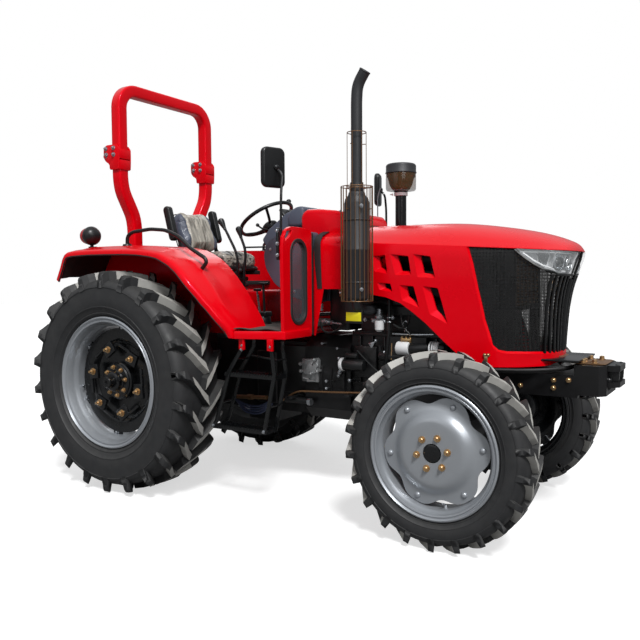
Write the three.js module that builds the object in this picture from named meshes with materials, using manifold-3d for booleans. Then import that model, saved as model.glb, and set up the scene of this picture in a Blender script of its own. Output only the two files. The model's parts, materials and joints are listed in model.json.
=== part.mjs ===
// Farm tractor with four driven wheels, an open driver's station and a folding roll-over hoop.
// Millimetres, +X forward, +Y left, +Z up. Everything is laid out about the middle of the wheelbase,
// on the ground, and the finished group is then moved so that its origin is under the middle of the
// whole length. Right-hand pieces are built on the -Y side, and a mirrored mesh makes the left one.

import * as THREE from 'three';
import { mergeVertices } from 'three/addons/utils/BufferGeometryUtils.js';
import Module from 'manifold-3d';

const wasm = await Module();
wasm.setup();

// ---------------------------------------------------------------- driving dimensions

const contactGap = 0.3;            // between faces that touch
const runningGap = 0.7;            // around a shaft that turns in its bore
const moveGap = 6;                 // between pieces that move past each other
const overlap = 1;                 // how far joined shapes reach into each other

const wheelbase = 2100;
const rearX = -wheelbase / 2;
const frontX = wheelbase / 2;

const wheelSides = 16;             // flats round every wheel, one of them on the ground

const rearWheel = {
  x: rearX, hubZ: 688, track: 730, tyreHalf: 189, seatR: 381, flangeR: 406, rimHalf: 162,
  wellR: 352, rimWall: 9,
};
const frontWheel = {
  x: frontX, hubZ: 485, track: 664, tyreHalf: 105, seatR: 305, flangeR: 328, rimHalf: 98,
  wellR: 284, rimWall: 8,
};
const rearTyreReach = rearWheel.hubZ / Math.cos(Math.PI / wheelSides);  // to a corner of its flats

const engine = {
  rear: 300, front: frontX - 130, half: 190, bottom: 515, deck: 1010, headHalf: 135, top: 1330,
};
const deck = {
  top: 985, plate: 8, skirt: 45, front: 144, half: 668, wingHalf: 780, rearHalf: 440,
};
const gearbox = { half: 165, bottom: 460, top: 925, bellHalf: 215, bellRear: -20 };
const axleBox = {
  front: rearX + 300, rear: rearX - 250, half: 185, bottom: rearWheel.hubZ - 258,
  top: rearWheel.hubZ + 312, coverTop: rearWheel.hubZ + 407, coverHalf: 170, brakeR: 150, brakeY: 260, tubeR: 105, tubeEnd: 600,
  shaftR: 36, shaftDepth: 60,
};
const support = {
  railInner: 125, railOuter: 168, bottom: 711, top: 826, front: frontX + 540,
  noseFront: frontX + 670, noseBottom: 725, noseTop: 878, jawFront: frontX + 725,
  hangerX: 95, hangerThick: 30, hangerHalf: 70, hangerBottom: 535, pinR: 25, pinZ: 575,
};
const frontAxle = {
  tubeR: 55, tubeEnd: 472, kingpinY: 530, yokeHalfX: 34, yokeUpper: 572, yokeThick: 28,
  yokeLower: 398, yokeEnd: 558, kingpinR: 15, barrelR: 49, spindleR: 45, spindleEnd: 640,
  stubR: 30, stubEnd: 700, shaftZ: 482, shaftR: 24,
};
const steering = { armReach: 150, armHalf: 16, armBottom: 398, armTop: 414, pinR: 9, rodR: 11 };

const hood = {
  rear: 348, nose: frontX + 515, half: 335, crease: 1518, creaseDrop: 0.0577, crown: 1632,
  wall: 10, hingeX: 392, hingeZ: 1606, hingePinR: 6, hingeY: 86, hingeEar: 12,
};
const cowl = {
  rear: 128, front: 334, half: hood.half + 17, wall: 8, humpHalf: hood.half - 85, sideBottom: 1260,
};
const dash = { rear: -400, half: 150, bottom: 1180 };
const wheelRim = { x: -464, z: 1718, tilt: 0.563, radius: 204, tube: 12.5, hubR: 42, column: 27 };

const shield = {
  x: 112, thick: 22, inner: cowl.half + 10, outer: cowl.half + 278, outerTop: 1574, innerTop: 1606,
};
const shieldWindow = {
  inner: shield.inner + 45, outer: shield.outer - 74, bottom: 1067, top: 1547, cornerR: 70,
};

const fender = {
  inner: 450, wall: 8, ridge: 752, lip: 880, lipDepth: 44, top: rearWheel.hubZ * 2 + 155,
};
const hoopSplit = 2133;
const hoop = {
  x: rearX - 320, tube: 80, lowY: 315, highY: 435, bendLow: 1680, bendHigh: 2000,
  split: hoopSplit, top: 2650, cornerR: 170, plate: 8, pivotBack: 72, pivotZ: hoopSplit + 32, pinR: 10,
};
const seatBottom = deck.top + 405;
const seat = {
  rear: rearX + 225, front: rearX + 620, half: 240, bottom: seatBottom, top: seatBottom + 110,
  backTop: seatBottom + 415,
};
const stack = {
  x: 465, y: hood.half + 95, bodyR: 77, bottom: 1200, shoulder: 1790, pipeR: 31.5, top: 2440,
};
const intake = { x: 322, y: hood.half + 90, pipeR: 36, bowlR: 100, bowlBottom: 1885, top: 2068 };
const mirror = { y: shield.outer + 2, x: 30, z: 1935, width: 150, height: 212, thick: 38, armR: 8 };
const step = {
  y: 602, outer: 722, upper: 790, lower: 474, thick: 22, rail: 12, railHalf: 14, tyreGap: 14,
};
const hitch = {
  linkX: rearX - 80, linkZ: rearWheel.hubZ - 198, armZ: rearWheel.hubZ + 357, armY: 212, armThick: 24, armLength: 340,
  linkLength: 800, droop: 10, ballY: 400, pinR: 12, shaftR: 25, rodY: 244, rodThick: 16,
};
const drawbar = {
  half: 32, bottom: rearWheel.hubZ - 303, top: rearWheel.hubZ - 269, rear: rearX - 720,
  front: rearX + 100, eyeR: 15, wearLength: 150, wearThick: 6,
};
const driveEnd = { z: rearWheel.hubZ - 68, r: 17.5, length: 80 };

const frontmost = support.jawFront;
const rearmost = hitch.linkX - hitch.linkLength * Math.cos(hitch.droop * Math.PI / 180) - 38;

// ---------------------------------------------------------------- shape helpers

function toSolid(geometry) {
  const bare = geometry.clone();
  bare.deleteAttribute('normal');
  bare.deleteAttribute('uv');
  const merged = mergeVertices(bare, 1e-3);
  const source = merged.index.array;
  const kept = [];
  for (let i = 0; i < source.length; i += 3) {
    const [a, b, c] = [source[i], source[i + 1], source[i + 2]];
    if (a !== b && b !== c && c !== a) kept.push(a, b, c);
  }
  return new wasm.Manifold(new wasm.Mesh({
    numProp: 3,
    vertProperties: Float32Array.from(merged.attributes.position.array),
    triVerts: Uint32Array.from(kept),
  }));
}

function union(...solids) {
  return solids.reduce((whole, solid) => whole.add(solid));
}

// A box between two corners, whose values may come in either order.
function box([x0, x1], [y0, y1], [z0, z1]) {
  const geometry = new THREE.BoxGeometry(Math.abs(x1 - x0), Math.abs(y1 - y0), Math.abs(z1 - z0));
  geometry.translate((x0 + x1) / 2, (y0 + y1) / 2, (z0 + z1) / 2);
  return toSolid(geometry);
}

// An outline pushed along one axis. basis gives the directions of the outline's u, v and of the push.
function prism(points, low, high, basis) {
  const outline = new THREE.Shape(points.map(([u, v]) => new THREE.Vector2(u, v)));
  const geometry = new THREE.ExtrudeGeometry(outline, { depth: high - low, bevelEnabled: false });
  geometry.translate(0, 0, low);
  geometry.applyMatrix4(new THREE.Matrix4().makeBasis(...basis));
  return toSolid(geometry);
}

const alongX = new THREE.Vector3(1, 0, 0);
const alongY = new THREE.Vector3(0, 1, 0);
const alongZ = new THREE.Vector3(0, 0, 1);

// Outline in X and Z, as seen from the side, between two values of Y.
function sidePrism(points, y0, y1) {
  const [low, high] = [-Math.max(y0, y1), -Math.min(y0, y1)];
  return prism(points, low, high, [alongX, alongZ, alongY.clone().negate()]);
}

// Outline in X and Y, as seen from above, between two heights.
function planPrism(points, z0, z1) {
  return prism(points, z0, z1, [alongX, alongY, alongZ]);
}

// Outline in Y and Z, as seen along the tractor, between two values of X.
function frontPrism(points, x0, x1) {
  return prism(points, x0, x1, [alongY, alongZ, alongX]);
}

// A round bar between two points.
function bar(from, to, radius, sides = 8, endRadius = radius) {
  const start = new THREE.Vector3(...from);
  const way = new THREE.Vector3(...to).sub(start);
  const geometry = new THREE.CylinderGeometry(endRadius, radius, way.length(), sides);
  geometry.translate(0, way.length() / 2, 0);
  geometry.applyQuaternion(new THREE.Quaternion().setFromUnitVectors(alongY, way.normalize()));
  geometry.translate(...from);
  return toSolid(geometry);
}

// A closed [radius, y] outline turned about the wheel's axle, with a flat on the ground.
function turned(profile, x, z, sides = wheelSides) {
  const scale = 1 / Math.cos(Math.PI / sides);
  const closed = [...profile, profile[0]];
  const area = closed.slice(1).reduce(
    (sum, [r, y], i) => sum + closed[i][0] * y - r * closed[i][1], 0);
  const ordered = area > 0 ? closed : closed.reverse();
  const points = ordered.map(([r, y]) => new THREE.Vector2(r * scale, y));
  const geometry = new THREE.LatheGeometry(points, sides, Math.PI / sides);
  geometry.translate(x, 0, z);
  return toSolid(geometry);
}

// A disc or drum about the axle line, from one y to another.
function drum(radius, y0, y1, x, z, sides = wheelSides) {
  return turned([[0, y0], [radius, y0], [radius, y1], [0, y1]], x, z, sides);
}

// A bar of the given outline bent along a smooth curve.
function bent(points, radius, sides, steps) {
  const path = new THREE.CatmullRomCurve3(points.map((p) => new THREE.Vector3(...p)));
  const outline = new THREE.Shape();
  for (let i = 0; i < sides; i += 1) {
    const angle = 2 * Math.PI * i / sides;
    const corner = [radius * Math.cos(angle), radius * Math.sin(angle)];
    if (i === 0) outline.moveTo(...corner);
    else outline.lineTo(...corner);
  }
  outline.closePath();
  return toSolid(new THREE.ExtrudeGeometry(outline, { steps, extrudePath: path, bevelEnabled: false }));
}

// Points of an arc, in degrees, about (u, v).
function arc(u, v, radius, fromDegrees, toDegrees, steps) {
  const points = [];
  for (let i = 0; i <= steps; i += 1) {
    const angle = THREE.MathUtils.degToRad(fromDegrees + (toDegrees - fromDegrees) * i / steps);
    points.push([u + radius * Math.cos(angle), v + radius * Math.sin(angle)]);
  }
  return points;
}

function roundedRectangle([u0, u1], [v0, v1], radius, steps = 3) {
  return [
    ...arc(u1 - radius, v1 - radius, radius, 0, 90, steps),
    ...arc(u0 + radius, v1 - radius, radius, 90, 180, steps),
    ...arc(u0 + radius, v0 + radius, radius, 180, 270, steps),
    ...arc(u1 - radius, v0 + radius, radius, 270, 360, steps),
  ];
}

function polar(angleDegrees, length) {
  const angle = THREE.MathUtils.degToRad(angleDegrees);
  return [length * Math.cos(angle), length * Math.sin(angle)];
}

// ---------------------------------------------------------------- finishes

function finish(color, roughness, metalness) {
  return new THREE.MeshStandardMaterial({ color, roughness, metalness, flatShading: true });
}

const redPaint = finish(0xd41420, 0.28, 0.1);
const blackPaint = finish(0x17181a, 0.55, 0.3);
const silverPaint = finish(0xb4b7bb, 0.42, 0.6);
const tyreRubber = finish(0x26272a, 0.9, 0);
const greyPlastic = finish(0x4b4f59, 0.6, 0);
const blackPlastic = finish(0x151517, 0.5, 0);
const mufflerGrey = finish(0x36383c, 0.65, 0.4);
const meshBlack = finish(0x141414, 0.6, 0.3);
const lampClear = finish(0xdfe6ea, 0.1, 0.2);
const seatVinyl = finish(0x76736d, 0.7, 0);

// ---------------------------------------------------------------- driveline

function engineBlock() {
  const { rear, front, half, bottom, deck: deckZ, headHalf, top } = engine;
  const sump = box([rear + 40, front - 40], [-half + 45, half - 45], [bottom, bottom + 60]);
  const block = box([rear, front], [-half, half], [bottom + 40, deckZ]);
  const head = box([rear + 30, front - 30], [-headHalf, headHalf], [deckZ - overlap, top]);
  const pump = box([frontX - 490, frontX - 250], [-half - 60, -half + overlap], [860, 990]);
  const outlet = box([stack.x - 90, stack.x + 300], [-headHalf - 65, -headHalf + overlap], [1110, 1190]);
  const inlet = box([intake.x + 50, intake.x + 440], [headHalf - overlap, headHalf + 62], [1110, 1190]);
  const fanHub = bar([front - 31, 0, 1110], [front + 76, 0, 1110], 38);
  const fan = bar([front + 50, 0, 1110], [front + 76, 0, 1110], 205, 12);
  return union(sump, block, head, pump, outlet, inlet, fanHub, fan);
}

function radiator() {
  const [low, high] = [support.top + contactGap, 1385];
  const core = box([frontX + 62, frontX + 128], [-238, 238], [low + 30, high]);
  const feet = box([frontX + 52, frontX + 138], [-support.railOuter, support.railOuter], [low, low + 31]);
  const tank = box([frontX + 50, frontX + 140], [-250, 250], [high - 70, high + 25]);
  return union(core, feet, tank);
}

function gearboxHousing() {
  const { half, bottom, top, bellHalf, bellRear } = gearbox;
  const bellTop = deck.top - deck.plate - contactGap;
  const corner = 70;
  const bell = frontPrism([
    [-bellHalf, bottom + corner], [-bellHalf + corner, bottom], [bellHalf - corner, bottom],
    [bellHalf, bottom + corner], [bellHalf, bellTop - corner], [bellHalf - corner, bellTop],
    [-bellHalf + corner, bellTop], [-bellHalf, bellTop - corner],
  ], bellRear, engine.rear - contactGap);
  const box1 = box([axleBox.front + contactGap, bellRear + overlap], [-half, half], [bottom + 20, top]);
  const transfer = box([-520, -280], [-130, 130], [bottom - 60, bottom + 21]);
  return union(bell, box1, transfer);
}

function rearAxle() {
  const a = axleBox;
  const housing = box([a.rear, a.front], [-a.half, a.half], [a.bottom, a.top]);
  const cover = box([a.rear - 20, rearX + 160], [-a.coverHalf, a.coverHalf], [a.top - overlap, a.coverTop]);
  const tubes = [-1, 1].map((side) => union(
    drum(a.brakeR, side * (a.half - overlap), side * a.brakeY, rearX, rearWheel.hubZ),
    turned([[0, side * (a.brakeY - overlap)], [a.tubeR, side * (a.brakeY - overlap)],
      [a.tubeR, side * (a.tubeEnd - 160)], [a.tubeR - 25, side * (a.tubeEnd - 40)],
      [a.tubeR - 10, side * (a.tubeEnd - 40)], [a.tubeR - 10, side * a.tubeEnd],
      [0, side * a.tubeEnd]], rearX, rearWheel.hubZ),
    box([rearX - 60, rearX + 60], [side * 255, side * 375], [rearWheel.hubZ, rearWheel.hubZ + a.tubeR + 2]),
  ));
  const bores = [-1, 1].map((side) => drum(
    a.shaftR, side * (a.tubeEnd - a.shaftDepth), side * (a.tubeEnd + 5), rearX, rearWheel.hubZ));
  const driveShaft = bar([a.rear + 5, 0, driveEnd.z], [a.rear - driveEnd.length, 0, driveEnd.z], driveEnd.r, 12);
  const driveGuard = box([a.rear + 5, a.rear - 85], [-85, 85], [driveEnd.z + 62, driveEnd.z + 70]);
  const cheeks = [-1, 1].map((side) => sidePrism([
    [a.rear + 5, a.top - 150], [a.rear - 75, a.top - 120], [a.rear - 75, a.top - 40],
    [a.rear + 5, a.top - 20],
  ], side * 28, side * 46));
  const linkPins = bar(
    [hitch.linkX, -hitch.armY - 34, hitch.linkZ], [hitch.linkX, hitch.armY + 34, hitch.linkZ],
    hitch.pinR, 12);
  const barSlot = box([drawbar.rear, drawbar.front + contactGap],
    [-drawbar.half - contactGap, drawbar.half + contactGap],
    [drawbar.bottom - contactGap, drawbar.top + contactGap]);
  const barHanger = box([a.rear + 10, a.rear + 50], [-60, 60], [drawbar.bottom - 14, a.bottom + 5]);
  const shaftBore = drum(hitch.shaftR + runningGap, -a.half - 30, a.half + 30, hitch.linkX, hitch.armZ);
  return union(housing, cover, ...tubes, driveShaft, driveGuard, ...cheeks, linkPins, barHanger)
    .subtract(union(...bores, shaftBore, barSlot));
}

function drawbarSolid() {
  const { half, bottom, top, rear, front, eyeR, wearLength, wearThick } = drawbar;
  const nose = arc(rear + half, 0, half, 90, 270, 6);
  const blade = planPrism([[front, -half], [front, half], ...nose], bottom, top);
  const wearPlate = planPrism([
    [rear + wearLength, -half], [rear + wearLength, half], ...nose,
  ], top - overlap, top + wearThick);
  const eye = bar([rear + half, 0, bottom - 5], [rear + half, 0, top + wearThick + 5], eyeR, 12);
  const seatBlock = box([front - 90, front - 2], [-half + 6, half - 6], [top - overlap, axleBox.bottom - contactGap]);
  return union(blade, wearPlate).subtract(eye).add(seatBlock);
}

function frontSupport() {
  const s = support;
  const rear = engine.front + contactGap;
  const rails = [-1, 1].map((side) => box([rear, s.front], [side * s.railInner, side * s.railOuter], [s.bottom, s.top]));
  const rearPlate = box([rear, rear + 22], [-s.railOuter, s.railOuter], [s.bottom - 40, s.top]);
  const tray = box([frontX + 40, s.front], [-s.railOuter, s.railOuter], [s.top - 10, s.top]);
  const nose = planPrism([
    [s.front - 20, -s.railOuter], [s.noseFront - 30, -s.railOuter], [s.noseFront, -s.railOuter + 40],
    [s.noseFront, s.railOuter - 40], [s.noseFront - 30, s.railOuter], [s.front - 20, s.railOuter],
  ], s.noseBottom, s.noseTop);
  const jaws = [[s.noseTop - 30, s.noseTop], [s.noseBottom + 42, s.noseBottom + 68]].map((heights) => planPrism([
    [s.noseFront - 5, -105], [s.jawFront - 26, -105], [s.jawFront, -75],
    [s.jawFront, 75], [s.jawFront - 26, 105], [s.noseFront - 5, 105],
  ], ...heights));
  const hangers = [-1, 1].map((way) => {
    const x = frontX + way * s.hangerX;
    return sidePrism([
      [x - s.hangerThick / 2, s.hangerBottom], [x + s.hangerThick / 2, s.hangerBottom],
      [x + s.hangerThick / 2, s.bottom + 20], [x - s.hangerThick / 2, s.bottom + 20],
    ], -s.hangerHalf, s.hangerHalf);
  });
  const saddle = box([frontX - 110, frontX + 110], [-s.railOuter, s.railOuter], [s.bottom - 22, s.bottom + overlap]);
  const pinHole = bar([frontX - 150, 0, s.pinZ], [frontX + 150, 0, s.pinZ], s.pinR + contactGap + 0.4, 12);
  return union(...rails, rearPlate, tray, nose, ...jaws, ...hangers, saddle).subtract(pinHole);
}

function frontAxleBeam() {
  const f = frontAxle;
  const z = frontWheel.hubZ;
  const innerX = support.hangerX - support.hangerThick / 2 - contactGap;
  const pin = bar([frontX - 118, 0, support.pinZ], [frontX + 118, 0, support.pinZ], support.pinR, 12);
  const block = box([frontX - innerX, frontX + innerX], [-58, 58], [z, support.pinZ + 45]);
  const casing = frontPrism([
    [-120, z - 40], [-70, z - 88], [70, z - 88], [120, z - 40], [120, z + 40], [70, z + 75],
    [-70, z + 75], [-120, z + 40],
  ], frontX - 78, frontX + 70);
  const tube = bar([frontX, -f.tubeEnd, z], [frontX, f.tubeEnd, z], f.tubeR, 12);
  const yokes = [-1, 1].map((side) => {
    const back = box([frontX - f.yokeHalfX, frontX + f.yokeHalfX], [side * (f.tubeEnd - 20), side * (f.tubeEnd + 2)],
      [f.yokeLower - f.yokeThick, f.yokeUpper + f.yokeThick]);
    const ears = [[f.yokeUpper, f.yokeUpper + f.yokeThick], [f.yokeLower - f.yokeThick, f.yokeLower]].map(
      (heights) => box([frontX - f.yokeHalfX, frontX + f.yokeHalfX],
        [side * (f.tubeEnd - 20), side * f.yokeEnd], heights));
    const hole = bar([frontX, side * f.kingpinY, 300], [frontX, side * f.kingpinY, 700], f.kingpinR + runningGap, 12);
    return union(back, ...ears).subtract(hole);
  });
  const drive = bar([frontX - 77, 60, f.shaftZ], [engine.rear, 60, f.shaftZ], f.shaftR, 10);
  return union(pin, block, casing, tube, ...yokes, drive);
}

function knuckle() {
  const f = frontAxle;
  const y = -f.kingpinY;
  const z = frontWheel.hubZ;
  const barrel = bar([frontX, y, f.yokeLower + moveGap], [frontX, y, f.yokeUpper - moveGap], f.barrelR, 12);
  const kingpin = bar([frontX, y, f.yokeLower - f.yokeThick - 6], [frontX, y, f.yokeUpper + f.yokeThick + 6],
    f.kingpinR, 12);
  const spindle = bar([frontX, y, z], [frontX, -f.spindleEnd, z], f.spindleR, 12);
  const stub = drum(f.stubR, -f.spindleEnd + overlap, -f.stubEnd, frontX, z);
  const { armReach, armHalf, armBottom, armTop, pinR } = steering;
  const lift = f.yokeLower + moveGap - armBottom;
  const arm = planPrism([
    [frontX, y - armHalf], [frontX, y + armHalf],
    ...arc(frontX - armReach, y, armHalf, 90, 270, 5),
  ], armBottom + lift, armTop + lift);
  const ball = bar([frontX - armReach, y, armTop + lift - overlap], [frontX - armReach, y, armTop + lift + 34],
    pinR, 12);
  return union(barrel, kingpin, spindle, stub, arm, ball);
}

function tieRod() {
  const { armReach, armTop, pinR, rodR } = steering;
  const lift = frontAxle.yokeLower + moveGap - steering.armBottom;
  const z = armTop + lift + moveGap - 1;
  const x = frontX - armReach;
  const ends = [-1, 1].map((side) => {
    const y = side * frontAxle.kingpinY;
    const eye = bar([x, y, z], [x, y, z + 22], 20, 10);
    return [eye, bar([x, y, z - 5], [x, y, z + 30], pinR + runningGap, 10)];
  });
  const rod = bar([x, -frontAxle.kingpinY + 12, z + 11], [x, frontAxle.kingpinY - 12, z + 11], rodR, 10);
  return union(rod, ...ends.map(([eye]) => eye)).subtract(union(...ends.map(([, hole]) => hole)));
}

// ---------------------------------------------------------------- wheels

function tyre(w) {
  const bore = w.seatR + contactGap;
  const bead = w.rimHalf - w.rimWall - contactGap;
  const top = w.hubZ;
  const half = w.tyreHalf;
  const side = (part) => bead + (half - bead) * part;
  const rise = (part) => w.flangeR + 3 + (top - w.flangeR - 3) * part;
  const outline = [
    [bore, bead], [w.flangeR + 3, bead], [rise(0.2), side(0.95)], [rise(0.5), side(1)],
    [rise(0.86), side(0.75)], [top, half * 0.62],
  ];
  const other = outline.map(([r, y]) => [r, -y]).reverse();
  return turned([...outline, ...other].map(([r, y]) => [r, y - w.track]), w.x, w.hubZ);
}

function rimProfile(w) {
  const { rimHalf: h, rimWall: t, seatR, flangeR, wellR } = w;
  const outer = [
    [flangeR, h], [flangeR, h - t], [seatR, h - t], [seatR, h * 0.6], [wellR, h * 0.42],
  ];
  const inner = [[wellR - t, h * 0.42 + t * 0.4], [seatR - t, h * 0.6 + t * 0.4], [seatR - t, h]];
  const mirrored = (points) => points.map(([r, y]) => [r, -y]).reverse();
  const ring = [...outer, ...mirrored(outer), ...mirrored(inner), ...inner];
  return ring;
}

function rim(w) {
  return turned(rimProfile(w).map(([r, y]) => [r, y - w.track]), w.x, w.hubZ);
}

function frontRim() {
  const w = frontWheel;
  const f = frontAxle;
  const face = -752;
  const plate = 9;
  const hubStart = -f.spindleEnd - moveGap;
  const disc = turned([
    [0, face], [150, face], [200, face + 22], [268, face + 52], [w.wellR - w.rimWall + overlap, face + 52],
    [w.wellR - w.rimWall + overlap, face + 52 + plate], [266, face + 52 + plate],
    [196, face + 22 + plate], [147, face + plate], [72, face + plate], [72, hubStart], [0, hubStart],
  ], w.x, w.hubZ);
  const bore = drum(f.stubR + runningGap, -f.stubEnd - moveGap, hubStart + 5, w.x, w.hubZ);
  const centre = drum(28, face - 5, face + 14, w.x, w.hubZ, 12);
  return union(rim(w), disc).subtract(union(bore, centre));
}

function rearDisc() {
  const w = rearWheel;
  const a = axleBox;
  const face = -w.track - 35;
  const plate = 12;
  const edge = w.wellR - w.rimWall - contactGap;
  const disc = turned([
    [0, face], [235, face], [262, face + 28], [edge, face + 28], [edge, face + 28 + plate],
    [256, face + 28 + plate], [228, face + plate], [0, face + plate],
  ], w.x, w.hubZ);
  const hub = turned([
    [0, -a.tubeEnd - moveGap], [118, -a.tubeEnd - moveGap], [118, face + 1], [0, face + 1],
  ], w.x, w.hubZ);
  const boss = turned([[0, face + 1], [112, face + 1], [112, face - 26], [64, face - 40], [0, face - 40]],
    w.x, w.hubZ);
  const shaft = drum(a.shaftR - runningGap, -(a.tubeEnd - a.shaftDepth) - moveGap, -885, w.x, w.hubZ);
  return union(disc, hub, boss, shaft);
}

// ---------------------------------------------------------------- hood

// The hood's outer form, drawn in by inset on every face. When inset it runs on past the open rear
// and bottom.
function hoodForm(inset) {
  const h = hood;
  const past = inset > 0 ? 60 : 0;
  const x = (fromFront) => frontX + fromFront;
  const side = sidePrism([
    [h.rear - past, h.crown - inset], [x(-240), h.crown - inset], [x(-60), 1622 - inset],
    [x(110), 1598 - inset], [x(270), 1571 - inset], [x(374), 1545 - inset],
    [x(450), 1517 - inset], [h.nose - 15 - inset * 0.8, 1490 - inset * 0.8],
    [h.nose - inset, 1462 - inset * 0.5], [h.nose - 4 - inset, 1425], [x(478) - inset, 1339],
    [x(452) - inset, 1200], [x(432) - inset, 930 + (inset > 0 ? -200 : 0)],
    ...(inset > 0 ? [] : [[x(424), 884], [x(395), 868]]),
    [x(271), (inset > 0 ? 740 : 862)], [x(131), (inset > 0 ? 740 : 863)],
    [x(-21), 907 - past], [x(-105), 977 - past], [x(-162), 1028 - past], [x(-220), 1080 - past],
    [x(-296), 1137 - past], [x(-368), 1185 - past], [x(-460), 1217 - past],
    [h.rear - past, 1240 - past],
  ], -h.half - 5, h.half + 5);
  const halfPlan = [
    [h.rear - past, h.half - inset], [x(60), h.half - inset], [x(200), h.half - 10 - inset],
    [x(350), h.half - 30 - inset], [x(438) - inset * 0.6, h.half - 50 - inset * 0.8],
    [x(484) - inset * 0.8, h.half - 110 - inset * 0.5], [x(506) - inset, h.half - 200],
    [h.nose - inset, 0],
  ];
  const plan = planPrism([
    ...halfPlan, ...halfPlan.slice(0, -1).map(([u, v]) => [u, -v]).reverse(),
  ], 600, 1800);
  const halfCrown = [
    [0, 118], [105, 108], [190, 82], [262, 45], [h.half - 8, 0], [h.half, -50], [h.half, -900],
  ].map(([u, v]) => [Math.max(u - (u > 0 ? inset : 0), 0), v - inset * (u < h.half ? 1 : 0)]);
  const crown = frontPrism([
    ...halfCrown, ...halfCrown.slice(1).map(([u, v]) => [-u, v]).reverse(),
  ], -400, 1600).rotate([0, Math.atan(h.creaseDrop) * 180 / Math.PI, 0])
    .translate([500, 0, h.crease - 2]);
  const cheeks = [-1, 1].map((way) => beyondPlane(
    [x(438), way * (h.half - 50), 1339], [x(399), way * 170, 900], [x(150), way * h.half, 870], way, inset));
  return side.intersect(plan).intersect(crown).subtract(union(...cheeks));
}

// Everything past a plane through three points, on the side away from the middle, less an inset.
function beyondPlane(a, b, c, way, inset) {
  const size = 1600;
  const corners = [a, b, c].map((point) => new THREE.Vector3(...point));
  const normal = new THREE.Plane().setFromCoplanarPoints(...corners).normal;
  if (normal.y * way < 0) normal.negate();
  const geometry = new THREE.BoxGeometry(size, size, size);
  geometry.translate(0, 0, size / 2 - inset);
  geometry.applyQuaternion(new THREE.Quaternion().setFromUnitVectors(alongZ, normal));
  geometry.translate(...a);
  return toSolid(geometry);
}

// The dark mesh window: a slanted rear edge on the side, and round the whole nose.
function meshRegion(clear) {
  const x = (fromFront) => frontX + fromFront;
  return sidePrism([
    [x(5) + clear, 1484 - clear], [x(31) + clear, 1403], [x(64) + clear, 1258], [x(102) + clear, 1105],
    [x(135) + clear, 1003], [x(177) + clear, 948 + clear], [x(700), 948 + clear],
    [x(700), 1342 - clear], [x(438), 1342 - clear], [x(345), 1388 - clear], [x(250), 1464 - clear],
  ], -500, 500);
}

function lampRegion(clear, side) {
  const x = (fromFront) => frontX + fromFront;
  return sidePrism([
    [x(258) + clear * 2, 1466 - clear], [x(348), 1392 + clear], [x(440), 1346 + clear],
    [x(700), 1346 + clear], [x(700), 1434 - clear], [x(470), 1440 - clear],
  ], side * (45 + clear), side * 500);
}

function hoodVents() {
  const x = (fromFront) => frontX + fromFront;
  const upper = [
    [[-541, 1445], [-460, 1450], [-447, 1345], [-528, 1360]],
    [[-429, 1454], [-320, 1441], [-303, 1338], [-398, 1338]],
    [[-291, 1451], [-192, 1438], [-163, 1321], [-267, 1327]],
  ];
  const lower = [
    [[-510, 1297], [-429, 1293], [-417, 1245], [-497, 1257]],
    [[-374, 1284], [-291, 1278], [-261, 1160], [-362, 1202]],
    [[-238, 1278], [-151, 1268], [-100, 1078], [-202, 1129]],
  ];
  return [...upper, ...lower].flatMap((corners) => [-1, 1].map((side) => sidePrism(
    corners.map(([u, v]) => [x(u), v]), side * (hood.half - 40), side * (hood.half + 40))));
}

function hoodShell() {
  const h = hood;
  const shell = hoodForm(0).subtract(hoodForm(hood.wall));
  const lamps = [-1, 1].map((side) => lampRegion(0, side));
  const ears = [-1, 1].map((side) => sidePrism([
    [h.hingeX - 18, h.hingeZ - 16], [h.hingeX + 18, h.hingeZ - 16],
    [h.hingeX + 18, h.crown - h.wall + overlap], [h.hingeX - 18, h.crown - h.wall + overlap],
  ], side * (h.hingeY - h.hingeEar / 2), side * (h.hingeY + h.hingeEar / 2)));
  const pinHole = bar([h.hingeX, -150, h.hingeZ], [h.hingeX, 150, h.hingeZ], h.hingePinR + runningGap, 12);
  return shell.subtract(union(meshRegion(0), ...lamps, ...hoodVents())).add(union(...ears)).subtract(pinHole);
}

function grille() {
  const skin = hoodForm(4).subtract(hoodForm(10));
  return skin.intersect(meshRegion(contactGap));
}

function headlight() {
  return hoodForm(2).subtract(hoodForm(40)).intersect(lampRegion(contactGap, -1));
}

// ---------------------------------------------------------------- driver's station

function cowlShell() {
  const c = cowl;
  const top = hood.crown - 8;
  const bottom = deck.top + contactGap;
  const outline = (d, past) => [
    [c.rear + d, bottom - past], [c.rear + d, 1560], [c.rear + 20 + d, top - d],
    [c.front + past, top - d], [c.front + past, c.sideBottom - past], [c.rear + 60 + past, c.sideBottom - past],
    [c.rear + 60 + past, bottom - past],
  ];
  const hump = (d) => sidePrism([
    [-30 + d, 1600 - d * 4], [-30 + d, 1690 - d], [10 + d, 1735 - d], [130 - d, 1738 - d],
    [215 - d, 1700 - d], [262 - d, 1615 - d * 2], [230 - d, 1600 - d * 4],
  ], -c.humpHalf + d, c.humpHalf - d);
  const outer = union(sidePrism(outline(0, 0), -c.half, c.half), hump(0));
  const inner = union(sidePrism(outline(c.wall, 40), -c.half + c.wall, c.half - c.wall), hump(c.wall));
  const hinges = [-1, 1].map((side) => {
    const y = side * (hood.hingeY + hood.hingeEar / 2 + moveGap);
    const arm = sidePrism([
      [c.front - 72, top - overlap], [c.front - 8, top - overlap], [c.front - 4, 1560],
      [hood.hingeX - 9, 1548], ...arc(hood.hingeX, hood.hingeZ, 9, 180, 0, 5),
      [hood.hingeX + 9, 1530], [c.front - 72, 1512],
    ], y, y + side * 10);
    const pin = bar([hood.hingeX, side * (hood.hingeY - 14), hood.hingeZ], [hood.hingeX, y + side * 5, hood.hingeZ],
      hood.hingePinR, 10);
    return union(arm, pin);
  });
  return union(outer.subtract(inner), ...hinges);
}

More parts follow.
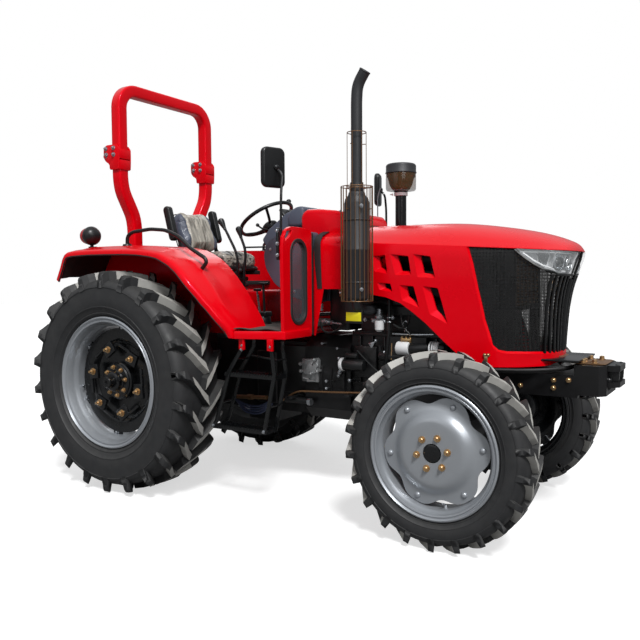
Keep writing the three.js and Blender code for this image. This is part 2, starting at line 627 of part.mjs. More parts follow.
function dashConsole() {
  const d = dash;
  return sidePrism([
    [d.rear + 40, 1520], [d.rear + 150, 1440], [d.rear + 270, 1250], [cowl.rear - 70, d.bottom],
    [cowl.rear - contactGap, d.bottom], [cowl.rear - contactGap, 1595],
    [-30 - contactGap, 1598], [-30 - contactGap, 1745], [-90, 1762], [d.rear + 200, 1740],
    [d.rear + 60, 1640], [d.rear, 1570],
  ], -d.half, d.half);
}

function columnPoint(distance, y = 0) {
  return [
    wheelRim.x + Math.sin(wheelRim.tilt) * distance, y, wheelRim.z - Math.cos(wheelRim.tilt) * distance,
  ];
}

function steeringColumn() {
  const sleeve = bar(columnPoint(60), columnPoint(170), wheelRim.column, 10);
  const tip = bar(columnPoint(14), columnPoint(61), 10, 12);
  const console3d = dashConsole();
  const cutters = [[-contactGap, 0, 0], [0, 0, contactGap]].map((shift) => console3d.translate(shift));
  return union(sleeve, tip).subtract(union(...cutters)).decompose()
    .sort((a, b) => b.volume() - a.volume())[0];
}

function steeringWheel() {
  const { radius, tube, hubR, tilt, x, z } = wheelRim;
  const ring = toSolid(new THREE.TorusGeometry(radius, tube, 6, 24));
  const hub = bar([0, 0, -34], [0, 0, 22], hubR, 12);
  const spokes = [90, 210, 330].map((angle) => {
    const [u, v] = polar(angle, radius);
    return bar([0, 0, -8], [u, v, 0], 10, 6);
  });
  const bore = bar([0, 0, -60], [0, 0, -8], 10 + runningGap, 12);
  const wheel = union(ring, hub, ...spokes).subtract(bore);
  return wheel.rotate([0, -THREE.MathUtils.radToDeg(tilt), 0]).translate([x, 0, z]);
}

function platform() {
  const d = deck;
  const tail = rearX + 560;
  const wing = rearX + rearTyreReach + 78.5;
  const half = [[d.front, d.half], [wing + 63, d.wingHalf + 7], [wing, d.wingHalf]];
  const mirrored = (points) => points.map(([u, v]) => [u, -v]).reverse();
  const outline = [...half, [wing, d.rearHalf], [tail, d.rearHalf]];
  const plate = planPrism([...outline, ...mirrored(outline)], d.top - d.plate, d.top);
  const inside = [
    [d.front - d.plate, d.half - d.plate], [wing + 63, d.wingHalf + 7 - d.plate],
    [wing + d.plate, d.wingHalf - d.plate], [wing + d.plate, d.rearHalf + d.plate],
    [tail - 30, d.rearHalf - d.plate],
  ];
  const under = planPrism([...inside, ...mirrored(inside)], d.top - d.skirt - 5, d.top - d.plate);
  const skirt = planPrism([...outline, ...mirrored(outline)], d.top - d.skirt, d.top - d.plate + overlap)
    .subtract(under);
  const boxClear = box([tail - 50, d.front + 50], [-gearbox.bellHalf - 20, gearbox.bellHalf + 20], [900, d.top - d.plate]);
  return union(plate, skirt.subtract(boxClear));
}

function legShield() {
  const s = shield;
  const w = shieldWindow;
  const outline = [
    [-s.inner, deck.top + contactGap], [-s.inner, s.innerTop], [-s.inner - 90, s.innerTop + 4],
    [-s.outer + 60, s.outerTop + 12], [-s.outer + 12, s.outerTop - 24], [-s.outer, s.outerTop - 80],
    [-s.outer - 22, deck.top + contactGap],
  ];
  const panel = frontPrism(outline.reverse(), s.x, s.x + s.thick);
  const hole = frontPrism(
    roundedRectangle([-w.outer, -w.inner], [w.bottom, w.top], w.cornerR, 4), s.x - 10, s.x + s.thick + 10);
  const flange = box([s.x, cowl.rear + 60], [-cowl.half - contactGap, -cowl.half - 12], [1010, s.innerTop - 20]);
  return panel.subtract(hole).add(flange);
}

function fenderCurve(points) {
  return new THREE.SplineCurve(points.map(([u, v]) => new THREE.Vector2(rearX + u, v)))
    .getPoints(points.length + 3).map((p) => [p.x, p.y]);
}

function fenderSolid() {
  const f = fender;
  const rise = f.top - deck.top;
  const crest = [
    [-440, f.top - 131], [-400, f.top - 51], [-330, f.top - 9], [-181, f.top], [176, f.top],
    [384, f.top - 17], [rearTyreReach - 198.5, f.top - 50], [rearTyreReach - 83.5, f.top - 110],
    [rearTyreReach + 64.5, deck.top + rise * 0.502], [rearTyreReach + 178.5, deck.top + rise * 0.196],
    [rearTyreReach + 219.5, deck.top + contactGap],
  ];
  const curve = fenderCurve(crest);
  const band = (thick) => {
    const lower = curve.map(([u, v], i) => {
      const before = curve[Math.max(i - 1, 0)];
      const after = curve[Math.min(i + 1, curve.length - 1)];
      const run = Math.hypot(after[0] - before[0], after[1] - before[1]);
      return [u + thick * (after[1] - before[1]) / run, v - thick * (after[0] - before[0]) / run];
    });
    lower[lower.length - 1] = [curve[curve.length - 1][0] - thick, deck.top + contactGap];
    return [...curve, ...lower.reverse()].map(([u, v]) => [u, Math.max(v, deck.top + contactGap)]);
  };
  const main = sidePrism(band(f.wall), -f.inner, -f.ridge);
  const lip = sidePrism(band(f.lipDepth), -f.ridge + overlap, -f.lip);
  const wall = sidePrism([
    ...curve, [curve[curve.length - 1][0], deck.top + contactGap], [rearX + 290, deck.top + contactGap],
    [rearX + 130, rearWheel.hubZ + 212], [rearX - 250, rearWheel.hubZ + 212],
    [rearX - 430, rearWheel.hubZ + 462],
  ], -f.inner, -f.inner + f.wall);
  const lipShape = planPrism([
    [rearX - 600, -f.ridge - 60], [rearX - 420, -f.lip], [rearX + rearTyreReach - 1.5, -f.lip],
    [rearX + rearTyreReach + 158.5, -f.ridge - 40], [rearX + rearTyreReach + 228.5, -f.ridge + 20],
    [rearX + rearTyreReach + 228.5, -300], [rearX - 600, -300],
  ], rearWheel.hubZ, f.top + 100);
  return union(main, lip, wall).intersect(lipShape);
}

function seatBase() {
  const low = axleBox.coverTop + contactGap;
  const shelf = box([rearX + 100, seat.rear + 260], [-140, 140], [low, low + 30]);
  const bellows = box([seat.rear + 5, seat.rear + 250], [-130, 130], [low + 29, seat.bottom - 40]);
  const rails = box([seat.rear - 10, seat.front - 70], [-170, 170], [seat.bottom - 41, seat.bottom - contactGap]);
  return union(shelf, bellows, rails);
}

function seatCushion() {
  const s = seat;
  return sidePrism([
    [s.rear, s.bottom], [s.front - 30, s.bottom], [s.front, s.bottom + 35], [s.front - 5, s.top - 10],
    [s.front - 60, s.top], [s.rear + 110, s.top - 14], [s.rear, s.top - 14],
  ], -s.half, s.half);
}

function seatBack() {
  const s = seat;
  const base = s.top - 14 + contactGap;
  return sidePrism([
    [s.rear - 20, base], [s.rear + 84, base], [s.rear + 40, base + 60], [s.rear - 70, s.backTop - 25],
    [s.rear - 100, s.backTop], [s.rear - 240, s.backTop - 20], [s.rear - 235, s.backTop - 60],
    [s.rear - 120, base + 60],
  ], -s.half, s.half);
}

// ---------------------------------------------------------------- roll-over hoop

function hoopPost() {
  const h = hoop;
  const half = h.tube / 2;
  const foot = rearWheel.hubZ + axleBox.tubeR + 2 + contactGap;
  const bend = 0.42 * (h.bendHigh - h.bendLow);
  const path = [
    [h.lowY, h.bendLow], [h.lowY + 12, h.bendLow + bend * 0.35], [h.highY - 12, h.bendHigh - bend * 0.35],
    [h.highY, h.bendHigh],
  ];
  const right = [[h.lowY + half, foot], ...path.map(([y, z]) => [y + half, z]), [h.highY + half, h.split]];
  const left = [[h.lowY - half, foot], ...path.map(([y, z]) => [y - half, z]), [h.highY - half, h.split]];
  const post = frontPrism([...left, ...right.reverse()].map(([y, z]) => [-y, z]), h.x - half, h.x + half);
  const footPlate = box([h.x - half, rearX + 60], [-h.lowY - half, -h.lowY + half], [foot, foot + 26]);
  const gusset = sidePrism([
    [h.x + half - overlap, foot], [h.x + half + 130, foot + 10], [h.x + half - overlap, foot + 230],
  ], -h.lowY - 8, -h.lowY + 8);
  const plates = [-1, 1].map((way) => {
    const y = -h.highY + way * (half + moveGap);
    const skin = sidePrism([
      [h.x - half - 50, h.split - 73], [h.x + half + 50, h.split - 73], [h.x + half + 62, h.split - 3],
      [h.x + half + 50, h.split + 85], [h.x - half - 30, h.split + 93], [h.x - half - 56, h.split + 52],
    ], y, y + way * h.plate);
    const spacer = box([h.x - half, h.x + half], [-h.highY + way * (half - overlap), y + way * overlap],
      [h.split - 67, h.split - 14]);
    return union(skin, spacer);
  });
  const span = half + moveGap + overlap;
  const pin = bar([h.x - h.pivotBack, -h.highY - span, h.pivotZ], [h.x - h.pivotBack, -h.highY + span, h.pivotZ],
    h.pinR, 12);
  return union(post, footPlate, gusset, ...plates, pin);
}

function hoopTop() {
  const h = hoop;
  const half = h.tube / 2;
  const low = h.split + moveGap;
  const outerY = h.highY + half;
  const innerY = h.highY - half;
  const innerR = h.cornerR - h.tube;
  const outline = [
    [outerY, low], ...arc(outerY - h.cornerR, h.top - h.cornerR, h.cornerR, 0, 90, 5),
    ...arc(-outerY + h.cornerR, h.top - h.cornerR, h.cornerR, 90, 180, 5), [-outerY, low],
    [-innerY, low], ...arc(-innerY + innerR, h.top - h.tube - innerR, innerR, 180, 90, 4),
    ...arc(innerY - innerR, h.top - h.tube - innerR, innerR, 90, 0, 4), [innerY, low],
  ];
  const frame = frontPrism(outline, h.x - half, h.x + half);
  const lugs = [-1, 1].map((side) => {
    const y = side * h.highY;
    const lug = sidePrism([
      [h.x - half + overlap, h.pivotZ - 20], [h.x - h.pivotBack, h.pivotZ - 20],
      ...arc(h.x - h.pivotBack, h.pivotZ, 20, 270, 90, 6), [h.x - half + overlap, h.pivotZ + 20],
    ], y - 26, y + 26);
    const hole = bar([h.x - h.pivotBack, y - 40, h.pivotZ], [h.x - h.pivotBack, y + 40, h.pivotZ],
      h.pinR + runningGap, 12);
    return [lug, hole];
  });
  return union(frame, ...lugs.map(([lug]) => lug)).subtract(union(...lugs.map(([, hole]) => hole)));
}

// ---------------------------------------------------------------- exhaust, intake, mirrors

function exhaustStack() {
  const s = stack;
  const y = -s.y;
  const can = turnedUp([
    [0, s.bottom], [s.bodyR - 12, s.bottom], [s.bodyR, s.bottom + 12], [s.bodyR, s.shoulder - 50],
    [s.bodyR - 22, s.shoulder - 14], [s.pipeR + 6, s.shoulder], [0, s.shoulder],
  ], s.x, y, 14);
  const pipe = bent([
    [s.x, y, s.shoulder - 5], [s.x, y, s.shoulder + 250], [s.x, y, s.top - 180],
    [s.x + 8, y, s.top - 100], [s.x + 48, y, s.top - 12],
  ], s.pipeR, 10, 8);
  const inletZ = 1150;
  const down = bar([s.x, y, s.bottom + 5], [s.x, y, inletZ - 26], 30, 12);
  const across = bar([s.x, y - 24, inletZ], [s.x, -engine.headHalf - 65 - contactGap, inletZ], 28, 12);
  return union(can, pipe, down, across);
}

function turnedUp(profile, x, y, sides) {
  const points = [...profile].map(([r, z]) => new THREE.Vector2(r, z));
  const geometry = new THREE.LatheGeometry(points, sides);
  geometry.applyMatrix4(new THREE.Matrix4().makeBasis(alongX, alongZ, alongY.clone().negate()));
  geometry.translate(x, y, 0);
  return toSolid(geometry);
}

function airIntake() {
  const i = intake;
  const pipe = bar([i.x, i.y, 1124], [i.x, i.y, i.bowlBottom + 5], i.pipeR, 10);
  const elbow = bar([i.x, i.y + 20, 1150], [i.x, engine.headHalf + 120, 1150], 30, 12);
  const across = bar([i.x, engine.headHalf + 125, 1150],
    [i.x + 90, engine.headHalf + 62 + contactGap, 1150], 30, 12);
  const bowl = turnedUp([
    [0, i.bowlBottom - 12], [62, i.bowlBottom - 12], [i.bowlR - 4, i.bowlBottom + 4],
    [i.bowlR - 4, i.top - 70], [i.bowlR + 3, i.top - 68], [i.bowlR + 3, i.top - 14], [70, i.top], [0, i.top],
  ], i.x, i.y, 14);
  const face = box([i.x - 200, i.x + 300], [0, engine.headHalf + 62 + contactGap], [1000, 1300]);
  return union(pipe, elbow, across, bowl).subtract(face);
}

function mirrorSolid() {
  const m = mirror;
  const armX = shield.x - m.armR - contactGap;
  const armY = -shield.outer + 14;
  const foot = bar([armX, armY, 1430], [armX, armY, m.z], m.armR, 8);
  const turn = bar([armX, armY, m.z - 4], [m.x + 10, armY, m.z], m.armR, 8);
  const head = frontPrism(
    roundedRectangle([-m.y - m.width / 2, -m.y + m.width / 2], [m.z - m.height / 2, m.z + m.height / 2], 28),
    m.x - m.thick / 2, m.x + m.thick / 2);
  return union(foot, turn, head);
}

// ---------------------------------------------------------------- controls and steps

function gearLevers() {
  const y = -380;
  const floor = deck.top + contactGap;
  const base = box([-440, -330], [y - 40, y + 40], [floor, floor + 14]);
  const long = bent([[-395, y, floor + 5], [-412, y, 1283], [-409, y, 1469], [-505, y, 1632]], 11, 6, 6);
  const longKnob = bar([-500, y, 1624], [-540, y, 1690], 20, 10, 15);
  const short = bent([[-362, y + 4, floor + 5], [-366, y + 4, 1345], [-346, y + 4, 1490], [-385, y + 4, 1575]], 11, 6, 5);
  const shortKnob = bar([-380, y + 4, 1562], [-400, y + 4, 1622], 19, 10, 10);
  return union(base, long, longKnob, short, shortKnob);
}

function pedals() {
  const floor = deck.top + contactGap;
  const shaft = bar([-20, -250, floor + 60], [-20, 250, floor + 60], 12, 10);
  const stands = [-235, 235].map((y) => box([-45, 5], [y - 6, y + 6], [floor, floor + 75]));
  const pads = [-170, -95, 190].map((y) => union(
    bar([-20, y, floor + 60], [-64, y, floor + 184], 10, 8),
    sidePrism([[-95, floor + 160], [-35, floor + 195], [-42, floor + 207], [-102, floor + 172]], y - 32, y + 32),
  ));
  return union(shaft, ...stands, ...pads);
}

function stepSolid() {
  const s = step;
  const top = deck.top - deck.skirt - contactGap;
  const rear = rearX + Math.sqrt(rearTyreReach ** 2 - (rearWheel.hubZ - s.lower) ** 2) + s.tyreGap;
  const front = 60;
  const rails = [[front, front - 30], [rear + 208, rear + 16]].map(
    ([highX, lowX]) => [s.y, s.outer - s.rail].map((y) => sidePrism([
      [highX - s.railHalf, top], [highX + s.railHalf, top],
      [lowX + s.railHalf, s.lower - 20], [lowX - s.railHalf, s.lower - 20],
    ], -y, -y - s.rail)));
  const treads = [[s.upper, rear + 106, front + 12], [s.lower, rear, front - 14]].map(
    ([z, back, nose]) => box([back, nose], [-s.y, -s.outer], [z - s.thick, z]));
  const caps = [front, rear + 208].map((x) => box([x - s.railHalf, x + s.railHalf],
    [-s.y, -s.outer], [top - 24, top]));
  return union(...rails.flat(), ...treads, ...caps);
}

// ---------------------------------------------------------------- three-point hitch

function hitchPoint(length, angleDegrees, x, z) {
  const [u, v] = polar(180 + angleDegrees, length);
  return [x + u, z + v];
}

function lowerLink() {
  const h = hitch;
  const half = h.armThick / 2;
  const bendAt = 400;
  const toRow = (solid) => solid.rotate([0, -h.droop, 0]).translate([h.linkX, 0, h.linkZ]);
  const eye = bar([0, -h.armY + half, 0], [0, -h.armY - half, 0], 30, 12);
  const blade = planPrism([
    [0, -h.armY - half], [0, -h.armY + half], [-bendAt, -h.armY + half], [-h.linkLength, -h.ballY + half],
    [-h.linkLength, -h.ballY - half], [-bendAt - 10, -h.armY - half],
  ].reverse(), -24, 24);
  const ball = bar([-h.linkLength, -h.ballY + 22, 0], [-h.linkLength, -h.ballY - 22, 0], 38, 12);
  const pin = bar([-h.armLength, -h.armY, 0], [-h.armLength, -h.rodY - h.rodThick - 4, 0], h.pinR, 12);
  const holes = union(
    bar([0, -h.armY + 60, 0], [0, -h.armY - 60, 0], h.pinR + runningGap, 12),
    bar([-h.linkLength, -h.ballY + 60, 0], [-h.linkLength, -h.ballY - 60, 0], 14.5, 12),
  );
  return toRow(union(eye, blade, ball, pin).subtract(holes));
}

function liftArms() {
  const h = hitch;
  const half = h.armThick / 2;
  const shaft = bar([0, -h.armY, 0], [0, h.armY, 0], h.shaftR, 12);
  const arms = [-1, 1].map((side) => union(
    bar([0, side * (h.armY - half), 0], [0, side * (h.armY + half), 0], 42, 12),
    sidePrism([[0, -38], [0, 38], [-h.armLength, 22], [-h.armLength, -22]], side * (h.armY - half), side * (h.armY + half)),
    bar([-h.armLength, side * (h.armY - half), 0], [-h.armLength, side * (h.armY + half), 0], 22, 10),
    bar([-h.armLength, side * h.armY, 0], [-h.armLength, side * (h.rodY + h.rodThick + 4), 0], h.pinR, 12),
  ));
  return union(shaft, ...arms).rotate([0, -h.droop, 0]).translate([h.linkX, 0, h.armZ]);
}

function liftRod() {
  const h = hitch;
  const [topX, topZ] = hitchPoint(h.armLength, h.droop, h.linkX, h.armZ);
  const [lowX, lowZ] = hitchPoint(h.armLength, h.droop, h.linkX, h.linkZ);
  const y0 = -h.rodY + 2;
  const y1 = -h.rodY - h.rodThick + 2;
  const mid = (y0 + y1) / 2;
  const eyes = [[topX, topZ], [lowX, lowZ]].map(([x, z]) => bar([x, y0, z], [x, y1, z], 26, 12));
  const rod = bar([topX, mid, topZ], [lowX, mid, lowZ], 8, 10);
  const sleeve = bar([topX, mid, topZ - 60], [topX, mid, topZ - 300], 15, 10);
  const holes = [[topX, topZ], [lowX, lowZ]].map(([x, z]) => bar([x, y0 + 20, z], [x, y1 - 20, z],
    h.pinR + runningGap, 12));
  return union(...eyes, rod, sleeve).subtract(union(...holes));
}

// ---------------------------------------------------------------- assembly

const group = new THREE.Group();
group.name = 'farm_tractor';
group.position.x = -(frontmost + rearmost) / 2;

function add(name, solid, material, mirrored = false) {
  const mesh3d = solid.getMesh();
  const geometry = new THREE.BufferGeometry();
  const stride = mesh3d.numProp;
  const count = mesh3d.vertProperties.length / stride;
  const positions = new Float32Array(count * 3);
  for (let i = 0; i < count; i += 1) {
    for (let axis = 0; axis < 3; axis += 1) positions[3 * i + axis] = mesh3d.vertProperties[stride * i + axis];
  }
  geometry.setAttribute('position', new THREE.BufferAttribute(positions, 3));
  geometry.setIndex(new THREE.BufferAttribute(Uint32Array.from(mesh3d.triVerts), 1));
  geometry.computeVertexNormals();
  const mesh = new THREE.Mesh(geometry, material);
  mesh.name = name;
  if (mirrored) mesh.scale.y = -1;
  group.add(mesh);
}

function addPair(name, solid, material) {
  add(`${name}_right`, solid, material);
  add(`${name}_left`, solid, material, true);
}

add('engine_block', engineBlock(), blackPaint);
add('radiator', radiator(), blackPaint);
add('gearbox_housing', gearboxHousing(), blackPaint);
add('rear_axle_housing', rearAxle(), blackPaint);
add('drawbar', drawbarSolid(), blackPaint);
add('front_support', frontSupport(), blackPaint);
add('front_axle_beam', frontAxleBeam(), blackPaint);
addPair('steering_knuckle', knuckle(), blackPaint);
add('tie_rod', tieRod(), blackPaint);

addPair('front_tyre', tyre(frontWheel), tyreRubber);
addPair('front_wheel_rim', frontRim(), silverPaint);
addPair('rear_tyre', tyre(rearWheel), tyreRubber);
addPair('rear_wheel_rim', rim(rearWheel), silverPaint);
addPair('rear_wheel_disc', rearDisc(), blackPaint);

add('hood', hoodShell(), redPaint);
add('grille', grille(), meshBlack);
addPair('headlight', headlight(), lampClear);

add('cowl', cowlShell(), redPaint);
add('dash_console', dashConsole(), greyPlastic);
add('steering_column', steeringColumn(), blackPlastic);
add('steering_wheel', steeringWheel(), blackPlastic);
add('platform', platform(), redPaint);
addPair('leg_shield', legShield(), redPaint);
addPair('rear_fender', fenderSolid(), redPaint);
add('seat_base', seatBase(), blackPaint);
add('seat_cushion', seatCushion(), seatVinyl);
add('seat_backrest', seatBack(), seatVinyl);
addPair('hoop_post', hoopPost(), redPaint);
add('roll_hoop', hoopTop(), redPaint);

add('exhaust_stack', exhaustStack(), mufflerGrey);
add('air_intake', airIntake(), mufflerGrey);
addPair('mirror', mirrorSolid(), blackPlastic);
add('gear_levers', gearLevers(), blackPlastic);
add('foot_pedals', pedals(), blackPlastic);
addPair('boarding_step', stepSolid(), blackPaint);

addPair('lower_link', lowerLink(), blackPaint);
add('lift_arms', liftArms(), blackPaint);
addPair('lift_rod', liftRod(), blackPaint);

export default group;
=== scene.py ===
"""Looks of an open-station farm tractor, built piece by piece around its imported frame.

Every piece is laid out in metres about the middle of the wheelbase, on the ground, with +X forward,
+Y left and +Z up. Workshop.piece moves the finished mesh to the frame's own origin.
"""

import json
import logging
import math
from dataclasses import dataclass, field
from enum import Enum
from typing import Callable, Iterable, Sequence

import bmesh
import bpy
from mathutils import Matrix, Vector, noise

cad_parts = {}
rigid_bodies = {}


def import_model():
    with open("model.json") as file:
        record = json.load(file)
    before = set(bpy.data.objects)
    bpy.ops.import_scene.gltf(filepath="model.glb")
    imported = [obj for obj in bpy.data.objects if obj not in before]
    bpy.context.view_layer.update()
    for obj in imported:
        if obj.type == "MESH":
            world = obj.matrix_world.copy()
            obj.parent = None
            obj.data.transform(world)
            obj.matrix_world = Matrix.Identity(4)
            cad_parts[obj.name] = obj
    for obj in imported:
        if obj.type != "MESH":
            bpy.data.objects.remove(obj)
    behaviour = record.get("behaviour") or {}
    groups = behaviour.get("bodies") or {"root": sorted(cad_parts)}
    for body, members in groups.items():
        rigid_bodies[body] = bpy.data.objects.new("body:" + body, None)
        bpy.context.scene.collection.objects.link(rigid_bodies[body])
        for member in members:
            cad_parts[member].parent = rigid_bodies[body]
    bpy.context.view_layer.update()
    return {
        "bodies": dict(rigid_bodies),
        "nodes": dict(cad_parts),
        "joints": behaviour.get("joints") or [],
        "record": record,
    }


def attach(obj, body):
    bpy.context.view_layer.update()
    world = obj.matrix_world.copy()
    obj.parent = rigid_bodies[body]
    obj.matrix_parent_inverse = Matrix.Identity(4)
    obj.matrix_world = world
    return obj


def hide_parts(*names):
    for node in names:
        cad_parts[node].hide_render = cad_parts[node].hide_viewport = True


LOG = logging.getLogger("farm_tractor")
MM = 0.001
Point = Sequence[float]


# ------------------------------------------------------------------ colour and nodes


def linear(hex_code: str, alpha: float = 1.0) -> tuple[float, float, float, float]:
    """Turns an sRGB hex colour into linear RGBA.

    Args:
        hex_code: six hex digits, such as "c81420".
        alpha: the fourth value.

    Returns:
        The linear colour that a shader socket takes.
    """
    parts = [int(hex_code[i:i + 2], 16) / 255 for i in (0, 2, 4)]
    low, mid, high = [c / 12.92 if c <= 0.04045 else ((c + 0.055) / 1.055) ** 2.4 for c in parts]
    return (low, mid, high, alpha)


def add_node(tree: bpy.types.NodeTree, kind: str, links: dict | None = None, **settings) -> bpy.types.Node:
    """Adds one node with its settings and links.

    Args:
        tree: the material's or world's node tree.
        kind: the node's type name without "ShaderNode".
        links: input name or index to the output socket that feeds it, or to a plain value.
        **settings: attributes to set on the node.

    Returns:
        The new node.
    """
    node = tree.nodes.new("ShaderNode" + kind)
    for key, value in settings.items():
        setattr(node, key, value)
    for key, value in (links or {}).items():
        socket = node.inputs[key]
        if isinstance(value, bpy.types.NodeSocket):
            tree.links.new(value, socket)
        else:
            socket.default_value = value
    return node


def per_metre(millimetres: float) -> float:
    """Texture scale whose pattern repeats about once in this many millimetres."""
    return 1000.0 / millimetres


@dataclass(frozen=True)
class Finish:
    """A real finish: its base colour, its second tone, how it is broken up, and its surface.

    The two tones are mixed by noise of blotch_mm, and the bump is noise of grain_mm.
    """

    name: str
    colour: str
    tone: str
    roughness: float
    metallic: float = 0.0
    blotch_mm: float = 120.0
    grain_mm: float = 2.0
    bump_mm: float = 0.05
    rough_spread: float = 0.1
    coat: float = 0.0
    sheen: float = 0.0
    specular: float = 0.5
    tint: str = "ffffff"
    dust: str = ""
    dust_amount: float = 0.0

    def material(self) -> bpy.types.Material:
        """Builds the node material once, and returns the same one after that."""
        found = bpy.data.materials.get(self.name)
        if found:
            return found
        made = bpy.data.materials.new(self.name)
        made.use_nodes = True
        tree = made.node_tree
        tree.nodes.clear()
        self.build(tree)
        return made

    def surface(self, tree: bpy.types.NodeTree) -> tuple[bpy.types.Node, bpy.types.Node]:
        """Adds the coordinates and the shader, with its constant values on its own sockets.

        Args:
            tree: the material's node tree.

        Returns:
            The texture coordinate node and the shader node.
        """
        place = add_node(tree, "TexCoord")
        shader = add_node(tree, "BsdfPrincipled", {
            "Metallic": self.metallic, "Coat Weight": self.coat, "Coat Roughness": 0.06,
            "Sheen Weight": self.sheen, "Specular IOR Level": self.specular,
            "Specular Tint": linear(self.tint)})
        add_node(tree, "OutputMaterial", {"Surface": shader.outputs[0]})
        return place, shader

    def build(self, tree: bpy.types.NodeTree) -> None:
        """Adds the colour break-up, the roughness break-up, dust on upward faces and the bump."""
        place, shader = self.surface(tree)
        where = place.outputs["Object"]
        blotch = add_node(tree, "TexNoise", {
            "Vector": where, "Scale": per_metre(self.blotch_mm), "Detail": 6.0, "Roughness": 0.6})
        colour = add_node(tree, "Mix", {
            "Factor": blotch.outputs[0], 6: linear(self.colour), 7: linear(self.tone)},
            data_type="RGBA").outputs[2]
        if self.dust:
            colour = self.dusted(tree, colour, where)
        tree.links.new(colour, shader.inputs["Base Color"])
        rough = add_node(tree, "MapRange", {
            "Value": blotch.outputs[0], "From Min": 0.3, "From Max": 0.7,
            "To Min": self.roughness - self.rough_spread / 2,
            "To Max": self.roughness + self.rough_spread / 2})
        tree.links.new(rough.outputs[0], shader.inputs["Roughness"])
        grain = add_node(tree, "TexNoise", {
            "Vector": where, "Scale": per_metre(self.grain_mm), "Detail": 3.0})
        bump = add_node(tree, "Bump", {
            "Height": grain.outputs[0], "Distance": self.bump_mm * MM, "Strength": 1.0})
        tree.links.new(bump.outputs[0], shader.inputs["Normal"])

    def dusted(self, tree: bpy.types.NodeTree, colour: bpy.types.NodeSocket,
               where: bpy.types.NodeSocket) -> bpy.types.NodeSocket:
        """Lays patchy dust over the colour, most where a face looks up.

        Args:
            tree: the material's node tree.
            colour: the clean colour.
            where: object coordinates.

        Returns:
            The dusted colour.
        """
        facing = add_node(tree, "SeparateXYZ", {0: add_node(tree, "NewGeometry").outputs["Normal"]})
        patch = add_node(tree, "TexNoise", {"Vector": where, "Scale": per_metre(45.0), "Detail": 8.0})
        up = add_node(tree, "MapRange", {
            "Value": facing.outputs["Z"], "From Min": -0.2, "From Max": 1.0, "To Min": 0.25, "To Max": 1.0})
        amount = add_node(tree, "Math", {
            0: up.outputs[0], 1: patch.outputs[0]}, operation="MULTIPLY")
        share = add_node(tree, "Math", {0: amount.outputs[0], 1: self.dust_amount}, operation="MULTIPLY")
        return add_node(tree, "Mix", {
            "Factor": share.outputs[0], 6: colour, 7: linear(self.dust)}, data_type="RGBA").outputs[2]


@dataclass(frozen=True)
class WovenMesh(Finish):
    """A fine steel mesh window: the holes let part of what is behind it show."""

    hole_mm: float = 9.0
    closed: float = 0.66
    open: float = 0.2

    def build(self, tree: bpy.types.NodeTree) -> None:
        """Adds the plain finish, then opens it with a grid of holes in side view."""
        Finish.build(self, tree)
        shader = next(n for n in tree.nodes if n.type == "BSDF_PRINCIPLED")
        where = next(n for n in tree.nodes if n.type == "TEX_COORD").outputs["Object"]
        waves = [add_node(tree, "TexWave", {"Vector": where, "Scale": per_metre(self.hole_mm) / math.tau},
                          bands_direction=axis) for axis in ("X", "Z")]
        both = add_node(tree, "Math", {0: waves[0].outputs[1], 1: waves[1].outputs[1]},
                        operation="MULTIPLY")
        alpha = add_node(tree, "MapRange", {
            "Value": both.outputs[0], "To Min": self.closed, "To Max": self.open})
        tree.links.new(alpha.outputs[0], shader.inputs["Alpha"])


@dataclass(frozen=True)
class ClearPlastic(Finish):
    """Clear moulded polycarbonate or glass, with faint flow marks in its surface."""

    alpha: float = 0.2
    ior: float = 1.5

    def build(self, tree: bpy.types.NodeTree) -> None:
        """Adds the plain finish, thinned by a constant alpha."""
        Finish.build(self, tree)
        shader = next(n for n in tree.nodes if n.type == "BSDF_PRINCIPLED")
        shader.inputs["IOR"].default_value = self.ior
        shader.inputs["Alpha"].default_value = self.alpha


@dataclass(frozen=True)
class Streaked(Finish):
    """Printed vinyl: long wavering streaks of three tones, running along one axis."""

    third: str = "b9b3a4"
    stretch: Point = (18.0, 34.0, 3.0)

    def build(self, tree: bpy.types.NodeTree) -> None:
        """Adds the plain finish, then lays the streaks over its colour."""
        Finish.build(self, tree)
        shader = next(n for n in tree.nodes if n.type == "BSDF_PRINCIPLED")
        where = next(n for n in tree.nodes if n.type == "TEX_COORD").outputs["Object"]
        drawn = add_node(tree, "Mapping", {"Vector": where, "Scale": self.stretch})
        streak = add_node(tree, "TexNoise", {
            "Vector": drawn.outputs[0], "Scale": 1.0, "Detail": 5.0, "Roughness": 0.7, "Distortion": 0.6})
        bands = add_node(tree, "ValToRGB", {"Fac": streak.outputs[0]})
        tones = ((0.30, self.tone), (0.44, self.colour), (0.52, self.third), (0.60, self.colour),
                 (0.72, self.tone))
        stops = bands.color_ramp.elements
        while len(stops) < len(tones):
            stops.new(0.5)
        for stop, (place, code) in zip(stops, tones):
            stop.position, stop.color = place, linear(code)
        tree.links.new(bands.outputs[0], shader.inputs["Base Color"])


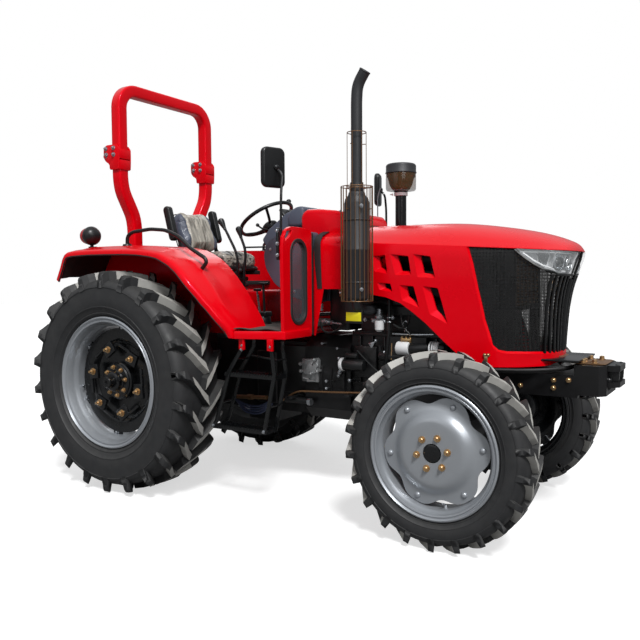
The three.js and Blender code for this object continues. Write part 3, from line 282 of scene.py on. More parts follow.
class Finishes:
    """Every finish on the tractor, named for what it really is."""

    # Alkyd enamel sprayed and baked on pressed steel: deep, glossy, a trace of orange peel.
    red = Finish("red_baked_enamel", "e4000f", "cf000c", 0.26, blotch_mm=400, grain_mm=6,
                 bump_mm=0.03, coat=0.12, specular=0.75, tint="ff4a6e", rough_spread=0.08)
    # The same enamel inside the wheel arches, darkened almost to black as painted shade, with dust laid over
    # it.
    red_painted_shade_and_dust = Finish("red_enamel_painted_shade_and_dust", "3a0a0c", "240a0a", 0.6, blotch_mm=90, grain_mm=5,
                      bump_mm=0.05, dust="5a4a42", dust_amount=0.3)
    # Chassis black brushed over sand-cast iron: the casting's skin shows as a coarse grain.
    cast = Finish("black_enamel_on_cast_iron", "0a0a0b", "121214", 0.36, blotch_mm=70, grain_mm=5,
                  bump_mm=0.35, specular=0.4, dust="3a3733", dust_amount=0.1)
    # Black enamel on folded or drawn steel: smoother and shinier than on castings.
    black = Finish("black_enamel_on_steel", "08090a", "101113", 0.26, blotch_mm=150, grain_mm=3,
                   bump_mm=0.05, specular=0.4, coat=0.12)
    # Aluminium-pigment enamel on rolled rims: soft metallic light, faint cloudiness.
    silver = Finish("silver_enamel_on_rims", "9b9fa4", "8f9398", 0.34, metallic=0.45, blotch_mm=160,
                    grain_mm=2, bump_mm=0.03, coat=0.2)
    # Carbon-black tyre rubber: dry, with a bloom of dust on the lugs' upper faces.
    tyre = Finish("tyre_rubber", "17181a", "232427", 0.58, blotch_mm=60, grain_mm=4, bump_mm=0.18,
                  rough_spread=0.2, specular=0.4, dust="6b6964", dust_amount=0.30)
    # Lug faces: the same rubber painted pale grey on the lugs' crowns and outer flanks as painted light, with
    # dust laid over it.
    tread = Finish("tyre_rubber_painted_light_on_lugs", "979692", "aeaca7", 0.55, blotch_mm=35, grain_mm=5,
                   bump_mm=0.2, rough_spread=0.2, dust="b0aea8", dust_amount=0.4)
    # Moulded ABS for the dash shroud: slate grey with a fine leather grain.
    slate = Finish("slate_moulded_abs", "4b5261", "434958", 0.5, blotch_mm=200, grain_mm=2.5,
                   bump_mm=0.12, coat=0.1)
    # Black polypropylene for knobs, mirror backs and shrouds.
    plastic = Finish("black_moulded_polypropylene", "0e0f10", "161718", 0.36, blotch_mm=80,
                     grain_mm=2, bump_mm=0.08, specular=0.4)
    # EPDM rubber for seals, boots and hoses: matt and almost black.
    rubber = Finish("black_epdm_rubber", "131314", "1e1e1f", 0.68, blotch_mm=50, grain_mm=3,
                    bump_mm=0.1)
    # Blue-grey rubber hose with a faint bloom.
    hose = Finish("blue_grey_hose_rubber", "39415c", "272d44", 0.4, blotch_mm=40, grain_mm=3,
                  bump_mm=0.08)
    # Ribbed floor mat: dusty black rubber.
    mat = Finish("ribbed_rubber_mat", "202021", "3a3836", 0.8, blotch_mm=90, grain_mm=4,
                 bump_mm=0.2, dust="6f675c", dust_amount=0.4)
    # Silicone heat paint on the silencer: flat dark grey, hardly any gloss.
    heat = Finish("heat_resistant_silicone_paint", "242527", "2e2f32", 0.5, metallic=0.2,
                  blotch_mm=110, grain_mm=2, bump_mm=0.06)
    # Yellow-passivated zinc on bolts and nuts: golden with a slight rainbow unevenness.
    zinc = Finish("yellow_zinc_plate", "c9a765", "b89a86", 0.3, metallic=0.9, blotch_mm=14,
                  grain_mm=3, bump_mm=0.05)
    # Clear zinc on rods, clamps and fittings.
    steel = Finish("bright_zinc_plate", "b9bcc0", "9fa3a8", 0.28, metallic=0.95, blotch_mm=20,
                   grain_mm=2, bump_mm=0.04)
    # Oiled brown film on steel: lines and the worn tow plate.
    bronze = Finish("brown_passivated_steel", "7b5a3c", "5d4630", 0.45, metallic=0.5, blotch_mm=30,
                    grain_mm=3, bump_mm=0.08)
    # Vacuum-plated reflector behind the lens.
    chrome = Finish("vacuum_plated_reflector", "dfe3e6", "c8ccd0", 0.12, metallic=1.0, blotch_mm=40,
                    grain_mm=4, bump_mm=0.03)
    # Rolled aluminium: fuel filter bowl, pump bodies.
    alloy = Finish("cast_aluminium", "a9abac", "8f9192", 0.45, metallic=0.8, blotch_mm=25,
                   grain_mm=3, bump_mm=0.15)
    # Corrugated cooler core, bronze-brown fins.
    fins = Finish("bronze_cooler_fins", "c79f70", "a8835a", 0.6, metallic=0.3, blotch_mm=18,
                  grain_mm=4, bump_mm=0.3)
    # Signal-yellow printed film, left blank.
    label = Finish("blank_yellow_film", "e8dc12", "dccf10", 0.4, blotch_mm=60, grain_mm=2,
                   bump_mm=0.02)
    # Off-white powder coat, on the air cleaner's clamp and the mirror edge; on the headlamp housings the same
    # off-white stands for the plated trays' shine as painted reflection.
    pale = Finish("pale_grey_powder_coat_and_painted_reflection", "d9dadb", "c6c8ca", 0.45, blotch_mm=60, grain_mm=2,
                  bump_mm=0.05)
    ruby = ClearPlastic("ruby_acrylic_lens", "a80d10", "980b0e", 0.15, blotch_mm=30, grain_mm=3,
                        bump_mm=0.1, coat=0.5, alpha=0.92)
    lens = ClearPlastic("clear_polycarbonate_lens", "eef3f5", "e6ecef", 0.05, blotch_mm=200,
                        grain_mm=20, bump_mm=0.05, coat=1.0, alpha=0.16, ior=1.58)
    glass = ClearPlastic("smoked_window_glass", "59646a", "505a60", 0.05, blotch_mm=200,
                         grain_mm=30, bump_mm=0.02, coat=1.0, alpha=0.32, ior=1.52)
    smoke = ClearPlastic("smoked_dust_bowl", "6a4c28", "4a3720", 0.12, blotch_mm=60, grain_mm=5,
                         bump_mm=0.05, coat=0.4, alpha=0.5)
    mirror = Finish("silvered_mirror_glass", "dce2e4", "d4dadd", 0.04, metallic=1.0, blotch_mm=200,
                    grain_mm=20, bump_mm=0.01)
    # Printed seat vinyl: pale wood-grain streaks on the back, near-black marbling on the cushion.
    vinyl = Streaked("streaked_seat_vinyl", "8b8880", "565046", 0.36, blotch_mm=60, grain_mm=3,
                     bump_mm=0.2, third="b4afa3", stretch=(14.0, 38.0, 3.5))
    marbled = Streaked("marbled_seat_vinyl", "37332f", "131313", 0.34, blotch_mm=60, grain_mm=3,
                       bump_mm=0.2, third="a39b90", stretch=(9.0, 14.0, 22.0))
    mesh = WovenMesh("black_wire_mesh", "1a1a1b", "232323", 0.38, metallic=0.2, blotch_mm=160,
                     grain_mm=4, bump_mm=0.1)


# ------------------------------------------------------------------ mesh forms


class Plane(Enum):
    """The plane in which an outline is drawn; it is pushed along the remaining axis."""

    SIDE = "XZ"
    TOP = "XY"
    FRONT = "YZ"


def place_between(start: Point, end: Point) -> Matrix:
    """Matrix that takes the Z axis from its origin onto the line from start to end."""
    way = Vector(end) - Vector(start)
    return Matrix.Translation(Vector(start)) @ way.to_track_quat("Z", "Y").to_matrix().to_4x4()


def arc(u: float, v: float, radius: float, start: float, stop: float, steps: int = 8) -> list[tuple]:
    """Points of an arc about (u, v), between two angles in degrees."""
    angles = [math.radians(start + (stop - start) * i / steps) for i in range(steps + 1)]
    return [(u + radius * math.cos(a), v + radius * math.sin(a)) for a in angles]


def rounded_box(u0: float, u1: float, v0: float, v1: float, radius: float, steps: int = 6) -> list[tuple]:
    """Outline of a rectangle with rounded corners."""
    return (arc(u1 - radius, v1 - radius, radius, 0, 90, steps)
            + arc(u0 + radius, v1 - radius, radius, 90, 180, steps)
            + arc(u0 + radius, v0 + radius, radius, 180, 270, steps)
            + arc(u1 - radius, v0 + radius, radius, 270, 360, steps))


def eased(points: Sequence[Point], radius: float, steps: int = 6) -> list[Vector]:
    """Rounds the corners of a path.

    Args:
        points: the path's corners.
        radius: how far back from each corner the bend starts.
        steps: points in each bend.

    Returns:
        The path with a smooth bend at each inner corner.
    """
    path = [Vector(p) for p in points]
    out = [path[0]]
    for before, corner, after in zip(path, path[1:], path[2:]):
        reach = min(radius, (corner - before).length * 0.49, (after - corner).length * 0.49)
        a = corner + (before - corner).normalized() * reach
        b = corner + (after - corner).normalized() * reach
        for i in range(steps + 1):
            t = i / steps
            out.append(a * (1 - t) ** 2 + corner * 2 * t * (1 - t) + b * t ** 2)
    out.append(path[-1])
    return out


def table(points: Sequence[Point], at: float) -> float:
    """Straight-line reading of a table of (place, value)."""
    for (x0, y0), (x1, y1) in zip(points, points[1:]):
        if at <= x1:
            return y0 + (y1 - y0) * max(0.0, at - x0) / (x1 - x0)
    return points[-1][1]


def curve_at(points: Sequence[Point], at: float) -> float:
    """Smooth reading of a table of (place, value), through every point of it."""
    last = len(points) - 1
    slopes = [(points[i + 1][1] - points[i][1]) / (points[i + 1][0] - points[i][0]) for i in range(last)]
    between = [(a + b) / 2 if a * b > 0 else 0.0 for a, b in zip(slopes, slopes[1:])]
    knots = [slopes[0]] + between + [slopes[-1]]
    i = next((k for k in range(last) if at <= points[k + 1][0]), last - 1)
    (x0, y0), (x1, y1) = points[i], points[i + 1]
    t = max(0.0, min(1.0, (at - x0) / (x1 - x0)))
    wide = x1 - x0
    return ((2 * t ** 3 - 3 * t ** 2 + 1) * y0 + (t ** 3 - 2 * t ** 2 + t) * wide * knots[i]
            + (3 * t ** 2 - 2 * t ** 3) * y1 + (t ** 3 - t ** 2) * wide * knots[i + 1])


class Form:
    """One piece's mesh in the making, worked with bmesh operators."""

    def __init__(self) -> None:
        """Starts an empty form."""
        self.bm = bmesh.new()

    def chamfer(self, edges: Iterable, size: float, steps: int = 2) -> None:
        """Rounds the given edges."""
        bmesh.ops.bevel(self.bm, geom=list(edges), offset=size, offset_type="OFFSET", segments=steps,
                        profile=0.5, affect="EDGES", clamp_overlap=True, material=-1)

    def crisp(self, verts: Iterable, angle: float = 30.0) -> list:
        """Edges among these vertices whose faces meet at more than the angle, in degrees."""
        edges = {e for v in verts if v.is_valid for e in v.link_edges}
        limit = math.radians(angle)
        return [e for e in edges if len(e.link_faces) == 2 and e.calc_face_angle(0.0) > limit]

    def block(self, low: Point, high: Point, round_by: float = 0.0, steps: int = 2,
              turn: Matrix | None = None) -> list:
        """Adds a box between two corners.

        Args:
            low: lowest corner.
            high: highest corner.
            round_by: radius of its edges.
            steps: segments across each rounded edge.
            turn: a matrix applied about the box's middle.

        Returns:
            The new vertices.
        """
        low, high = Vector(low), Vector(high)
        size = Matrix.Diagonal((*(high - low), 1.0))
        made = bmesh.ops.create_cube(
            self.bm, size=1.0, matrix=Matrix.Translation((low + high) / 2) @ (turn or Matrix()) @ size)
        verts = made["verts"]
        if round_by:
            self.chamfer({e for v in verts for e in v.link_edges}, round_by, steps)
        return verts

    def rod(self, start: Point, end: Point, radius: float, end_radius: float | None = None,
            sides: int = 20, round_by: float = 0.0) -> list:
        """Adds a round bar or cone between two points, with capped ends."""
        depth = (Vector(end) - Vector(start)).length
        matrix = place_between(start, end) @ Matrix.Translation((0, 0, depth / 2))
        made = bmesh.ops.create_cone(
            self.bm, cap_ends=True, cap_tris=False, segments=sides, radius1=radius,
            radius2=radius if end_radius is None else end_radius, depth=depth, matrix=matrix)
        if round_by:
            self.chamfer(self.crisp(made["verts"], 50), round_by)
        return made["verts"]

    def ball(self, centre: Point, radius: float, squash: Point = (1, 1, 1), sides: int = 24) -> None:
        """Adds a ball, or a flattened one."""
        bmesh.ops.create_uvsphere(
            self.bm, u_segments=sides, v_segments=max(8, sides // 2), radius=radius,
            matrix=Matrix.Translation(Vector(centre)) @ Matrix.Diagonal((*squash, 1.0)))

    def ring(self, centre: Point, axis: Point, radius: float, thick: float, steps: int = 48,
             sides: int = 10) -> None:
        """Adds a round ring, such as a rolled bead or a wheel rim's grip."""
        self.lathe([(radius + thick * math.cos(math.tau * i / sides), thick * math.sin(math.tau * i / sides))
                    for i in range(sides)], centre, axis, steps, closed=True)

    def lathe(self, outline: Sequence[Point], centre: Point, axis: Point, steps: int = 64,
              closed: bool = False) -> None:
        """Spins an outline of (radius, height) about an axis.

        Args:
            outline: the points, from one end to the other.
            centre: where height 0 lies.
            axis: the direction in which height grows.
            steps: segments of the full turn.
            closed: whether the last point joins the first.
        """
        matrix = place_between(centre, Vector(centre) + Vector(axis))
        verts = [self.bm.verts.new(matrix @ Vector((r, 0, h))) for r, h in outline]
        pairs = list(zip(verts, verts[1:])) + ([(verts[-1], verts[0])] if closed else [])
        edges = [self.bm.edges.new(pair) for pair in pairs]
        bmesh.ops.spin(self.bm, geom=verts + edges, cent=Vector(centre), axis=Vector(axis).normalized(),
                       dvec=(0, 0, 0), angle=math.tau, steps=steps, use_merge=True,
                       use_normal_flip=False, use_duplicate=False)

    def plate(self, outline: Sequence[Point], plane: Plane, low: float, high: float,
              round_by: float = 0.0, steps: int = 2, angle: float = 30.0) -> list:
        """Adds an outline pushed along the axis that its plane leaves out.

        Args:
            outline: the points, in the order of the plane's axes.
            plane: the plane in which they are drawn.
            low: where the push starts.
            high: where it ends.
            round_by: radius of the crisp edges.
            steps: segments across each rounded edge.
            angle: the least angle of a crisp edge, in degrees.

        Returns:
            The new vertices.
        """
        spots = {Plane.SIDE: lambda u, v, w: (u, w, v), Plane.TOP: lambda u, v, w: (u, v, w),
                 Plane.FRONT: lambda u, v, w: (w, u, v)}[plane]
        verts = [self.bm.verts.new(spots(u, v, low)) for u, v in outline]
        face = self.bm.faces.new(verts)
        made = bmesh.ops.extrude_face_region(self.bm, geom=[face])
        moved = [g for g in made["geom"] if isinstance(g, bmesh.types.BMVert)]
        bmesh.ops.translate(self.bm, verts=moved, vec=Vector(spots(0, 0, high - low)))
        if round_by:
            self.chamfer(self.crisp(verts + moved, angle), round_by, steps)
        return verts + moved

    def sheet(self, across: int, along: int, mapping: Callable[[float, float], Point]) -> list:
        """Adds a grid whose points are placed by a function of two values from 0 to 1."""
        made = bmesh.ops.create_grid(self.bm, x_segments=across, y_segments=along, size=0.5)
        for v in made["verts"]:
            v.co = Vector(mapping(v.co.x + 0.5, v.co.y + 0.5))
        return made["verts"]

    def tube(self, points: Sequence[Point], radius: float, sides: int = 12) -> None:
        """Adds a round tube along a path, with closed ends."""
        curve = bpy.data.curves.new("path", "CURVE")
        curve.dimensions = "3D"
        curve.bevel_depth = radius
        curve.bevel_resolution = max(1, sides // 4 - 1)
        curve.use_fill_caps = True
        spline = curve.splines.new("POLY")
        spline.points.add(len(points) - 1)
        for spot, point in zip(spline.points, points):
            spot.co = (*point, 1.0)
        holder = bpy.data.objects.new("path", curve)
        mesh = bpy.data.meshes.new_from_object(holder)
        self.bm.from_mesh(mesh)
        for data, block in ((bpy.data.objects, holder), (bpy.data.curves, curve), (bpy.data.meshes, mesh)):
            data.remove(block)

    def hose(self, points: Sequence[Point], radius: float, bend: float = 0.06, sides: int = 12) -> None:
        """Adds a tube whose corners are eased."""
        self.tube(eased(points, bend), radius, sides)

    def bolt(self, at: Point, way: Point, size: float, washer: bool = True, length: float = 0.0) -> None:
        """Adds a hexagon head on its washer.

        Args:
            at: where the washer meets the work.
            way: the direction in which the head stands out.
            size: width of the head.
            washer: whether it sits on a washer.
            length: a stud's length past the head, or 0.
        """
        at, way = Vector(at), Vector(way).normalized()
        low = 0.0
        if washer:
            self.rod(at, at + way * size * 0.14, size * 0.78, sides=16)
            low = size * 0.14
        self.rod(at + way * low, at + way * (low + size * 0.55), size * 0.56, sides=6)
        self.rod(at + way * (low + size * 0.55), at + way * (low + size * 0.66), size * 0.5,
                 size * 0.36, sides=12)
        if length:
            self.rod(at + way * low, at + way * (low + size * 0.6 + length), size * 0.28, sides=10)

    def both_sides(self) -> "Form":
        """Adds the other side of the tractor's copy of everything made so far."""
        geometry = self.bm.verts[:] + self.bm.edges[:] + self.bm.faces[:]
        bmesh.ops.mirror(self.bm, geom=geometry, matrix=Matrix(), merge_dist=-1.0, axis="Y")
        return self

    def turned_copies(self, count: int, centre: Point, axis: Point) -> "Form":
        """Repeats everything made so far around an axis, evenly."""
        geometry = self.bm.verts[:] + self.bm.edges[:] + self.bm.faces[:]
        for i in range(1, count):
            made = bmesh.ops.duplicate(self.bm, geom=geometry)
            verts = [g for g in made["geom"] if isinstance(g, bmesh.types.BMVert)]
            bmesh.ops.rotate(self.bm, verts=verts, cent=Vector(centre),
                             matrix=Matrix.Rotation(math.tau * i / count, 3, Vector(axis)))
        return self

    def mirrored(self) -> "Form":
        """Turns the whole form to the other side of the tractor."""
        bmesh.ops.scale(self.bm, vec=(1, -1, 1), verts=self.bm.verts[:])
        bmesh.ops.reverse_faces(self.bm, faces=self.bm.faces[:])
        return self

    def thicken(self, wall: float) -> "Form":
        """Gives a sheet its wall, inwards."""
        bmesh.ops.remove_doubles(self.bm, verts=self.bm.verts[:], dist=1e-6)
        bmesh.ops.recalc_face_normals(self.bm, faces=self.bm.faces[:])
        bmesh.ops.solidify(self.bm, geom=self.bm.faces[:], thickness=wall)
        return self


SIDES = {"right": -1, "left": 1}


class Workshop:
    """Turns forms into finished pieces that ride on the frame's bodies."""

    def __init__(self, frame: dict) -> None:
        """Keeps the frame, and finds the middle of the wheelbase from its joints."""
        self.frame = frame
        joints = {j["name"]: j for j in frame["joints"]}
        ends = [self.where(joints[n])[0] for n in ("rear_wheel_spin_right", "steer_right")]
        self.middle = sum(ends) / 2
        self.count = 0

    @staticmethod
    def where(joint: dict) -> Point:
        """The point on a joint's axis, in metres."""
        return next(joint[k] for k in ("origin_m", "pos_m", "point_m", "origin") if k in joint)

    def piece(self, name: str, form: Form, finish: Finish, body: str, slot: str,
              smooth: float = 38.0, stands_for: Sequence[str] = (), round_by: float = 0.0,
              subdivide: int = 0, recalc: bool = True,
              accents: Sequence[tuple] = ()) -> bpy.types.Object:
        """Finishes a form as an object of its own.

        Args:
            name: the piece's name.
            form: its mesh, about the middle of the wheelbase.
            finish: what it is made of.
            body: the frame body that carries it.
            slot: the record's material slot; not used.
            smooth: faces that meet at less than this angle, in degrees, shade as one.
            stands_for: frame nodes that it replaces.
            round_by: width of a live bevel on its crisp edges.
            subdivide: levels of a live subdivision surface.
            recalc: whether its normals are worked out afresh.
            accents: pairs of another finish and a test that picks its faces.

        Returns:
            The new object.
        """
        bm = form.bm
        bmesh.ops.remove_doubles(bm, verts=bm.verts[:], dist=1e-5)
        if recalc:
            bmesh.ops.recalc_face_normals(bm, faces=bm.faces[:])
        for number, (_, chosen) in enumerate(accents, 1):
            for face in bm.faces:
                if chosen(face):
                    face.material_index = number
        bmesh.ops.translate(bm, verts=bm.verts[:], vec=(self.middle, 0, 0))
        mesh = bpy.data.meshes.new(name)
        bm.to_mesh(mesh)
        bm.free()
        mesh.shade_smooth()
        mesh.set_sharp_from_angle(angle=math.radians(smooth))
        made = bpy.data.objects.new(name, mesh)
        bpy.context.scene.collection.objects.link(made)
        for surface in (finish, *(extra for extra, _ in accents)):
            mesh.materials.append(surface.material())
        if round_by:
            edge = made.modifiers.new("edges", "BEVEL")
            edge.width, edge.segments, edge.limit_method = round_by, 2, "ANGLE"
            edge.angle_limit = math.radians(30)
            edge.harden_normals = True
        if subdivide:
            surface = made.modifiers.new("surface", "SUBSURF")
            surface.levels = surface.render_levels = subdivide
        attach(made, body)
        if stands_for:
            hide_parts(*stands_for)
        self.count += 1
        LOG.info("%s: %d faces on %s", name, len(mesh.polygons), body)
        return made

    def paint(self, finish: Finish, *nodes: str) -> None:
        """Gives frame nodes that stay in view their finish."""
        for node in nodes:
            target = self.frame["nodes"][node]
            target.data.materials.clear()
            target.data.materials.append(finish.material())


# ------------------------------------------------------------------ frame nodes that stay in view


def paint_frame(shop: Workshop) -> None:
    """Gives every frame node its finish; the ones that a piece stands for are hidden later."""
    f = Finishes
    pair = [f"{name}_{side}" for name in (
        "steering_knuckle", "boarding_step", "lower_link", "lift_rod") for side in SIDES]
    shop.paint(f.cast, "engine_block", "gearbox_housing", "rear_axle_housing", "front_support",
               "front_axle_beam", "lift_arms", *pair)
    shop.paint(f.black, "radiator", "drawbar", "tie_rod", "seat_base",
               *[f"rear_wheel_disc_{side}" for side in SIDES])
    shop.paint(f.tyre, *[f"{end}_tyre_{side}" for end in ("front", "rear") for side in SIDES])
    shop.paint(f.silver, *[f"{end}_wheel_rim_{side}" for end in ("front", "rear") for side in SIDES])
    shop.paint(f.red, "hood", "cowl", "platform", "roll_hoop",
               *[f"{name}_{side}" for name in ("leg_shield", "rear_fender", "hoop_post") for side in SIDES])
    shop.paint(f.mesh, "grille")
    shop.paint(f.lens, *[f"headlight_{side}" for side in SIDES])
    shop.paint(f.slate, "dash_console", "seat_cushion", "seat_backrest")
    shop.paint(f.plastic, "steering_column", "steering_wheel", "gear_levers", "foot_pedals",
               *[f"mirror_{side}" for side in SIDES])
    shop.paint(f.heat, "exhaust_stack", "air_intake")




# ------------------------------------------------------------------ hood


@dataclass
class HoodShape:
    """The hood's outer surface, read at a length round its plan and a height.

    The length is measured from the rear edge forward, and goes on round the nose to the centre line.
    """

    rear: float = 0.348
    knots: tuple = (0.348, 1.110, 1.250, 1.400, 1.488, 1.564, 1.656, 1.791)
    upper: tuple = ((0.348, 0.335), (1.110, 0.335), (1.250, 0.327), (1.400, 0.307), (1.488, 0.282),
                    (1.534, 0.225), (1.556, 0.135), (1.564, 0.0))
    lower: tuple = ((0.348, 0.335), (1.110, 0.335), (1.206, 0.331), (1.330, 0.258), (1.412, 0.202),
                    (1.450, 0.156), (1.471, 0.093), (1.479, 0.0))
    # How far forward the nose reaches at each height.
    nose: tuple = ((0.880, 1.474), (0.930, 1.482), (1.200, 1.502), (1.339, 1.528), (1.425, 1.557),
                   (1.462, 1.564), (1.60, 1.564))
    centre_line: tuple = ((0.348, 1.632), (0.810, 1.632), (0.990, 1.622), (1.160, 1.599), (1.320, 1.571),
                          (1.424, 1.545), (1.500, 1.517), (1.545, 1.490), (1.564, 1.458))
    crown: tuple = ((0.0, 1.0), (0.31, 0.93), (0.56, 0.73), (0.78, 0.42), (0.93, 0.13), (1.0, 0.0))
    high: float = 1.339
    low: float = 0.90

    @property
    def end(self) -> float:
        """The length at the centre line."""
        return self.knots[-1]

    def crease(self, x: float) -> float:
        """Height of the line where the side turns into the crown."""
        return 1.516 - 0.0577 * (x - 0.500)

    def plan(self, s: float, z: float) -> Vector:
        """The surface's point on the left side, as x and y."""
        share = max(0.0, min(1.0, (self.high - z) / (self.high - self.low)))
        up = [curve_at(list(zip(self.knots, (p[i] for p in self.upper))), s) for i in (0, 1)]
        down = [curve_at(list(zip(self.knots, (p[i] for p in self.lower))), s) for i in (0, 1)]
        lean = curve_at(self.nose, z) - self.upper[-1][0]
        up[0] += lean * max(0.0, min(1.0, (s - 1.40) / 0.18))
        tuck = 0.008 * max(0.0, min(1.0, (z - self.crease(up[0]) + 0.05) / 0.05)) ** 2
        return Vector((up[0] * (1 - share) + down[0] * share,
                       max(0.0, up[1] * (1 - share) + down[1] * share - tuck)))

    def spot(self, s: float, z: float, depth: float = 0.0) -> Point:
        """A point so far inside the surface, on the left side."""
        here = self.plan(s, z)
        ahead, behind = self.plan(min(s + 0.01, self.end), z), self.plan(s - 0.01, z)
        way = (ahead - behind).normalized()
        if s > self.end - 0.002:
            way = Vector((0.0, -1.0))
        return (here.x + way.y * depth, max(0.0, here.y - way.x * depth), z)

    def length_at(self, x: float, z: float) -> float:
        """The length whose point has this x at this height, on the flat of the side."""
        low, high = self.rear, 1.56
        for _ in range(30):
            middle = (low + high) / 2
            low, high = (middle, high) if self.plan(middle, z).x < x else (low, middle)
        return low

    def wrap(self, outline: Sequence[Point], holes: Sequence = (), depth: float = 0.0,
             step: float = 0.035) -> Form:
        """Fills an outline drawn in length and height, cuts it fine, and lays it on the surface.

        Args:
            outline: the points.
            holes: outlines left open.
            depth: how far inside the surface it lies.
            step: the size of the facets.

        Returns:
            A form on the left side.
        """
        form = Form()
        edges = []
        for loop in (outline, *holes):
            verts = [form.bm.verts.new((u, 0, v)) for u, v in loop]
            edges += [form.bm.edges.new(pair) for pair in zip(verts, verts[1:] + verts[:1])]
        bmesh.ops.triangle_fill(form.bm, use_beauty=True, use_dissolve=False, edges=edges, normal=(0, -1, 0))
        lengths = [u for u, _ in outline]
        heights = [v for _, v in outline]
        for axis, low, high in (((1, 0, 0), max(min(lengths), 1.05), max(lengths)),
                                ((0, 0, 1), min(heights), max(heights))):
            count = int((high - low) / step)
            for i in range(1, count + 1):
                cut = low + i * step
                bmesh.ops.bisect_plane(form.bm, geom=form.bm.verts[:] + form.bm.edges[:] + form.bm.faces[:],
                                       plane_co=Vector(axis) * cut, plane_no=axis, dist=1e-5)
        for vert in form.bm.verts:
            vert.co = self.spot(vert.co.x, vert.co.z, depth)
        return form

    def line(self, points: Sequence[Point], depth: float = 0.0, step: float = 0.03) -> list[Point]:
        """A path on the surface through points drawn in length and height."""
        out = []
        for (u0, v0), (u1, v1) in zip(points, points[1:]):
            count = max(1, int(math.hypot(u1 - u0, v1 - v0) / step))
            out += [self.spot(u0 + (u1 - u0) * i / count, v0 + (v1 - v0) * i / count, depth)
                    for i in range(count)]
        return out + [self.spot(*points[-1], depth)]


@dataclass
class Hood:
    """The tilting hood: pressed red skin, louvred vents, mesh windows and ribbed nose."""

    shape: HoodShape = field(default_factory=HoodShape)
    wall: float = 0.004
    vent_depth: float = 0.020
    vents: tuple = (
        ((0.509, 1.445), (0.590, 1.450), (0.603, 1.345), (0.522, 1.360)),
        ((0.621, 1.454), (0.730, 1.441), (0.747, 1.338), (0.652, 1.338)),
        ((0.759, 1.451), (0.858, 1.438), (0.887, 1.321), (0.783, 1.327)),
        ((0.540, 1.297), (0.621, 1.293), (0.633, 1.245), (0.553, 1.257)),
        ((0.676, 1.284), (0.759, 1.278), (0.789, 1.160), (0.688, 1.202)),
        ((0.812, 1.278), (0.899, 1.268), (0.950, 1.078), (0.848, 1.129)),
    )
    bottom: tuple = ((1.445, 0.868), (1.321, 0.862), (1.181, 0.863), (1.100, 0.880), (1.029, 0.907),
                     (0.945, 0.977), (0.888, 1.028), (0.830, 1.080), (0.754, 1.137), (0.682, 1.185),
                     (0.590, 1.217), (0.480, 1.233), (0.348, 1.240))
    window_edge: tuple = ((1.055, 1.4835), (1.081, 1.403), (1.114, 1.258), (1.152, 1.105), (1.185, 1.003),
                          (1.203, 0.966), (1.232, 0.942), (1.270, 0.934))
    lamp_edge: tuple = ((1.306, 1.4655), (1.345, 1.432), (1.398, 1.393), (1.445, 1.366), (1.492, 1.349),
                        (1.560, 1.340))
    chin_top: float = 0.930
    ribs: int = 5
    rib_first: float = 1.520
    rib_gap: float = 0.050

    def window_side(self) -> list[Point]:
        """The window's rear and lower edge, in length and height."""
        drawn = [(self.shape.length_at(x, z), z) for x, z in self.window_edge]
        return drawn + [(1.45, self.chin_top + 0.002), (1.60, self.chin_top), (self.shape.end, self.chin_top)]

    def lamp_side(self) -> list[Point]:
        """The lamp's lower edge, in length and height, from its point to the nose."""
        drawn = [(self.shape.length_at(x, z) if x < 1.5 else x, z) for x, z in self.lamp_edge]
        return drawn + [(1.66, 1.337), (self.shape.end - 0.045, 1.336)]

    def crease_line(self, start: float, stop: float, step: float = 0.06) -> list[Point]:
        """Points of the crease between two lengths."""
        count = max(1, int((stop - start) / step))
        lengths = [start + (stop - start) * i / count for i in range(count + 1)]
        return [(s, self.crease_height(s)) for s in lengths]

    def crease_height(self, s: float) -> float:
        """The crease's height at a length."""
        x = curve_at(list(zip(self.shape.knots, (p[0] for p in self.shape.upper))), s)
        return self.shape.crease(x)

    def skin(self) -> Form:
        """The side panels and the chin, with the vents open."""
        low = [(self.shape.end, 0.884), (1.62, 0.878), (self.shape.length_at(1.448, 0.870), 0.869)]
        low += [(self.shape.length_at(x, z), z) for x, z in self.bottom[1:]]
        crease = self.crease_line(self.shape.rear, self.window_edge[0][0])
        outline = crease[:-1] + self.window_side() + low
        form = self.shape.wrap(outline, [self.rounded(v) for v in self.vents])
        form.thicken(self.wall)
        return form.both_sides()

    @staticmethod
    def rounded(corners: Sequence[Point], radius: float = 0.008) -> list[tuple]:
        """Rounds an outline's corners."""
        loop = [(u, 0.0, v) for u, v in corners]
        path = eased([loop[-1], *loop, loop[0], loop[1]], radius, 3)
        per = 4
        return [(p.x, p.z) for p in path[1:1 + per * len(corners)]]

    def vent_hole(self, vent: Sequence[Point]) -> list[tuple]:
        """The open part of a vent: set in from its rear edge and from its lower edge."""
        (ax, az), (bx, bz), (cx, cz), (dx, dz) = vent
        tall = min(0.022, (az - dz) * 0.25)
        return [(ax + 0.034, az - 0.006), (bx - 0.004, bz - 0.005), (cx - 0.010, cz + tall * 0.9),
                (dx + 0.031, dz + tall)]

    def funnels(self) -> Form:
        """The slanted faces inside each vent, down to its opening."""
        form = Form()
        for vent in self.vents:
            loops = []
            for outline, depth in ((self.rounded(vent), 0.001),
                                   (self.rounded(self.vent_hole(vent), 0.006), self.vent_depth),
                                   (self.rounded(self.vent_hole(vent), 0.006), self.vent_depth + 0.012)):
                loops.append([form.bm.verts.new(self.shape.spot(u, v, depth)) for u, v in outline])
            for one, two in zip(loops, loops[1:]):
                for i in range(len(one)):
                    j = (i + 1) % len(one)
                    form.bm.faces.new((one[i], one[j], two[j], two[i]))
        return form.both_sides()

    def crown(self) -> Form:
        """The domed upper panel, from crease to crease."""
        form = Form()
        shape = self.shape
        stations = [shape.rear, 0.5, 0.65, 0.8, 0.9, 1.0, 1.1, 1.2, 1.28, 1.36, 1.42, 1.47, 1.50, 1.52,
                    1.535, 1.546, 1.554, 1.560, 1.5635]
        knots = list(zip((p[0] for p in shape.upper), (p[1] for p in shape.upper)))

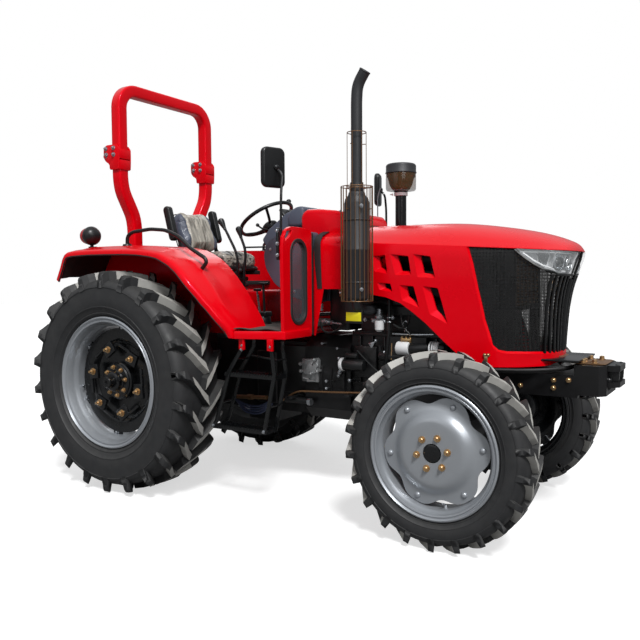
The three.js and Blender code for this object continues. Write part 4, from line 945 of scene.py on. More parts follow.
        def spot(u: float, v: float) -> Point:
            """A point of the surface for its share along and its share across."""
            x = stations[round(u * (len(stations) - 1))]
            half = max(0.004, table(knots, x)) - 0.008
            across = (v - 0.5) * 2
            base = shape.crease(x)
            rise = max(0.0, curve_at(shape.centre_line, x) - base)
            return (x, across * half, base + rise * curve_at(shape.crown, abs(across)))

        form.sheet(len(stations) - 1, 28, spot)
        form.thicken(self.wall)
        return form

    def mesh_panel(self) -> Form:
        """The mesh window, set in behind the skin, from the crease down and round the nose."""
        edge = self.window_side()
        top = self.crease_line(edge[0][0], self.lamp_edge[0][0])[1:]
        outline = edge[:-1] + [(self.shape.end, self.chin_top)] + [(self.shape.end, 1.336)]
        outline += list(reversed(self.lamp_side())) + list(reversed(top))
        form = self.shape.wrap(outline, depth=0.016)
        form.thicken(0.002)
        return form.both_sides()

    def window_frame(self) -> Form:
        """The slanted border between the skin and the mesh."""
        form = Form()
        edge = self.window_side()
        outer = self.shape.line(edge, 0.001)
        inner = self.shape.line([(u + 0.010 if i < 5 else u, v + (0.010 if i > 3 else 0.0))
                                 for i, (u, v) in enumerate(edge[:-1])] + [(edge[-1][0], edge[-1][1] + 0.01)],
                                0.015)
        count = min(len(outer), len(inner))
        rows = [[form.bm.verts.new(p) for p in side[:count]] for side in (outer, inner)]
        for i in range(count - 1):
            form.bm.faces.new((rows[0][i], rows[0][i + 1], rows[1][i + 1], rows[1][i]))
        return form.both_sides()

    def nose_ribs(self) -> Form:
        """The black upright ribs round the nose."""
        form = Form()
        for i in range(self.ribs):
            s = self.rib_first + i * self.rib_gap
            heights = [self.chin_top + 0.004 + (1.326 - self.chin_top) * k / 10 for k in range(11)]
            spots = [self.shape.spot(s, z, 0.008) for z in heights]
            form.tube(spots, 0.0085, 12)
        form.both_sides()
        spine = [self.shape.spot(self.shape.end, self.chin_top + 0.004 + 0.042 * k, 0.010) for k in range(10)]
        form.tube(spine, 0.014, 12)
        return form

    def nose_holes(self) -> Form:
        """The oval holes between the upper ends of the ribs, with the bronze core behind them."""
        form = Form()
        for column in range(self.ribs - 1):
            s = self.rib_first + (column + 0.5) * self.rib_gap
            for row in range(5):
                z = 1.305 - row * 0.040 - (0.020 if column % 2 else 0.0)
                at = Vector(self.shape.spot(s, z, 0.0165))
                way = at - Vector(self.shape.spot(s, z, 0.03))
                turn = way.to_track_quat("Z", "Y").to_matrix().to_4x4()
                bmesh.ops.create_circle(form.bm, cap_ends=True, segments=12, radius=0.0115,
                                        matrix=Matrix.Translation(at) @ turn
                                        @ Matrix.Diagonal((0.8, 1.25, 1, 1)))
        return form.both_sides()

    def seal(self) -> Form:
        """The rubber seal round the hood's rear edge."""
        form = Form()
        shape = self.shape
        rows = []
        side = [(0.3365, 1.244 + 0.03 * k) for k in range(9)]
        top = [(0.335 * (1 - k / 12), None) for k in range(1, 25)]
        for y, z in side:
            rows.append((y, z))
        for y, _ in top[:23]:
            share = abs(y) / 0.335
            rows.append((y, 1.5245 + 0.110 * curve_at(shape.crown, share)))
        for y, z in reversed(side):
            rows.append((-y, z))
        for k, (y, z) in enumerate(rows):
            bow = 0.016 * max(0.0, 1 - ((z - 1.40) / 0.17) ** 2)
            out = 0.004 if abs(y) > 0.33 else 0.0
            sign = 1 if y > 0 else -1
            rows[k] = [(shape.rear - 0.010 - bow, y + sign * out, z + (0.004 if not out else 0)),
                       (shape.rear + 0.014 - bow, y + sign * out, z + (0.004 if not out else 0))]
        verts = [[form.bm.verts.new(p) for p in row] for row in rows]
        for one, two in zip(verts, verts[1:]):
            form.bm.faces.new((one[0], one[1], two[1], two[0]))
        form.thicken(0.012)
        return form

    def latch(self) -> Form:
        """The brass catch below the window's rear corner."""
        form = Form()
        for s in (1.185, 1.213):
            form.bolt(self.shape.spot(s, 0.925, -0.001), self.out(s, 0.925), 0.012)
        at = Vector(self.shape.spot(1.199, 0.902, -0.004))
        form.block(at - Vector((0.009, 0.005, 0.022)), at + Vector((0.009, 0.005, 0.016)), 0.002)
        form.block(at - Vector((0.013, 0.007, 0.026)), at + Vector((0.013, 0.007, -0.018)), 0.002)
        return form.both_sides()

    def out(self, s: float, z: float) -> Vector:
        """The way out of the surface at a spot."""
        return (Vector(self.shape.spot(s, z)) - Vector(self.shape.spot(s, z, 0.02))).normalized()

    def build(self, shop: Workshop) -> None:
        """Makes the hood's panels and fittings."""
        shop.piece("hood_skin", self.skin(), Finishes.red, "hood", "red_paint", 32.0, ["hood"],
                   round_by=0.002)
        shop.piece("hood_crown", self.crown(), Finishes.red, "hood", "red_paint", 45.0, subdivide=1)
        shop.piece("hood_vents", self.funnels(), Finishes.red, "hood", "red_paint", 30.0)
        shop.piece("window_border", self.window_frame(), Finishes.red, "hood", "red_paint", 40.0)
        shop.piece("mesh_windows", self.mesh_panel(), Finishes.mesh, "hood", "mesh_black", 40.0, ["grille"])
        shop.piece("nose_ribs", self.nose_ribs(), Finishes.black, "hood", "mesh_black", 40.0)
        shop.piece("nose_holes", self.nose_holes(), Finishes.fins, "hood", "mesh_black", 40.0)
        shop.piece("hood_seal", self.seal(), Finishes.rubber, "hood", "rubber", 40.0)
        shop.piece("hood_latches", self.latch(), Finishes.zinc, "hood", "zinc_steel", 30.0)


@dataclass
class Headlamps:
    """Sharp wrap-round headlamps: chrome housings painted off-white as their reflection, a projector, and a
    clear cover.
    """

    hood: Hood = field(default_factory=Hood)
    deep: float = 0.060

    def outline(self, inset: float = 0.0) -> list[Point]:
        """The lamp's edge in length and height, drawn in by a little."""
        low = self.hood.lamp_side()
        start, stop = low[0][0], low[-1][0]
        top = self.hood.crease_line(start, stop, 0.05)
        loop = [(u, v + inset) for u, v in low] + [(u, v - 0.001 - inset) for u, v in reversed(top)]
        return [(min(max(u, start + inset * 3), stop - inset), v) for u, v in loop]

    def cover(self) -> Form:
        """The clear cover, just inside the crease."""
        return self.hood.shape.wrap(self.outline(0.002), depth=0.001, step=0.02).both_sides()

    def housing(self) -> Form:
        """The plated tray behind the cover, with its upright walls, painted off-white as its reflection."""
        shape = self.hood.shape
        form = shape.wrap(self.outline(0.006), depth=self.deep, step=0.02)
        wall = self.outline(0.004)
        rows = []
        for depth in (0.005, 0.022, 0.040, self.deep):
            rows.append([form.bm.verts.new(shape.spot(u, v, depth)) for u, v in wall])
        for one, two in zip(rows, rows[1:]):
            for i in range(len(wall)):
                j = (i + 1) % len(wall)
                form.bm.faces.new((one[i], one[j], two[j], two[i]))
        for s in (1.415, 1.455, 1.515, 1.610, 1.665):
            self.fin(form, s)
        return form.both_sides()

    def fin(self, form: Form, s: float) -> None:
        """A plated wall that divides the lamp's chambers."""
        shape = self.hood.shape
        low = table(self.hood.lamp_side(), s) + 0.006
        high = self.hood.crease_height(s) - 0.006
        corners = [shape.spot(s, low, 0.014), shape.spot(s, high, 0.014),
                   shape.spot(s + 0.012, high, self.deep), shape.spot(s + 0.012, low, self.deep)]
        form.bm.faces.new([form.bm.verts.new(c) for c in corners])

    def bowls(self) -> Form:
        """Turned reflector bowls in each chamber."""
        form = Form()
        shape = self.hood.shape
        for s, z, radius in ((1.568, 1.398, 0.040), (1.690, 1.392, 0.040)):
            at = Vector(shape.spot(s, z, 0.050))
            way = self.hood.out(s, z)
            form.lathe([(radius, 0.030), (radius * 0.96, 0.024), (radius * 0.85, 0.010), (radius * 0.6, 0.0),
                        (0, -0.006)], at, way, 28)
            form.ring(at + way * 0.030, way, radius, 0.003, 28, 6)
        return form.both_sides()

    def dark_parts(self) -> Form:
        """The projector's dark eye, the dark triangle, and the black lower border."""
        form = Form()
        shape = self.hood.shape
        for s, z, radius in ((1.568, 1.396, 0.024), (1.690, 1.392, 0.022)):
            form.ball(shape.spot(s, z, 0.040), radius, sides=20)
        triangle = [(1.408, 1.440), (1.475, 1.436), (1.466, 1.385)]
        rows = [[form.bm.verts.new(shape.spot(u, v, depth)) for u, v in triangle] for depth in (0.016, 0.052)]
        form.bm.faces.new(rows[0])
        for i in range(3):
            j = (i + 1) % 3
            form.bm.faces.new((rows[0][i], rows[0][j], rows[1][j], rows[1][i]))
        low = self.hood.lamp_side()
        form.tube(shape.line([(u, v - 0.003) for u, v in low], 0.004), 0.0055, 8)
        stop = low[-1][0]
        form.tube(shape.line([(stop + 0.004, 1.338), (stop + 0.004, 1.452)], 0.004), 0.007, 8)
        return form.both_sides()

    def light_guides(self) -> Form:
        """The white day-lamp bars just inside the cover."""
        form = Form()
        shape = self.hood.shape
        low = self.hood.lamp_side()
        form.tube(shape.line([(u, v + 0.014) for u, v in low[1:]], 0.020), 0.005, 8)
        form.tube(shape.line([(1.33, 1.452), (1.52, 1.444), (1.70, 1.440)], 0.022), 0.004, 8)
        return form.both_sides()

    def build(self, shop: Workshop) -> None:
        """Makes both lamps."""
        shop.piece("headlamp_covers", self.cover(), Finishes.lens, "hood", "lamp_clear", 40.0,
                   ["headlight_right", "headlight_left"])
        # The housings' plating is shown by off-white as painted reflection.
        shop.piece("headlamp_housings", self.housing(), Finishes.pale, "hood", "lamp_clear", 30.0)
        shop.piece("headlamp_bowls", self.bowls(), Finishes.chrome, "hood", "lamp_clear", 40.0)
        shop.piece("headlamp_dark_parts", self.dark_parts(), Finishes.plastic, "hood", "black_plastic", 40.0)
        shop.piece("headlamp_guides", self.light_guides(), Finishes.pale, "hood", "lamp_clear", 40.0)


# ------------------------------------------------------------------ engine, lines, steps, front hitch


@dataclass
class Steps:
    """The boarding steps: flat-bar rails and two serrated treads each side."""

    outer: float = -0.717
    inner: float = -0.607
    front: tuple = ((0.084, 0.975), (0.085, 0.935), (0.104, 0.800), (0.098, 0.765), (0.030, 0.458))
    rear: tuple = ((-0.112, 0.975), (-0.122, 0.925), (-0.217, 0.790), (-0.240, 0.710), (-0.312, 0.500),
                   (-0.340, 0.458))
    treads: tuple = ((-0.248, 0.104, 0.790), (-0.338, 0.040, 0.478))

    @staticmethod
    def bar(form: Form, points: Sequence[Point], width: float, low: float, high: float) -> None:
        """Adds a flat bar that follows points in side view."""
        line = [Vector(p) for p in points]
        sides = ([], [])
        for i, p in enumerate(line):
            run = (line[min(i + 1, len(line) - 1)] - line[max(0, i - 1)]).normalized()
            out = Vector((-run.y, run.x)) * width / 2
            sides[0].append(tuple(p + out))
            sides[1].append(tuple(p - out))
        form.plate(sides[0] + sides[1][::-1], Plane.SIDE, low, high, 0.0015)

    def rails(self) -> Form:
        """The four flat bars."""
        form = Form()
        for y in (self.outer, self.inner):
            for points in (self.front, self.rear):
                self.bar(form, points, 0.024, y - 0.004, y + 0.004)
        self.bar(form, ((-0.150, 0.880), (0.060, 0.860)), 0.012, self.inner, self.inner + 0.006)
        for x, z in ((0.094, 0.870), (-0.165, 0.862), (0.064, 0.610), (-0.275, 0.610)):
            form.rod((x, self.outer, z), (x, self.inner, z), 0.006, sides=10)
        return form

    def tread_plates(self) -> Form:
        """Serrated edges, cross bars and the tread's flanges."""
        form = Form()
        for start, stop, top in self.treads:
            count = int((stop - start) / 0.018)
            teeth = []
            for i in range(count):
                x = start + (stop - start) * i / count
                teeth += [(x, top - 0.007), (x + 0.006, top), (x + 0.012, top)]
            outline = teeth + [(stop, top - 0.007), (stop, top - 0.026), (start, top - 0.026)]
            for y in (self.outer + 0.002, self.inner - 0.006):
                form.plate(outline, Plane.SIDE, y, y + 0.004)
            for i in range(count):
                x = start + (stop - start) * (i + 0.5) / count
                form.block((x - 0.003, self.outer, top - 0.012), (x + 0.003, self.inner, top - 0.002))
            form.block((start, self.outer, top - 0.026), (start + 0.005, self.inner, top - 0.004))
            form.block((stop - 0.005, self.outer, top - 0.026), (stop, self.inner, top - 0.004))
            for x in (start + 0.06, (start + stop) / 2, stop - 0.06):
                form.rod((x, self.outer, top - 0.014), (x, self.inner, top - 0.014), 0.004, sides=8)
        return form

    def bolts(self) -> Form:
        """Bright bolts at the rails' upper ends."""
        form = Form()
        for x, z in ((0.084, 0.948), (-0.112, 0.948), (-0.118, 0.925), (0.030, 0.470), (-0.334, 0.470)):
            form.bolt((x, self.outer - 0.005, z), (0, -1, 0), 0.013)
        return form

    def build(self, shop: Workshop) -> None:
        """Makes both steps."""
        for side in SIDES:
            for name, form, finish, slot, stands in (
                    ("step_rails", self.rails(), Finishes.black, "black_paint", [f"boarding_step_{side}"]),
                    ("step_treads", self.tread_plates(), Finishes.black, "black_paint", []),
                    ("step_bolts", self.bolts(), Finishes.steel, "zinc_steel", [])):
                if side == "left":
                    form.mirrored()
                shop.piece(f"{name}_{side}", form, finish, "chassis", slot, 35.0, stands)


@dataclass
class Engine:
    """What shows of the engine and its lines between the step and the front wheel."""

    face: float = -0.196
    line: float = -0.250
    crank: Point = (0.170, 0, 0.705)
    bell_front: float = 0.100
    bell_bolts: int = 14
    bell_ring: float = 0.218
    ribs: tuple = (0.36, 0.44, 0.52, 0.60, 0.68, 0.76, 0.84)
    injectors: tuple = (0.50, 0.55, 0.60, 0.65)
    cylinders: tuple = (0.40, 0.53, 0.66, 0.79)
    core_rear: float = 1.242
    core_front: float = 1.278
    core_half: float = 0.220
    core_low: float = 1.172
    core_high: float = 1.470
    core_fins: int = 15
    fin_pitch: float = 0.0195

    def castings(self) -> Form:
        """Ribs, bell rings, covers and the pan's flange on the castings."""
        form = Form()
        form.lathe([(0.19, -0.030), (0.226, -0.020), (0.232, -0.012), (0.232, 0.008), (0.222, 0.014),
                    (0.222, 0.060), (0.230, 0.064), (0.230, 0.074), (0.222, 0.078), (0.222, 0.140),
                    (0.233, 0.146), (0.233, 0.166), (0.19, 0.180)],
                   (self.bell_front, 0, self.crank[2]), (1, 0, 0), 64)
        for k in range(self.bell_bolts):
            angle = math.tau * k / self.bell_bolts
            up = Vector((0, math.cos(angle), math.sin(angle)))
            spot = Vector(self.crank) + up * self.bell_ring
            turn = Matrix.Rotation(angle, 4, "X")
            size = Vector((0.030, 0.012, 0.004))
            form.block(spot - size, spot + size, 0.002, 1, turn)
        for x in self.ribs:
            form.block((x - 0.006, self.face - 0.012, 0.700), (x + 0.006, self.face + 0.01, 0.985), 0.003)
        form.block((0.31, self.face - 0.014, 0.690), (0.91, self.face + 0.01, 0.712), 0.004)
        form.block((0.31, self.face - 0.016, 0.985), (0.91, self.face + 0.01, 1.004), 0.004)
        form.block((0.33, -0.150, 0.500), (0.90, 0.150, 0.560), 0.015, 3)
        form.block((0.32, -0.212, 0.735), (0.47, self.face, 0.925), 0.012, 3)
        form.block((0.78, -0.225, 0.760), (0.90, self.face, 0.960), 0.015, 3)
        form.rod((0.50, -0.222, 0.875), (0.66, -0.222, 0.875), 0.030, sides=24, round_by=0.006)
        for x in self.injectors:
            form.rod((x, -0.222, 0.875), (x, -0.222, 0.930), 0.012, sides=14)
        form.block((-0.230, -0.178, 0.600), (-0.020, -0.160, 0.905), 0.010, 3)
        form.block((-0.42, -0.180, 0.520), (-0.26, -0.160, 0.860), 0.012, 3)
        return form.both_sides()

    def head_cover(self) -> Form:
        """Rocker cover, manifold and air cleaner under the hood."""
        form = Form()
        form.block((0.34, -0.105, 1.325), (0.88, 0.105, 1.375), 0.020, 4)
        for x in self.cylinders:
            form.rod((x, -0.205, 1.195), (x, -0.120, 1.195), 0.026, sides=18)
            form.rod((x, 0.205, 1.195), (x, 0.120, 1.195), 0.024, sides=18)
        form.rod((0.36, -0.205, 1.190), (0.84, -0.205, 1.190), 0.032, sides=24, round_by=0.008)
        form.rod((0.36, 0.205, 1.190), (0.84, 0.205, 1.190), 0.030, sides=24, round_by=0.008)
        form.lathe([(0, 0), (0.105, 0.0), (0.118, 0.012), (0.118, 0.40), (0.112, 0.404), (0.112, 0.412),
                    (0.118, 0.416), (0.118, 0.47), (0.105, 0.482), (0, 0.482)],
                   (0.500, 0.0, 1.478), (1, 0, 0), 40)
        form.hose([(0.50, 0.04, 1.47), (0.40, 0.20, 1.50), (0.330, 0.400, 1.44)], 0.035, 0.08, 18)
        fan = [(0, 0), (0.05, 0.0), (0.05, 0.02), (0.19, 0.03), (0.19, 0.034), (0.05, 0.036), (0, 0.036)]
        form.lathe(fan, (0.955, 0, 1.10), (1, 0, 0), 40)
        form.block((1.05, -0.235, 1.085), (1.16, 0.235, 1.530), 0.012, 3)
        return form

    def core(self) -> Form:
        """The cooler's finned core behind the nose window."""
        form = Form()
        half = self.core_half - 0.008
        form.block((self.core_rear, -self.core_half, self.core_low),
                   (self.core_front, self.core_half, self.core_high), 0.004)
        for k in range(self.core_fins):
            z = self.core_low + 0.008 + k * self.fin_pitch
            form.block((self.core_front - 0.002, -half, z), (self.core_front + 0.005, half, z + 0.006))
        return form

    def core_frame(self) -> Form:
        """The cooler's black frame, its stays and the nose's dark lining."""
        form = Form()
        bar = 0.012
        rear, front = self.core_rear - 0.008, self.core_front + 0.010
        post, half = self.core_half + bar, self.core_half + 2 * bar
        for y in (-post, post):
            form.block((rear, y - bar, 0.900), (front, y + bar, self.core_high + 0.015), 0.003)
        for z in (self.core_low - bar, self.core_high + bar):
            form.block((rear, -half, z - bar), (front, half, z + bar), 0.003)
        form.block((1.180, -0.240, 0.905), (1.186, 0.240, 1.500), 0.002)
        form.block((1.19, -0.20, 0.895), (1.60, 0.20, 0.905), 0.002)
        return form

    def black_parts(self) -> Form:
        """Starter, canister cap, dark hoses and the sleeve of the front drive shaft."""
        form = Form()
        y = self.line
        form.rod((0.270, y - 0.010, 0.815), (0.420, y - 0.010, 0.815), 0.034, sides=24, round_by=0.005)
        form.rod((0.292, y - 0.004, 0.868), (0.372, y - 0.004, 0.868), 0.020, sides=18, round_by=0.004)
        form.rod((0.704, y, 0.928), (0.815, y, 0.934), 0.030, sides=24, round_by=0.004)
        form.rod((0.860, y, 0.936), (0.915, y, 0.936), 0.028, sides=20, round_by=0.004)
        form.hose([(0.574, y, 1.200), (0.574, y, 1.050), (0.553, y, 0.846), (0.530, y + 0.02, 0.760)],
                  0.0125, 0.10)
        form.hose([(0.112, y, 1.060), (0.128, y, 1.005), (0.178, y, 0.996), (0.235, y, 1.016),
                   (0.262, y, 1.050)], 0.006, 0.04)
        form.hose([(0.122, y, 1.170), (0.126, y, 1.262)], 0.005)
        form.hose([(0.365, y, 0.900), (0.440, y, 0.830), (0.520, y, 0.770), (0.560, y, 0.740)], 0.006, 0.06)
        form.hose([(0.600, y, 1.060), (0.650, y, 1.035), (0.690, y, 1.060), (0.700, y, 1.120)], 0.007, 0.03)
        form.hose([(0.640, y + 0.01, 1.120), (0.655, y, 1.050), (0.700, y, 1.010)], 0.005, 0.03)
        form.rod((-0.140, y, 0.570), (0.040, y, 0.571), 0.020, 0.017, 20)
        form.rod((-0.60, -0.02, 0.565), (0.95, -0.02, 0.545), 0.034, sides=24)
        form.block((-0.10, -0.305, 0.585), (-0.06, -0.165, 0.600), 0.002)
        form.block((0.30, -0.305, 0.628), (0.34, -0.190, 0.640), 0.002)
        form.block((0.386, -0.421, 1.070), (0.497, -0.4265, 1.205), 0.002)
        form.block((0.150, -0.210, 1.010), (0.292, 0.210, 1.345), 0.020, 3)
        form.block((0.386, -0.4265, 1.185), (0.497, -0.200, 1.200), 0.002)
        return form

    def pale_parts(self) -> Form:
        """Light canister, clamps and the starter's ring."""
        form = Form()
        y = self.line
        form.rod((0.625, y, 0.928), (0.702, y, 0.928), 0.0375, sides=32, round_by=0.006)
        form.rod((0.262, y - 0.010, 0.815), (0.282, y - 0.010, 0.815), 0.040, sides=32, round_by=0.003)
        for x in (0.830, 0.846):
            form.ring((x, y, 0.935), (1, 0, 0), 0.034, 0.005, 32, 8)
        form.rod((0.852, y, 0.936), (0.880, y, 0.936), 0.036, sides=28, round_by=0.004)
        form.lathe([(0, 1.016), (0.014, 1.016), (0.026, 1.028), (0.028, 1.070), (0.028, 1.080), (0, 1.080)],
                   (0.510, y, 0), (0, 0, 1), 32)
        return form

    def bright_parts(self) -> Form:
        """Plated fittings, clamps, banjo unions and lone bolt heads."""
        form = Form()
        y = self.line
        form.rod((0.128, y, 1.066), (0.200, y, 1.058), 0.009, sides=14)
        form.rod((0.200, y, 1.058), (0.262, y, 1.052), 0.006, sides=12)
        for x, z in ((0.135, 1.066), (0.150, 1.070), (0.166, 1.060), (0.196, 1.058)):
            form.rod((x - 0.006, y, z), (x + 0.006, y, z), 0.014, sides=6)
        form.rod((0.122, y, 1.128), (0.122, y, 1.172), 0.008, sides=12)
        for z in (1.132, 1.150, 1.168):
            form.rod((0.122, y, z - 0.004), (0.122, y, z + 0.004), 0.012, sides=6)
        for z in (1.098, 1.074):
            form.ring((0.5755, y, z), (0, 0, 1), 0.0145, 0.003, 24, 6)
        form.block((0.462, y - 0.012, 1.083), (0.545, y + 0.02, 1.089), 0.002)
        form.lathe([(0, 1.092), (0.026, 1.092), (0.028, 1.106), (0.018, 1.118), (0.016, 1.146), (0, 1.148)],
                   (0.510, y, 0), (0, 0, 1), 28)
        form.hose([(0.590, y + 0.01, 1.006), (0.700, y + 0.01, 1.004), (0.840, y + 0.01, 1.010)], 0.005, 0.05)
        form.hose([(0.655, y, 1.060), (0.672, y, 1.085), (0.690, y, 1.070), (0.668, y, 1.020)], 0.003, 0.02)
        form.rod((0.030, y - 0.012, 0.570), (0.052, y - 0.012, 0.572), 0.022, sides=18)
        form.plate([(0.440, 0.946), (0.484, 0.958), (0.466, 0.918), (0.452, 0.928)], Plane.SIDE, y - 0.006,
                   y + 0.004, 0.002)
        for x, z, size in ((0.468, 1.076, 0.012), (0.541, 1.076, 0.012), (0.592, 1.098, 0.013),
                           (0.416, 1.082, 0.014), (0.413, 1.134, 0.010), (0.484, 0.962, 0.012),
                           (0.237, 0.846, 0.012), (0.234, 0.742, 0.012), (0.149, 0.703, 0.012),
                           (0.149, 0.660, 0.012), (0.310, 0.720, 0.013), (0.243, 0.764, 0.016),
                           (0.226, 0.905, 0.010), (0.120, 0.930, 0.010), (0.405, 0.815, 0.014),
                           (0.395, 0.790, 0.010),
                           (0.385, 0.835, 0.010), (0.620, 0.760, 0.012), (0.540, 0.900, 0.010)):
            form.bolt((x, y + 0.004, z), (0, -1, 0), size)
            form.rod((x, y + 0.004, z), (x, y + 0.060, z), size * 0.35, sides=8)
        return form

    def alloy_bracket(self) -> Form:
        """The shift linkage's cast bracket by the step, with its bolts."""
        form = Form()
        y = self.line
        form.plate([(-0.010, 0.740), (0.030, 0.736), (0.040, 0.752), (0.062, 0.738), (0.088, 0.752),
                    (0.080, 0.776), (0.096, 0.792), (0.078, 0.806), (0.056, 0.790), (0.044, 0.812),
                    (0.012, 0.800), (0.006, 0.770),
                    (-0.022, 0.760)], Plane.SIDE, y - 0.004, y + 0.010, 0.003)
        for x, z in ((-0.024, 0.756), (-0.026, 0.800), (0.074, 0.829), (0.094, 0.760), (0.050, 0.745)):
            form.rod((x, y - 0.012, z), (x, y + 0.070, z), 0.009, sides=14)
            form.bolt((x, y - 0.012, z), (0, -1, 0), 0.015)
        form.rod((-0.012, y, 0.712), (0.030, y, 0.706), 0.006, sides=10)
        form.rod((0.020, y - 0.006, 0.696), (0.072, y - 0.006, 0.700), 0.006, sides=10)
        form.block((-0.03, y + 0.008, 0.690), (0.09, y + 0.090, 0.830), 0.006)
        return form

    def brass_parts(self) -> Form:
        """Golden unions and the small drain rod."""
        form = Form()
        y = self.line
        form.rod((0.586, y + 0.004, 0.858), (0.588, y + 0.004, 0.952), 0.0055, sides=12)
        form.block((0.648, y - 0.012, 0.968), (0.712, y + 0.012, 0.984), 0.003)
        for x in (0.655, 0.680, 0.705):
            form.rod((x, y - 0.004, 0.962), (x, y - 0.004, 0.994), 0.007, sides=6)
        form.plate([(0.246, 1.215), (0.262, 1.215), (0.268, 1.262), (0.242, 1.262)], Plane.SIDE, y,
                   y + 0.012, 0.002)
        return form

    def brown_lines(self) -> Form:
        """The brown steel line along the chassis and the oiled shaft behind the step."""
        form = Form()
        y = self.line
        form.hose([(-0.175, y, 0.556), (-0.062, y, 0.628), (0.200, y, 0.640), (0.420, y, 0.654),
                   (0.640, y, 0.660)], 0.006, 0.05)
        form.rod((-0.560, y, 0.553), (-0.290, y, 0.567), 0.013, sides=16)
        form.rod((-0.440, y, 0.560), (-0.400, y, 0.562), 0.018, sides=16)
        return form

    def coils(self) -> Form:
        """The blue-grey hose loops under the floor."""
        form = Form()
        for k in range(4):
            sag = 0.016 * k
            form.hose([(-0.560, self.line + 0.01 * k, 0.540 - sag * 0.3), (-0.480, self.line, 0.512 - sag),
                       (-0.400, self.line, 0.500 - sag), (-0.330, self.line, 0.512 - sag),
                       (-0.270, self.line + 0.01 * k, 0.545 - sag * 0.4)], 0.0065, 0.07)
        return form

    def build(self, shop: Workshop) -> None:
        """Makes every engine-side piece."""
        for name, form, finish, slot, smooth in (
                ("engine_castings", self.castings(), Finishes.cast, "black_paint", 35.0),
                ("under_hood_parts", self.head_cover(), Finishes.cast, "black_paint", 40.0),
                ("cooler_core", self.core(), Finishes.fins, "muffler_grey", 30.0),
                ("cooler_frame", self.core_frame(), Finishes.black, "black_paint", 30.0),
                ("starter_and_hoses", self.black_parts(), Finishes.plastic, "black_plastic", 40.0),
                ("pale_canister", self.pale_parts(), Finishes.pale, "zinc_steel", 40.0),
                ("plated_fittings", self.bright_parts(), Finishes.steel, "zinc_steel", 35.0),
                ("linkage_bracket", self.alloy_bracket(), Finishes.alloy, "zinc_steel", 35.0),
                ("golden_unions", self.brass_parts(), Finishes.zinc, "zinc_steel", 35.0),
                ("brown_lines", self.brown_lines(), Finishes.bronze, "muffler_grey", 40.0),
                ("hose_loops", self.coils(), Finishes.hose, "rubber", 40.0)):
            shop.piece(name, form, finish, "chassis", slot, smooth)


@dataclass
class FrontHitch:
    """The weight carrier and tow jaw on the front support, and the strip under the nose."""

    def worn_top(self) -> Form:
        """The brown worn plate on top of the tow block and the sloping nose plate."""
        form = Form()
        form.plate([(1.575, 0.879), (1.690, 0.879), (1.714, 0.883), (1.690, 0.886), (1.575, 0.886)],
                   Plane.SIDE, -0.120, 0.120, 0.001)
        form.plate([(1.470, 0.905), (1.560, 0.874), (1.640, 0.889), (1.640, 0.894), (1.560, 0.880),
                    (1.472, 0.912)],
                   Plane.SIDE, -0.075, 0.075, 0.002)
        return form

    def bolts(self) -> Form:
        """Passivated bolts on the plates and the support's side."""
        form = Form()
        for x, y in ((1.600, -0.096), (1.655, -0.096), (1.600, 0.096), (1.655, 0.096), (1.600, -0.050)):
            form.bolt((x, y, 0.886), (0, 0, 1), 0.024)
        for x, z in ((1.30, 0.755), (1.47, 0.755), (1.47, 0.795), (1.20, 0.745), (1.545, 0.800)):
            form.bolt((x, -0.168, z), (0, -1, 0), 0.018)
            form.bolt((x, 0.168, z), (0, 1, 0), 0.018)
        return form

    def strip(self) -> Form:
        """The black rubber-edged strip that follows the chin."""
        form = Form()
        path = [(1.060, -0.330, 0.845), (1.220, -0.322, 0.850), (1.360, -0.295, 0.853),
                (1.460, -0.250, 0.858),
                (1.520, -0.190, 0.862), (1.548, -0.120, 0.864), (1.556, 0.0, 0.865)]
        for x, y, z in path[::-1][1:]:
            path.append((x, -y, z))
        form.tube(eased(path, 0.04, 5), 0.008, 10)
        form.tube([(x - 0.012, y * 0.97, z - 0.012) for x, y, z in path], 0.006, 8)
        return form

    def jaws(self) -> Form:
        """The two upward-tilted cheek plates of the tow jaw, and its pin."""
        form = Form()
        for y in (-0.060, 0.060):
            form.plate([(1.650, 0.735), (1.700, 0.722), (1.768, 0.800), (1.772, 0.878), (1.752, 0.884),
                        (1.706, 0.838),
                        (1.650, 0.838)], Plane.SIDE, y - 0.010, y + 0.010, 0.003)
        form.rod((1.722, -0.080, 0.800), (1.722, 0.080, 0.800), 0.014, sides=18)
        form.ball((1.722, -0.082, 0.800), 0.020, sides=16)
        return form

    def build(self, shop: Workshop) -> None:
        """Makes the hitch's pieces."""
        shop.piece("worn_tow_plate", self.worn_top(), Finishes.bronze, "chassis", "muffler_grey", 30.0)
        shop.piece("tow_bolts", self.bolts(), Finishes.zinc, "chassis", "zinc_steel", 30.0)
        shop.piece("chin_strip", self.strip(), Finishes.rubber, "chassis", "rubber", 40.0)
        shop.piece("tow_jaw_cheeks", self.jaws(), Finishes.black, "chassis", "black_paint", 30.0)


# ------------------------------------------------------------------ seat


